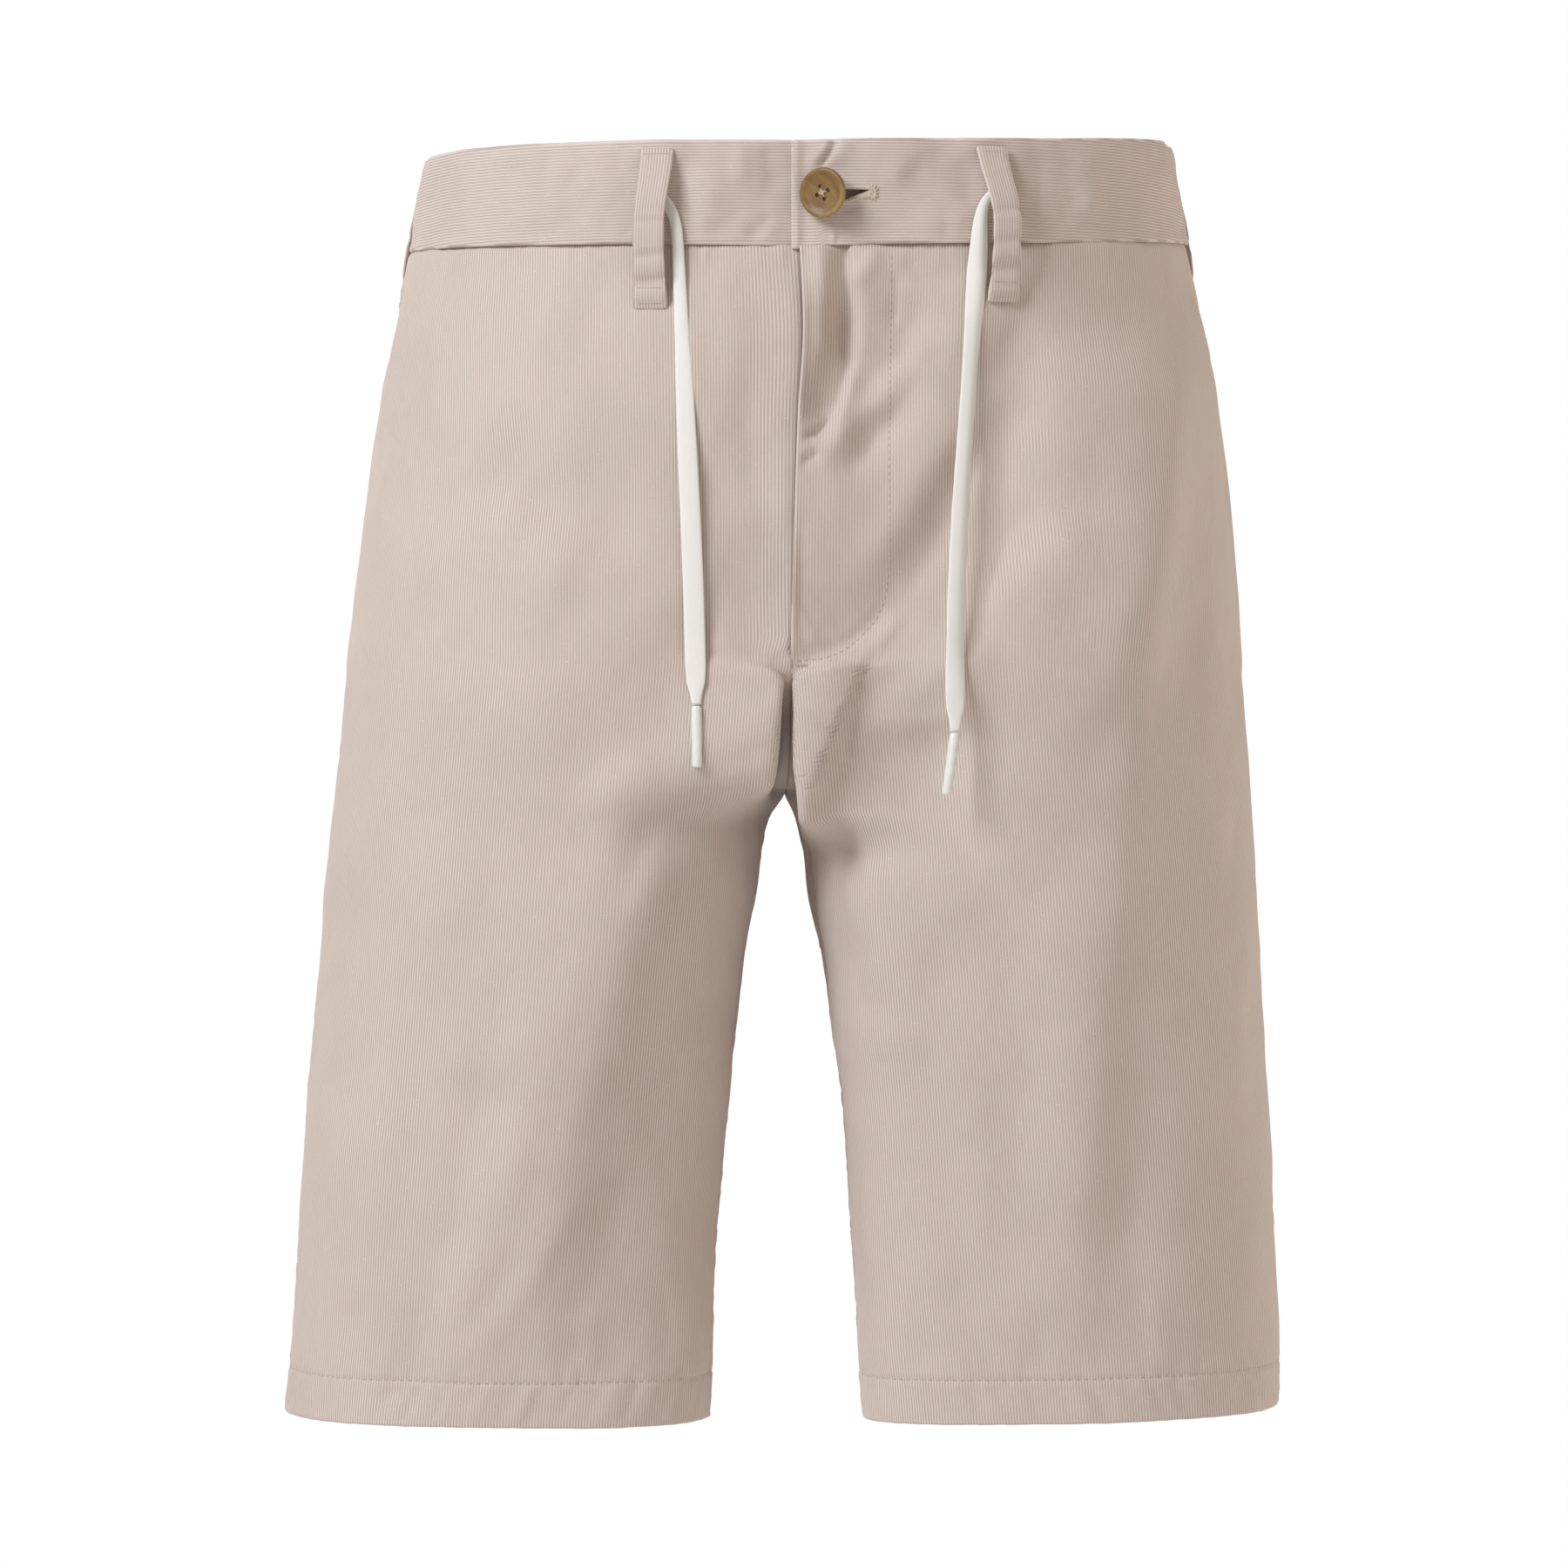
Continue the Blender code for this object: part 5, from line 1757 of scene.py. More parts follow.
@dataclass
class LegPanel:
    """A front or a back: one cut piece of cloth from the waist seam to the hem."""

    form: ShortsForm
    side: Side
    face: Face
    flat_width: float                   # the widest row
    flat_length: float
    flat_area: float                    # square metres
    wall: float = 0.9
    hem_wall: float = 2.0
    hem_depth: float = 19.0
    hem_roll: float = 1.2               # the rolled edge reaches this much lower
    hem_ripple: float = 0.58
    hem_pucker: float = 0.45
    seam_draw: float = 0.9              # how far a seam draws the cloth in: the inner one,
    side_draw: float = 0.8              # the side one
    waist_draw: float = 1.4             # and the one under the waistband
    draw_reach: float = 1.3
    seam_pucker: float = 0.34
    side_pucker: float = 0.30
    waist_pucker: float = 0.36
    saddle_top: float = -180.0          # from here the two backs lie face to face,
    saddle_foot: float = -252.0         # down to here, and their seam isn't drawn in
    row_step: float = 2.0
    near_block: float = 50.0            # columns at fixed distances from the inner seam
    outer_block: float = 12.0           # and from the side seam
    middle_columns: int = 84
    topstitch: float = 6.0              # the inner seam's topstitching
    fly_stitch: float = 38.0
    valley: float = 18.5
    grain_x: float = 95.0               # the stripes run beside this line
    grain_top: float = -190.0           # below it they lean out with the leg
    grain_spread: float = 26.0

    fly_waver: tuple[tuple[float, float, float], ...] = (
        (2.3, -56.0, 32.0), (-0.6, -160.0, 30.0))       # shift, height and half height
    fly_edge_x: float = 3.6
    fly_end: float = -191.0
    fly_width: float = 40.0
    fly_curve: float = 36.0
    fly_lift: float = 3.0
    fly_under: float = 3.0              # how far the right front runs on under the left one
    fly_tuck: float = 8.0               # and how deep its own edge goes there
    fly_fade: float = 8.0
    pocket_top: float = -52.0
    pocket_foot: float = -200.0
    pocket_lift: float = 1.2
    pocket_reach: float = 0.07
    pocket_fade: float = 14.0

    @property
    def name(self) -> str:
        """The name of the node that the panel stands for."""
        return f"{self.face.name.lower()}_{side_word(self.side)}"

    def make_grid(self) -> None:
        """Lay the panel's grid on the form."""
        foci = (16.0, -self.form.hem - self.hem_depth, -self.form.hem)
        self.levels = -graded(16.0, -self.form.hem - self.hem_roll, self.row_step, foci)
        near = graded(0.0, self.near_block, 2.3,
                      (0.0, self.topstitch, self.valley, self.fly_stitch), 0.6, 6.0)
        outer = graded(0.0, self.outer_block, 2.3, (0.0,), 0.5, 6.0)
        rows, spots, lengths, grains = [], [], [], []
        for level in self.levels:
            line = self.form.row(self.side, level, self.face)
            distances = along(line)
            length = distances[-1]
            middle = np.linspace(self.near_block, length - self.outer_block,
                                 self.middle_columns + 2)[1:-1]
            spot = np.concatenate([near, middle, length - outer[::-1]])
            row = read_line(line, distances, spot)
            row[:, 2] += self.form.place_heights(self.side, level, self.face, spot / length)
            rows.append(row)
            spots.append(spot)
            lengths.append(length)
            down = max(self.grain_top - level, 0.0) / (self.grain_top - self.form.hem)
            grain_x = self.grain_x + self.grain_spread * down
            grains.append(np.interp(grain_x, np.abs(line[:, 0]), distances))
        self.base = np.array(rows)
        self.spots = np.array(spots)
        self.lengths = np.array(lengths)[:, None]
        self.chart = np.stack([self.spots - np.array(grains)[:, None],
                               np.broadcast_to(self.levels[:, None], self.spots.shape)], axis=2)
        outward = self.base * np.array([0.35, 1.0, 0.0])
        outward[:, :, 0] -= self.side.value * 0.35 * 100.0
        self.normals = grid_normals(self.base, outward)

    def build(self, finishes: Finishes) -> bpy.types.Object:
        """Build the panel.

        Args:
            finishes: The materials.

        Returns:
            The panel's object.
        """
        self.make_grid()
        base = self.base.copy()
        base[:, :, 0] += self._sway()
        lift = (self._folds() + self._creases() + self._laps() + self._seams() + self._hem())
        self.outer = base + self._lift_ways() * lift[:, :, None]
        self.normals = grid_normals(self.outer, self.normals)
        wall = np.where(self.levels <= self.form.hem + self.hem_depth, self.hem_wall, self.wall)
        inner = self.outer - self.normals * wall[:, None, None]
        piece = Sheet(self.outer, inner, self.chart, 4).build("cloth_" + self.name, finishes.cotton)
        dress(piece, "striped_cotton", self.name)
        return piece

    def _lift_ways(self) -> np.ndarray:
        """Which way each point is lifted: out, but straight forward beside the recess.

        Returns:
            A direction for each point.
        """
        if self.face is Face.BACK:
            return self.normals
        square = np.array([self.form.squareness(self.side, level) for level in self.levels])
        beside = (square[:, None] * bell(self.base[:, :, 0] / 14.0))[:, :, None]
        return self.normals * (1.0 - beside) + np.array([0.0, -1.0, 0.0]) * beside

    def _sway(self) -> np.ndarray:
        """The fly's edge wavers sideways, and the right front runs on under it.

        Returns:
            The shift of each point.
        """
        if self.face is Face.BACK:
            return np.zeros(self.spots.shape)
        heights = self.base[:, :, 2]
        shift = sum(push * bell((heights - height) / half) for push, height, half in self.fly_waver)
        sway = shift * bell(self.spots / 20.0)
        if self.side is Side.RIGHT:
            sway += self.fly_under * self._above_fly() * (1.0 - smoothstep(self.spots / 22.0))
        return sway

    def _above_fly(self) -> np.ndarray:
        """1 beside the fly, easing to 0 at its foot."""
        return smoothstep((self.base[:, :, 2] - self.fly_end - 2.0) / 10.0)

    def _folds(self) -> np.ndarray:
        """The form's long folds, which fade at the panel's two long seams.

        Returns:
            The lift of each point.
        """
        rise = np.zeros(self.spots.shape)
        places = self.base[:, :, [0, 2]]
        for fold in FRONT_FOLDS if self.face is Face.FRONT else BACK_FOLDS:
            if fold.side is not self.side:
                continue
            start = np.array([fold.start_x, fold.start_z])
            run = np.array([fold.end_x, fold.end_z]) - start
            part = np.clip((places - start) @ run / (run @ run), 0.0, 1.0)
            gap = np.linalg.norm(places - start - part[:, :, None] * run, axis=2)
            rise += fold.rise * bell(gap / fold.half_width)
        parts = self.spots / self.lengths
        return rise * smoothstep(parts / 0.05) * smoothstep((1.0 - parts) / 0.08)

    def _creases(self) -> np.ndarray:
        """The listed creases and the low crumple between them.

        Returns:
            The lift of each point.
        """
        to_side = self.lengths - self.spots
        places = {Across.MIDDLE: self.base[:, :, 0], Across.SIDE_SEAM: to_side}
        field = CreaseField(CREASES[self.side, self.face])
        rise = field.rise(places, self.base[:, :, 2])
        seed = 3 + self.side.value + 4 * self.face.value
        crumple = Crumple(seed + 8).at(self.chart[:, :, 0], self.levels[:, None])
        ease = smoothstep(self.spots / 9.0) * smoothstep(to_side / 9.0)
        lift = rise * smoothstep(self.spots / 3.0) * smoothstep(to_side / 5.0) + crumple * ease
        if self.face is Face.BACK:
            lift *= smoothstep((self.form.waist_seam + 3.0 - self.levels[:, None]) / 14.0)
        return lift

    def _laps(self) -> np.ndarray:
        """The left front laps over the right one, and the fronts' pockets gape a little.

        Returns:
            The lift of each point.
        """
        lift = np.zeros(self.spots.shape)
        if self.face is Face.BACK:
            return lift
        heights = self.base[:, :, 2]
        if self.side is Side.LEFT:
            height = np.clip((self.fly_end + self.fly_curve - heights) / self.fly_curve, 0.0, 1.0)
            reach = self.fly_width * np.sqrt(1.0 - height ** 2)
            inside = smoothstep((reach - (self.base[:, :, 0] - self.fly_edge_x)) / self.fly_width)
            lift += self.fly_lift * inside * smoothstep((heights - self.fly_end) / self.fly_fade)
        else:
            lift -= self.fly_tuck * self._above_fly() * (1.0 - smoothstep(self.spots / 3.4))
        parts = self.spots / self.lengths
        edge = smoothstep((parts - 1.0 + self.pocket_reach) / self.pocket_reach)
        lift += (self.pocket_lift * edge * smoothstep((self.pocket_top - heights) / self.pocket_fade)
                 * smoothstep((heights - self.pocket_foot) / self.pocket_fade))
        return lift

    def _seams(self) -> np.ndarray:
        """Every seam draws the cloth in, with small uneven puckers beside it.

        Returns:
            The lift of each point.
        """
        to_side = self.lengths - self.spots
        levels = self.levels[:, None]
        seed = 0.31 * self.side.value + 0.17 * self.face.value
        if self.face is Face.FRONT:
            drawn = below_fly = smoothstep((self.fly_end + 4.0 - levels) / 8.0)
            puckered = 0.35 + 0.65 * below_fly
            sewn = 1.0 - (smoothstep((self.pocket_top - levels) / 8.0)
                          * smoothstep((levels - self.pocket_foot) / 8.0))
        else:
            drawn = puckered = 1.0 - (smoothstep((self.saddle_top - levels) / 12.0)
                                      * smoothstep((levels - self.saddle_foot) / 8.0))
            sewn = 1.0
        lift = -self.seam_draw * bell(self.spots / self.draw_reach) * drawn
        lift += (self.seam_pucker * wavering(-levels, 9.0, seed + 0.6)
                 * bell((self.spots - 3.0) / 5.0) * puckered)
        lift -= self.side_draw * bell(to_side / self.draw_reach) * sewn
        lift += (self.side_pucker * wavering(-levels, 11.0, seed + 0.2)
                 * bell((to_side - 3.0) / 5.0) * sewn)
        if self.face is Face.FRONT:
            below = smoothstep((self.form.crotch + 6.0 - levels) / 12.0)
            lift += below * (0.25 * smoothstep((self.topstitch - self.spots) / 1.5)
                             - 0.4 * bell((self.spots - self.topstitch) / 0.9))
        from_waist = self.form.waist_seam - levels
        lift -= self.waist_draw * bell(from_waist / 1.6)
        ripple = wavering(self.spots, 8.5, seed + 0.4)
        return lift + self.waist_pucker * ripple * bell((from_waist - 3.0) / 6.0)

    def _hem(self) -> np.ndarray:
        """The turned-up hem: a sunk stitch line, a fuller fold and slanting ripples.

        Returns:
            The lift of each point.
        """
        above = self.levels[:, None] - self.form.hem
        seed = 0.43 * self.side.value + 0.29 * self.face.value
        inside = smoothstep((self.hem_depth - above) / 2.0)
        lift = 0.14 * inside - 0.30 * bell((above - self.hem_depth) / 1.1)
        slant = self.spots + 0.35 * above
        ripple = wavering(slant, 13.0, seed) + 0.6 * wavering(slant, 6.5, seed + 0.5)
        band = smoothstep(above / 6.0) * inside
        puckers = wavering(self.spots, 8.0, seed + 0.3) * bell((above - self.hem_depth - 3.0) / 5.0)
        return lift + self.hem_ripple * ripple * band + self.hem_pucker * puckers

    def hem_stitches(self, thread: Thread) -> np.ndarray:
        """Stitches along the hem's top."""
        row = int(np.abs(self.levels - (self.form.hem + self.hem_depth)).argmin())
        return thread.walk(self.outer[row], self.normals[row])

    def inseam_stitches(self, thread: Thread) -> np.ndarray:
        """Topstitching beside the inner seam, from the crotch to the hem.

        Args:
            thread: The thread.

        Returns:
            The stitches.
        """
        column = int(np.abs(self.spots[0] - self.topstitch).argmin())
        below = self.levels < self.form.crotch - 4.0
        return thread.walk(self.outer[below, column], self.normals[below, column])


@dataclass
class Waistband:
    """One half of the waistband: two layers with a folded top edge."""

    waist: WaistLine
    side: Side
    overlap_edge: float = -2.3
    underlap_edge: float = 36.0
    overlap_lift: float = 1.3
    overlap_clear: float = 3.0
    overlap_ease: float = 24.0
    underlap_sink: float = 1.0
    underlap_clear: float = 1.0
    underlap_ease: float = 8.0
    underlap_deep: float = 2.6          # more of it behind the buttonhole
    wall: float = 2.0
    column_step: float = 2.1
    row_step: float = 0.038
    flat_height: float = 41.0

    def build(self, finishes: Finishes) -> bpy.types.Object:
        """Build this half.

        Args:
            finishes: The materials.

        Returns:
            The half's object.
        """
        length = self.waist.form.waist_length(self.side)
        if self.side is Side.LEFT:
            arcs = graded(self.overlap_edge, length, self.column_step,
                          (self.overlap_edge, 13.0), 0.55, 9.0)
        else:
            foci = (-length, -self.underlap_edge)
            arcs = -graded(-self.underlap_edge, length, self.column_step, foci, 0.9)[::-1]
        heights = graded(0.0, 1.0, self.row_step, (0.0, 1.0), 0.012, 0.12)
        lift = np.array([self.end_lift(arc) for arc in arcs])
        flat, normals = self.waist.band_points(arcs, heights, np.zeros((len(heights), len(arcs))))
        offsets = lift[None] + self._relief(arcs, heights, flat[:, :, 2])
        outer, _ = self.waist.band_points(arcs, heights, offsets)
        if self.side is Side.LEFT:
            outer[:, :, 2] += self._end_drop(arcs, heights)
        inner = outer - normals * self.wall
        self.outer, self.arcs, self.normals = outer, arcs, grid_normals(outer, normals)
        chart = np.stack([flat[:, :, 2], np.broadcast_to(arcs, flat.shape[:2])], axis=2)
        name = "waistband_" + side_word(self.side)
        piece = Sheet(outer, inner, chart, 5).build("cloth_" + name, finishes.cotton)
        if self.side is Side.LEFT:
            Buttonhole().cut(piece)
        dress(piece, "striped_cotton", name)
        (arcs[-1] - arcs[0]) * MM
        return piece

    def end_lift(self, arc: float) -> float:
        """The left end rides over the right one, which goes behind it.

        Args:
            arc: Distance along the waist.

        Returns:
            The lift.
        """
        if self.side is Side.LEFT:
            past = arc - self.underlap_edge - self.overlap_clear
            return self.overlap_lift * float(1.0 - smoothstep(past / self.overlap_ease))
        past = arc - self.overlap_edge + self.underlap_clear + self.underlap_ease
        deeper = self.underlap_deep * float(smoothstep((arc - self.overlap_edge - 2.0) / 14.0))
        return -self.underlap_sink * float(smoothstep(past / self.underlap_ease)) - deeper

    def _end_drop(self, arcs: np.ndarray, heights: np.ndarray) -> np.ndarray:
        """The lapped end's lower edge hangs a little below the waist seam."""
        near_end = 1.0 - smoothstep((arcs - 8.0) / 3.0)
        return -1.5 * near_end[None] * (1.0 - smoothstep(heights / 0.5))[:, None]

    def _relief(self, arcs: np.ndarray, heights: np.ndarray, z: np.ndarray) -> np.ndarray:
        """The band's soft fullness, its seam puckers and its creases.

        Args:
            arcs: Distances of the columns along the waist.
            heights: Shares of the rows from the seam to the top.
            z: Heights of the points.

        Returns:
            The lift of each point.
        """
        seed = 0.27 * self.side.value
        at_seam = bell((heights - 0.02) / 0.045)[:, None]
        at_top = bell((1.0 - heights) / 0.05)[:, None]
        creases = BAND_LEFT_CREASES if self.side is Side.LEFT else BAND_RIGHT_CREASES
        sideways = np.broadcast_to(arcs, z.shape)
        rise = CreaseField(creases).rise({Across.MIDDLE: sideways}, z)
        crumple = Crumple(31 + self.side.value, ((30.0, 1.5), (14.0, 0.9), (6.5, 0.32)))
        puckers = wavering(arcs, 9.0, seed)[None] * bell((heights - 0.1) / 0.14)[:, None]
        top_puckers = wavering(arcs, 12.0, seed + 0.4)[None] * bell((heights - 0.9) / 0.12)[:, None]
        relief = (rise + crumple.at(sideways, z) + 0.26 * puckers + 0.20 * top_puckers
                  + 0.45 * at_seam - 0.45 * at_top)
        if self.side is Side.LEFT:
            from_edge = (arcs - self.overlap_edge)[None]
            relief += 0.35 * bell((from_edge - 1.4) / 1.2) - 0.4 * bell((from_edge - 5.0) / 1.8)
        return relief


@dataclass(frozen=True)
class Buttonhole:
    """A worked buttonhole that gapes beside the button's edge."""

    button_z: float = -0.5
    front_y: float = -126.0
    through: float = 24.0
    slit: tuple[tuple[float, float], ...] = (
        (8.0, 0.1), (12.0, 1.5), (21.0, 1.9), (31.0, 1.5), (32.4, 1.1), (30.6, 0.5),
        (23.4, -2.2), (21.0, -2.9), (12.0, -2.0))
    upper_lip: tuple[tuple[float, float, float], ...] = (       # x, z and half height
        (17.0, 2.3, 0.65), (24.0, 2.0, 0.65), (29.0, 1.8, 0.6), (32.6, 1.4, 0.8))
    lower_lip: tuple[tuple[float, float, float], ...] = (
        (18.0, -4.0, 0.8), (23.4, -3.5, 0.85), (28.0, -2.3, 1.2), (32.6, -1.5, 1.6))
    star: tuple[float, float] = (34.0, -0.3)

    def cut(self, band: bpy.types.Object) -> None:
        """Cut the slit through the left end of the waistband.

        Args:
            band: The left half of the waistband.
        """
        shape = bmesh.new()
        near = [shape.verts.new(Vector((x, self.front_y, self.button_z + z)) * MM)
                for x, z in self.slit]
        grown = bmesh.ops.extrude_face_region(shape, geom=[shape.faces.new(near)])
        far = [item for item in grown["geom"] if isinstance(item, bmesh.types.BMVert)]
        bmesh.ops.translate(shape, vec=(0.0, self.through * MM, 0.0), verts=far)
        bmesh.ops.recalc_face_normals(shape, faces=shape.faces)
        cut_away(band, from_shape("slit", shape, band.data.materials[0]))

    def stitches(self, probe: Probe) -> np.ndarray:
        """Close satin stitches along both lips and a frayed star at the end.

        Args:
            probe: Finds the cloth.

        Returns:
            The stitches.
        """
        facing = np.array([0.0, -1.0, 0.05])
        found = []
        for lip in (self.upper_lip, self.lower_lip):
            line = np.array(lip)
            distances = along(line[:, :2])
            spots = np.arange(0.0, distances[-1], 0.4)
            for count, (x, z, half) in enumerate(read_line(line, distances, spots)):
                reach = half * (1.0 + 0.14 * math.sin(2.4 * count) + 0.1 * math.sin(5.1 * count))
                lean = 0.25 + 0.15 * math.sin(1.7 * count)
                low = self._on_cloth(probe, x - lean, z - reach)
                high = self._on_cloth(probe, x + lean, z + reach)
                found.append((low, high, facing))
        centre_x, centre_z = self.star
        for ray in range(17):
            angle = math.radians(-140.0 + 17.5 * ray)
            reach = 2.6 + 0.9 * math.sin(3.3 * ray) + 1.0 * abs(math.sin(angle))
            start = self._on_cloth(probe, centre_x + 0.4 * math.cos(angle),
                                   centre_z + 0.4 * math.sin(angle))
            end = self._on_cloth(probe, centre_x + 0.7 * reach * math.cos(angle),
                                 centre_z + reach * math.sin(angle))
            found.append((start, end, facing))
        return np.array(found)

    def _on_cloth(self, probe: Probe, x: float, z: float) -> np.ndarray:
        """A point on the band's face, also where the slit is open.

        Args:
            probe: Finds the cloth.
            x: Place across.
            z: Height.

        Returns:
            The point.
        """
        near, _ = probe.touch(x, z)
        beside, _ = probe.touch(x, 6.5)
        return np.array([x, min(near[1], beside[1] + 0.4), z])


@dataclass
class BeltLoop:
    """A folded strip, tacked down at both ends and standing off between them."""

    name: str
    top: float
    middle: float
    foot: float
    top_z: float
    foot_z: float
    stand: float
    width: float
    dents: tuple[tuple[float, float, float], ...]   # share of the way, half width, depth
    wall: float = 1.5
    seat: float = 0.45
    flatness: float = 0.7
    columns: int = 13
    rows: int = 84

    def build(self, waist: WaistLine, bands: dict[Side, Waistband], finishes: Finishes
              ) -> bpy.types.Object:
        """Build the loop.

        Args:
            waist: The waist seam's line.
            bands: The two halves of the waistband, whose end lifts it follows.
            finishes: The materials.

        Returns:
            The loop's object.
        """
        top, normal = self._seat_point(waist, bands, self.top, self.top_z)
        foot, foot_normal = self._seat_point(waist, bands, self.foot, self.foot_z)
        bend, _ = self._seat_point(waist, bands, self.middle, self.top_z)
        way = np.linspace(0.0, 1.0, self.rows)[:, None]
        facing = unit(normal * (1.0 - way) + foot_normal * way)
        across = np.column_stack([-facing[:, 1], facing[:, 0], np.zeros(self.rows)])
        centre = top * (1.0 - way) + foot * way
        shift = (bend - top) * smoothstep(2.0 * way) - (foot - top) * way
        slide = (across * shift).sum(axis=1, keepdims=True)
        centre[:, :2] += (across * slide)[:, :2]
        rise = self.seat + self.stand * np.sin(math.pi * way[:, 0]) ** self.flatness
        share = np.linspace(-0.5, 0.5, self.columns)
        edges = bell((0.5 - np.abs(share)) / 0.06)
        relief = -0.45 * edges[None] + 0.12 * wavering(way * 66.0, 9.0, 0.1 * len(self.name))
        for place, half_width, depth in self.dents:
            tilt = way + 0.02 * share[None]
            relief = relief - depth * bell((tilt - place) / half_width)
        folded = (bell((way - 0.94) / 0.035) + 0.5 * bell((way - 0.02) / 0.03))
        relief = relief + 0.7 * folded
        width = self.width * (1.0 - 0.08 * np.sin(math.pi * way[:, 0]))
        spread = across[:, None] * (width[:, None] * share[None])[:, :, None]
        base = centre[:, None] + spread
        out = facing[:, None]
        outer = base + out * (rise[:, None] + self.wall + relief)[:, :, None]
        inner = base + out * rise[:, None, None]
        self.outer = outer
        self.normals = grid_normals(outer, np.broadcast_to(out, outer.shape))
        chart = np.stack(np.broadcast_arrays(share[None] * self.width, way * 66.0), axis=2)
        piece = Sheet(outer, inner, chart, 3).build("cloth_" + self.name, finishes.cotton)
        dress(piece, "striped_cotton", self.name)
        rests = ["waistband_right" if self.top < 0.0 else "waistband_left"]
        return piece

    def _seat_point(self, waist: WaistLine, bands: dict[Side, Waistband], arc: float,
                    height: float) -> tuple[np.ndarray, np.ndarray]:
        """Point and normal of the garment near the waist.

        Args:
            waist: The waist seam's line.
            bands: The two halves of the waistband.
            arc: Distance along the waist.
            height: Height of the point.

        Returns:
            The point and the outward normal.
        """
        place = waist.read(np.array([arc]))
        side = Side.LEFT if arc >= 0.0 else Side.RIGHT
        seam = float(place.seam[0])
        if height >= seam:
            lift = bands[side].end_lift(arc) if side is Side.LEFT else 0.0
            return waist.band_spot(arc, height, lift), place.normals[0]
        length = waist.form.waist_length(side)
        front_length = float(along(waist.form.row(side, waist.form.waist_seam, Face.FRONT))[-1])
        face = Face.FRONT if abs(arc) <= front_length else Face.BACK
        level = waist.form.waist_seam + (height - seam) * 1.06
        line = waist.form.row(side, level, face)
        if face is Face.FRONT:
            part = abs(arc) / front_length
        else:
            part = (length - abs(arc)) / (length - front_length)
        distances = along(line)
        point = read_line(line, distances, np.array([part * distances[-1]]))[0]
        point[2] += float(waist.form.place_heights(side, level, face, np.array([part]))[0])
        return point, place.normals[0]

    def tacks(self, thread: Thread) -> np.ndarray:
        """Short close stitches across both ends.

        Args:
            thread: The thread.

        Returns:
            The stitches.
        """
        found = []
        for row in (int(0.035 * self.rows), int(0.87 * self.rows), int(0.965 * self.rows)):
            inner = slice(1, self.columns - 1)
            found.append(thread.walk(self.outer[row, inner], self.normals[row, inner]))
        return np.vstack(found)


class CordPoint(NamedTuple):
    """One point of a drawcord's route in metres, and how it faces away from -Y in degrees."""

    x: float
    y: float
    z: float
    facing: float


CORD_RIGHT = (
    CordPoint(-0.0598, -0.1122, 0.0000, -7.0),
    CordPoint(-0.0564, -0.1136, -0.0001, -7.0),
    CordPoint(-0.0516, -0.1148, -0.0018, -7.0),
    CordPoint(-0.0480, -0.1159, -0.0066, -7.0),
    CordPoint(-0.0458, -0.1168, -0.0134, -6.0),
    CordPoint(-0.0450, -0.1180, -0.0240, -4.0),
    CordPoint(-0.0439, -0.1212, -0.0500, -3.0),
    CordPoint(-0.0424, -0.1244, -0.0810, -1.0),
    CordPoint(-0.0408, -0.1259, -0.1150, 0.0),
    CordPoint(-0.0392, -0.1262, -0.1510, 0.0),
    CordPoint(-0.0382, -0.1262, -0.1820, 0.0),
    CordPoint(-0.0376, -0.1262, -0.2080, 0.0),
)

CORD_LEFT = (
    CordPoint(0.0880, -0.1059, 0.0020, 17.0),
    CordPoint(0.0850, -0.1079, 0.0019, 17.0),
    CordPoint(0.0816, -0.1094, 0.0002, 17.0),
    CordPoint(0.0786, -0.1108, -0.0042, 16.0),
    CordPoint(0.0772, -0.1119, -0.0110, 15.0),
    CordPoint(0.0766, -0.1132, -0.0240, 14.0),
    CordPoint(0.0756, -0.1162, -0.0420, 12.0),
    CordPoint(0.0739, -0.1206, -0.0700, 8.0),
    CordPoint(0.0719, -0.1238, -0.0960, 4.0),
    CordPoint(0.0699, -0.1270, -0.1240, 1.0),
    CordPoint(0.0680, -0.1300, -0.1600, 0.0),
    CordPoint(0.0672, -0.1304, -0.1900, 0.0),
    CordPoint(0.0668, -0.1305, -0.2190, 0.0),
)


class CordWidth(NamedTuple):
    """The drawcord's width and how sharply it is folded lengthwise, at one distance."""

    distance: float
    width: float
    fold: float


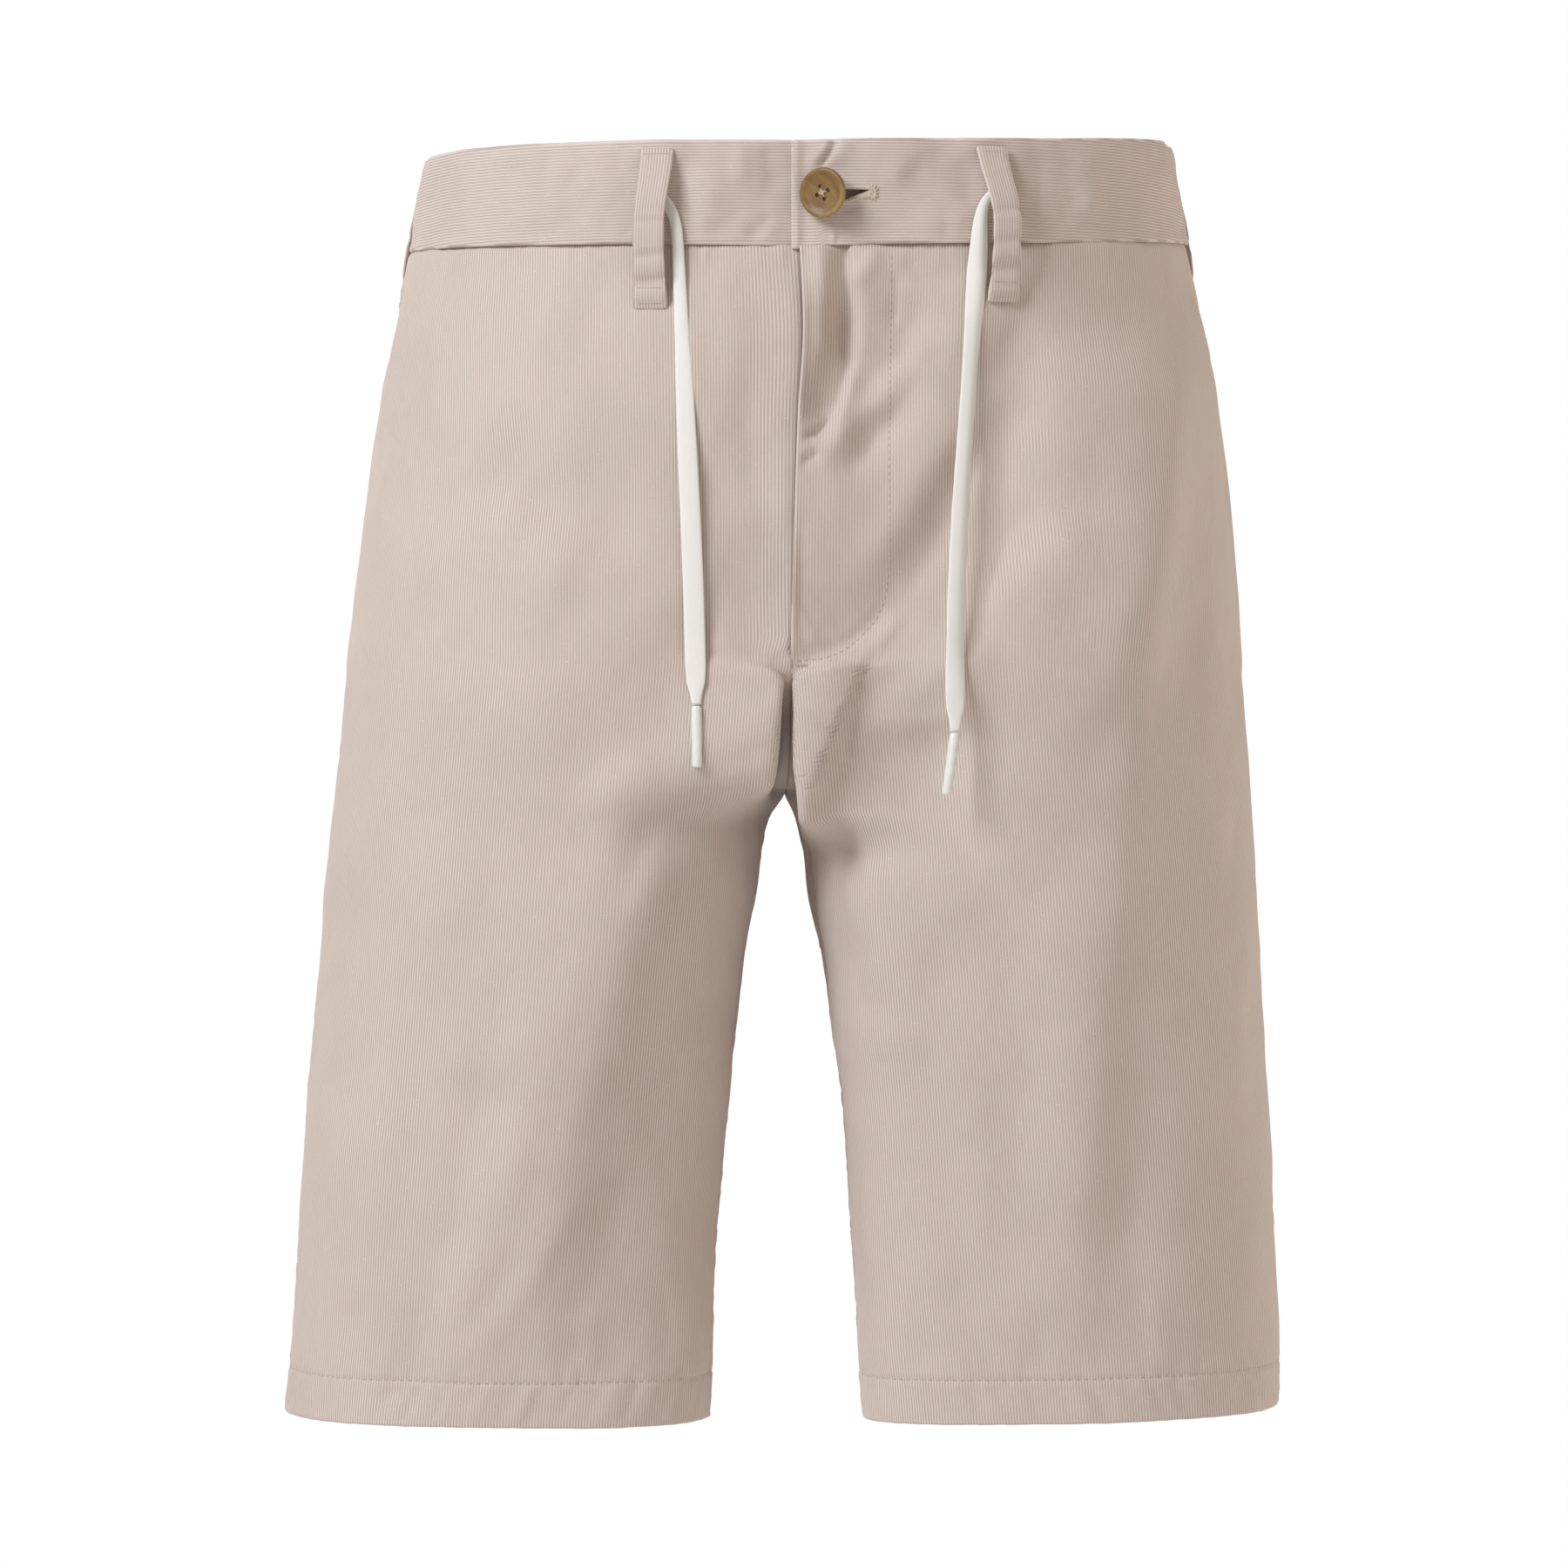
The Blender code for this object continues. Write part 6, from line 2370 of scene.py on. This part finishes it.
@dataclass
class Drawcord:
    """One free end of the flat drawcord, with its aglet."""

    name: str
    aglet_name: str
    route: tuple[CordPoint, ...]
    widths: tuple[CordWidth, ...]
    aglet_lean: float
    turned: float = 0.0                 # the ribbon's lower run turns its face this far, degrees
    turned_from: float = 40.0
    turned_to: float = 190.0
    forward: float = 2.6                # it rests on the waistband's face where it comes out
    full_width: float = 8.6
    wall: float = 1.15
    step: float = 1.5
    ring: int = 18
    aglet_length: float = 25.0
    aglet_radius: float = 2.1
    aglet_gap: float = 0.3
    aglet_sides: int = 24

    AGLET_PROFILE = ((0.0, 0.62), (0.01, 0.84), (0.04, 0.97), (0.2, 1.0), (0.4, 0.985), (0.6, 1.0),
                     (0.8, 0.99), (0.965, 1.0), (0.985, 0.95), (1.0, 0.7))  # way, share of radius

    def path(self) -> np.ndarray:
        """Even points and facings on a smooth curve through the route, in metres.

        Returns:
            A row of x, y, z and facing for each point.
        """
        rows = np.array(self.route, dtype=float)
        padded = np.vstack([2.0 * rows[0] - rows[1], rows, 2.0 * rows[-1] - rows[-2]])
        fine = []
        for i in range(1, len(padded) - 2):
            before, start, end, after = padded[i - 1:i + 3]
            for part in np.linspace(0.0, 1.0, 12, endpoint=False):
                fine.append(0.5 * (2.0 * start + (end - before) * part
                                   + (2.0 * before - 5.0 * start + 4.0 * end - after) * part ** 2
                                   + (3.0 * start - before - 3.0 * end + after) * part ** 3))
        line = np.array(fine + [rows[-1]])
        distances = along(line[:, :3])
        count = int(round(distances[-1] / (self.step * MM)))
        return read_line(line, distances, np.linspace(0.0, distances[-1], count + 1))

    def build(self, finishes: Finishes) -> None:
        """Build the cord and its aglet.

        Args:
            finishes: The materials.
        """
        path = self.path()
        cord = self._cord(path, finishes)
        aglet = self._aglet(finishes)

    def _cord(self, path: np.ndarray, finishes: Finishes) -> bpy.types.Object:
        """The woven ribbon, narrow and full at its exit, flat lower down.

        Args:
            path: Points and facings of the route.
            finishes: The materials.

        Returns:
            The cord.
        """
        centres = path[:, :3] / MM
        tangents = unit(np.gradient(centres, axis=0))
        distances = along(centres)
        turned = (smoothstep((distances - self.turned_from) / 40.0)
                  * (1.0 - 0.6 * smoothstep((distances - self.turned_to) / 30.0)))
        angles = np.radians(path[:, 3] + self.turned * turned)
        outward = np.column_stack([np.sin(angles), -np.cos(angles), np.zeros(len(path))])
        across = unit(np.cross(tangents, outward))
        outward = np.cross(across, tangents)
        centres = centres + outward * (self.forward * bell((distances - 16.0) / 26.0))[:, None]
        keys = [row.distance for row in self.widths]
        width = through_points(keys, [row.width for row in self.widths], distances)
        fold = through_points(keys, [row.fold for row in self.widths], distances)
        turn = np.arange(self.ring) * 2.0 * math.pi / self.ring
        flat = np.sign(np.cos(turn)) * np.abs(np.cos(turn)) ** 0.8
        thick = np.sign(np.sin(turn)) * np.abs(np.sin(turn)) ** 0.7
        spread = 0.5 * width[:, None] * flat[None]
        wall = self.wall * (1.0 + 0.9 * smoothstep((7.0 - width) / 5.0))
        ridge = fold[:, None] * (0.4 - np.abs(flat[None] + 0.15)) * 1.6
        waver = 0.12 * wavering(distances, 17.0, 0.37)[:, None] * flat[None]
        depth = 0.5 * wall[:, None] * thick[None] + ridge + waver
        points = (centres[:, None] + across[:, None] * spread[:, :, None]
                  + outward[:, None] * depth[:, :, None])
        chart = np.stack(np.broadcast_arrays(spread, distances[:, None]), axis=2)
        cord = link("woven_" + self.name, points.reshape(-1, 3), tube_faces(*points.shape[:2]),
                    chart.reshape(-1, 2), finishes.cord)
        return dress(cord, "cord_cotton", self.name)

    def _aglet(self, finishes: Finishes) -> bpy.types.Object:
        """The film roll: a slim rod, pinched at its top and a little dented.

        Args:
            finishes: The materials.

        Returns:
            The aglet.
        """
        last = np.array(self.route[-1][:3]) / MM
        start = last - np.array([0.0, 0.0, self.aglet_gap])
        run = np.array([self.aglet_lean, 0.0, -self.aglet_length])
        angles = np.arange(self.aglet_sides) * 2.0 * math.pi / self.aglet_sides
        rings = []
        chart = []
        for way, share in self.AGLET_PROFILE:
            dent = 1.0 + 0.03 * np.sin(2.0 * angles + 6.0 * way)
            radius = self.aglet_radius * share * dent
            ring = start + run * way + np.column_stack([radius * np.cos(angles),
                                                        radius * np.sin(angles),
                                                        np.zeros(self.aglet_sides)])
            rings.append(ring)
            chart.append(np.column_stack([self.aglet_radius * angles,
                                          np.full(self.aglet_sides, way * self.aglet_length)]))
        faces = [face[:1] + face[:0:-1] for face in tube_faces(len(rings), self.aglet_sides)]
        piece = link("film_" + self.aglet_name, np.vstack(rings), faces, np.vstack(chart),
                     finishes.film)
        return dress(piece, "aglet_film", self.aglet_name)


@dataclass
class Button:
    """A turned four-hole button, tilted by its buttonhole, and its thread."""

    radius: float = 10.2
    tilt: float = 25.0                  # the buttonhole's lips hold its left edge up
    hole: float = 0.85
    hole_out: float = 2.6
    turn: float = 21.0
    sides: int = 72
    place_x: float = 14.4
    place_z: float = -0.5
    seat: float = 0.45

    PROFILE = ((0.0, 0.0), (0.60, 0.0), (0.80, 0.15), (0.95, 0.55), (1.0, 1.15), (1.0, 1.7),
               (0.985, 2.3), (0.95, 2.72), (0.90, 2.85), (0.84, 2.78), (0.78, 2.5), (0.71, 2.15),
               (0.62, 1.95), (0.45, 1.85), (0.22, 1.8), (0.0, 1.8))     # share of radius, height

    def build(self, waist: WaistLine, band: Waistband, finishes: Finishes) -> None:
        """Build the button on the waistband, with a crossed thread in its holes.

        Args:
            waist: The waist seam's line.
            band: The left half of the waistband.
            finishes: The materials.
        """
        frame_of = self._frame(waist, band)
        disc = self._disc(frame_of, finishes)
        dress(disc, "button_horn", "button")
        thread = Thread(radius=0.34, rise=0.5)
        stitches = []
        for number in range(4):
            x, y = self._hole_place(number)
            for shift in (-0.3, 0.3):
                start = self._world(frame_of, (0.72 * x + shift, 0.72 * y - shift, 1.7))
                end = self._world(frame_of, (-0.2 * x + shift, -0.2 * y + shift, 2.15))
                stitches.append((start, end, frame_of[2]))
        knot = thread.build("button_thread", np.array(stitches), finishes.twine)
        dress(knot, "button_horn")

    def _frame(self, waist: WaistLine, band: Waistband) -> np.ndarray:
        """The button's seat and its three axes: across, up and facing, then the seat.

        Args:
            waist: The waist seam's line.
            band: The left half of the waistband.

        Returns:
            The three axes and the seat.
        """
        arc = self.place_x - waist.form.size_at(waist.form.waist_seam, "in_left")
        normal = waist.read(np.array([arc])).normals[0]
        points = [waist.band_spot(arc, self.place_z + step, band.end_lift(arc))
                  for step in (-4.0, 0.0, 4.0)]
        upward = unit(points[2] - points[0])
        facing = unit(normal - upward * (normal @ upward))
        across = np.cross(upward, facing)
        angle = math.radians(self.tilt)
        raised = self.seat + max(self.radius * out * math.sin(angle) - up * math.cos(angle)
                                 for out, up in self.PROFILE)
        seat = points[1] + facing * raised
        turned = facing * math.cos(angle) - across * math.sin(angle)
        return np.array([np.cross(upward, turned), upward, turned, seat])

    def _world(self, frame_of: np.ndarray, place: tuple[float, float, float]) -> np.ndarray:
        """A place of the button in the garment's frame."""
        return frame_of[3] + frame_of[0] * place[0] + frame_of[1] * place[1] + frame_of[2] * place[2]

    def _hole_place(self, number: int) -> tuple[float, float]:
        """The middle of one hole."""
        angle = math.radians(self.turn + 90.0 * number)
        return self.hole_out * math.cos(angle), self.hole_out * math.sin(angle)

    def _disc(self, frame_of: np.ndarray, finishes: Finishes) -> bpy.types.Object:
        """The turned disc with its holes drilled.

        Args:
            frame_of: The button's axes and seat.
            finishes: The materials.

        Returns:
            The disc.
        """
        shape = bmesh.new()
        line = [shape.verts.new((self.radius * out, 0.0, up)) for out, up in self.PROFILE]
        edges = [shape.edges.new(pair) for pair in zip(line, line[1:])]
        bmesh.ops.spin(shape, geom=line + edges, cent=(0.0, 0.0, 0.0), axis=(0.0, 0.0, 1.0),
                       angle=2.0 * math.pi, steps=self.sides, use_merge=True)
        bmesh.ops.remove_doubles(shape, verts=shape.verts, dist=0.001)
        bmesh.ops.recalc_face_normals(shape, faces=shape.faces)
        drills = bmesh.new()
        for number in range(4):
            drill = bmesh.ops.create_cone(drills, cap_ends=True, segments=20, radius1=self.hole,
                                          radius2=self.hole * 1.15, depth=8.0)
            x, y = self._hole_place(number)
            bmesh.ops.translate(drills, vec=(x, y, 0.0), verts=drill["verts"])
        disc = from_shape("disc_button", shape, finishes.horn)
        cut_away(disc, from_shape("button_drills", drills, finishes.horn))
        mesh = disc.data
        local = np.empty(3 * len(mesh.vertices), dtype=np.float32)
        mesh.vertices.foreach_get("co", local)
        local = local.reshape(-1, 3).astype(float)
        world = np.array([self._world(frame_of, tuple(row)) for row in local]) * MM
        mesh.vertices.foreach_set("co", world.astype(np.float32).ravel())
        while mesh.uv_layers:
            mesh.uv_layers.remove(mesh.uv_layers[0])
        lay_chart(mesh, local[:, :2])
        mesh.shade_smooth()
        mesh.set_sharp_from_angle(angle=math.radians(38.0))
        mesh.update()
        return disc


@dataclass
class FlyShield:
    """The strip behind the fly, which closes the front opening from inside."""

    form: ShortsForm
    right_reach: tuple[float, ...] = (10.0, 6.0, 2.0)
    left_reach: tuple[float, ...] = (0.0, 2.0, 4.0, 6.5, 9.0, 13.0, 18.0, 24.0, 30.0)
    cloth: float = 1.4
    gap: float = 0.5
    sink: float = 9.0
    lower_sink: float = 9.0             # it lies deeper where the front dips towards the thighs
    lower_top: float = -60.0
    tuck: float = 3.0
    ease: float = 9.0
    wall: float = 1.0
    top_gap: float = 0.6
    end: float = -176.0
    rows: int = 60

    def build(self, finishes: Finishes) -> bpy.types.Object:
        """Build the strip.

        Args:
            finishes: The materials.

        Returns:
            The strip's object.
        """
        levels = np.linspace(self.form.waist_seam - self.top_gap, self.end, self.rows)
        outer = np.array([np.vstack([self._reach(Side.RIGHT, level, self.right_reach),
                                     self._reach(Side.LEFT, level, self.left_reach)])
                          for level in levels])
        normals = grid_normals(outer, np.broadcast_to(np.array([0.0, -1.0, 0.0]), outer.shape))
        inner = outer - normals * self.wall
        across = np.array([-place for place in self.right_reach] + list(self.left_reach))
        chart = np.stack(np.broadcast_arrays(across[None], levels[:, None]), axis=2)
        piece = Sheet(outer, inner, chart, 3).build("cloth_fly_shield", finishes.cotton)
        dress(piece, "striped_cotton", "fly_shield")
        return piece

    def _reach(self, side: Side, level: float, places: tuple[float, ...]) -> np.ndarray:
        """One side's points of a row, sunk behind the front.

        Args:
            side: The wearer's side.
            level: The row's level.
            places: Distances from the centre front.

        Returns:
            The points.
        """
        steps = np.array(places)
        line = self.form.row(side, level, Face.FRONT)
        distances = along(line)
        points = read_line(line, distances, steps)
        points[:, 2] += self.form.place_heights(side, level, Face.FRONT, steps / distances[-1])
        deeper = self.lower_sink * float(smoothstep((self.lower_top - level) / 50.0))
        sink = (self.sink + deeper) * smoothstep(steps / self.ease)
        sink = sink + self.tuck if side is Side.LEFT else self.tuck + 0.4 * deeper
        points[:, 1] += self.cloth + self.gap + sink
        return points


@dataclass
class Sewing:
    """All the stitching that shows, in a few joined pieces of thread."""

    probe: Probe
    finishes: Finishes

    FLY_LINE = ((41.4, -25.0), (40.9, -60.0), (40.4, -110.0), (40.6, -150.0), (38.8, -164.7),
                (35.2, -173.2), (29.3, -179.9), (24.3, -184.3), (20.1, -187.0), (12.8, -189.4),
                (2.4, -190.0))
    edge_tack: tuple[float, float] = (0.75, -182.0)     # x and z of the bar tack on the fly's edge
    foot_tack: tuple[float, float] = (2.8, -191.4)      # and of the one across its foot
    tack_pitch: float = 0.55

    def build(self, panels: Sequence[LegPanel], loops: Sequence[BeltLoop]) -> None:
        """Lay every line of stitches.

        Args:
            panels: The four panels.
            loops: The belt loops.
        """
        hem = Thread(length=2.5, gap=0.9, radius=0.2, rise=0.2)
        self._piece("hem_stitches", hem,
                    np.vstack([panel.hem_stitches(hem) for panel in panels]))
        seam = Thread(length=2.2, gap=1.0, radius=0.17, rise=0.14)
        fronts = [panel for panel in panels if panel.face is Face.FRONT]
        self._piece("inseam_stitches", seam,
                    np.vstack([panel.inseam_stitches(seam) for panel in fronts]))
        fly = Thread(length=2.1, gap=0.9, radius=0.17, rise=0.14)
        self._piece("fly_stitches", fly, fly.walk(*self.probe.line(self.FLY_LINE)))
        tack = Thread(length=0.9, gap=0.15, radius=0.18, rise=0.14)
        self._piece("loop_tacks", tack, np.vstack([loop.tacks(tack) for loop in loops]))
        self._piece("fly_tacks", Thread(radius=0.17, rise=0.14), self._fly_tacks())
        satin = Thread(radius=0.28, rise=0.5)
        self._piece("buttonhole_stitches", satin, Buttonhole().stitches(self.probe), True)

    def _piece(self, name: str, thread: Thread, stitches: np.ndarray, pale: bool = False) -> None:
        """Make one piece of thread.

        Args:
            name: The piece's name.
            thread: The thread.
            stitches: Start, end and normal of each stitch.
            pale: Whether the thread is the pale one.
        """
        material = self.finishes.silk if pale else self.finishes.thread
        dress(thread.build(name, stitches, material), "striped_cotton")
        LOG.info("%s: %d stitches", name, len(stitches))

    def _fly_tacks(self) -> np.ndarray:
        """Bar tacks at the fly's foot: an upright one on its edge and one across.

        Returns:
            The stitches.
        """
        found = []
        edge_x, edge_z = self.edge_tack
        foot_x, foot_z = self.foot_tack
        for count in range(20):
            z = edge_z - self.tack_pitch * count
            half = 0.95 + 0.12 * math.sin(3.0 * count)
            found.append(self._stitch(edge_x - half, z, edge_x + half, z + 0.2))
        for count in range(9):
            x = foot_x + self.tack_pitch * count
            low = foot_z - 1.4 - 0.2 * math.sin(2.0 * count)
            found.append(self._stitch(x, foot_z, x + 0.3, low))
        return np.array(found)

    def _stitch(self, x0: float, z0: float, x1: float, z1: float) -> tuple:
        """One stitch between two places of the front view.

        Args:
            x0: Start across.
            z0: Start's height.
            x1: End across.
            z1: End's height.

        Returns:
            Its start, end and normal.
        """
        start, normal = self.probe.touch(x0, z0)
        end, _ = self.probe.touch(x1, z1)
        return start, end, normal


# ---------------------------------------------------------------- the whole


def make_loops(waist: WaistLine) -> list[BeltLoop]:
    """The five belt loops.

    Args:
        waist: The waist seam's line.

    Returns:
        The loops, not yet built.
    """
    back = waist.form.waist_length(Side.LEFT) - 0.2
    return [
        BeltLoop("belt_loop_front_right", -57.4, -59.7, -59.3, 17.0, -46.0, 7.0, 13.0,
                 ((0.46, 0.03, 0.6), (0.68, 0.035, 1.0), (0.84, 0.04, 1.5)), flatness=1.0),
        BeltLoop("belt_loop_front_left", 78.2, 81.9, 82.9, 18.6, -42.6, 7.6, 11.9,
                 ((0.42, 0.03, 0.7), (0.62, 0.04, 0.8), (0.80, 0.05, 1.3)), flatness=1.0),
        BeltLoop("belt_loop_side_right", -261.0, -261.0, -261.0, 15.0, -36.0, 2.4, 13.0,
                 ((0.4, 0.05, 0.5), (0.75, 0.04, 0.5))),
        BeltLoop("belt_loop_side_left", 262.0, 262.0, 262.0, 21.0, -33.0, 3.3, 13.0,
                 ((0.5, 0.05, 0.5), (0.8, 0.04, 0.6))),
        BeltLoop("belt_loop_back", back, back, back, 28.0, -34.0, 3.2, 13.2,
                 ((0.45, 0.04, 0.5), (0.78, 0.04, 0.6))),
    ]


def make_panels(form: ShortsForm) -> list[LegPanel]:
    """The four panels with the sizes of their cut.

    Args:
        form: The worn form.

    Returns:
        The panels, not yet built.
    """
    return [
        LegPanel(form, Side.RIGHT, Face.FRONT, 328.0, 512.0, 0.136),
        LegPanel(form, Side.LEFT, Face.FRONT, 332.0, 512.0, 0.136),
        LegPanel(form, Side.RIGHT, Face.BACK, 394.0, 520.0, 0.152),
        LegPanel(form, Side.LEFT, Face.BACK, 398.0, 520.0, 0.154),
    ]


def main() -> None:
    """Dress the frame, piece by piece."""
    logging.basicConfig(level=logging.INFO, format="%(name)s: %(message)s")
    Studio().build()
    LOG.info("studio ready")
    finishes = Finishes()
    cords = [
        Drawcord("drawcord_right", "aglet_right", CORD_RIGHT, (
            CordWidth(0.0, 3.0, 0.0), CordWidth(10.0, 4.2, 0.2), CordWidth(30.0, 4.8, 0.3),
            CordWidth(60.0, 5.8, 0.2), CordWidth(90.0, 7.2, 0.1), CordWidth(130.0, 8.2, 0.1),
            CordWidth(200.0, 8.5, 0.05), CordWidth(208.0, 7.6, 0.0), CordWidth(214.0, 4.6, 0.0),
            CordWidth(218.0, 3.6, 0.0)), 0.3),
        Drawcord("drawcord_left", "aglet_left", CORD_LEFT, (
            CordWidth(0.0, 2.4, 0.0), CordWidth(10.0, 3.4, 0.3), CordWidth(24.0, 6.4, 1.0),
            CordWidth(44.0, 8.4, 1.0), CordWidth(70.0, 7.8, 1.1), CordWidth(110.0, 7.6, 1.0),
            CordWidth(150.0, 8.2, 0.9), CordWidth(210.0, 8.4, 0.5), CordWidth(219.0, 7.6, 0.1),
            CordWidth(226.0, 4.6, 0.0), CordWidth(231.0, 3.6, 0.0)), -3.4, turned=32.0),
    ]
    for cord in cords:
        cord.build(finishes)
        LOG.info("%s and its aglet ready", cord.name)

    form = ShortsForm()
    waist = WaistLine(form)
    panels = make_panels(form)
    cloth = []
    for panel in panels:
        cloth.append(panel.build(finishes))
        LOG.info("%s ready", panel.name)
    FlyShield(form).build(finishes)
    bands = {side: Waistband(waist, side) for side in Side}
    for side, band in bands.items():
        cloth.append(band.build(finishes))
        LOG.info("waistband, %s half, ready", side_word(side))
    loops = make_loops(waist)
    for loop in loops:
        loop.build(waist, bands, finishes)
        LOG.info("%s ready", loop.name)
    Button().build(waist, bands[Side.LEFT], finishes)
    Sewing(Probe(cloth), finishes).build(panels, loops)


if __name__ == "__main__":
    main()
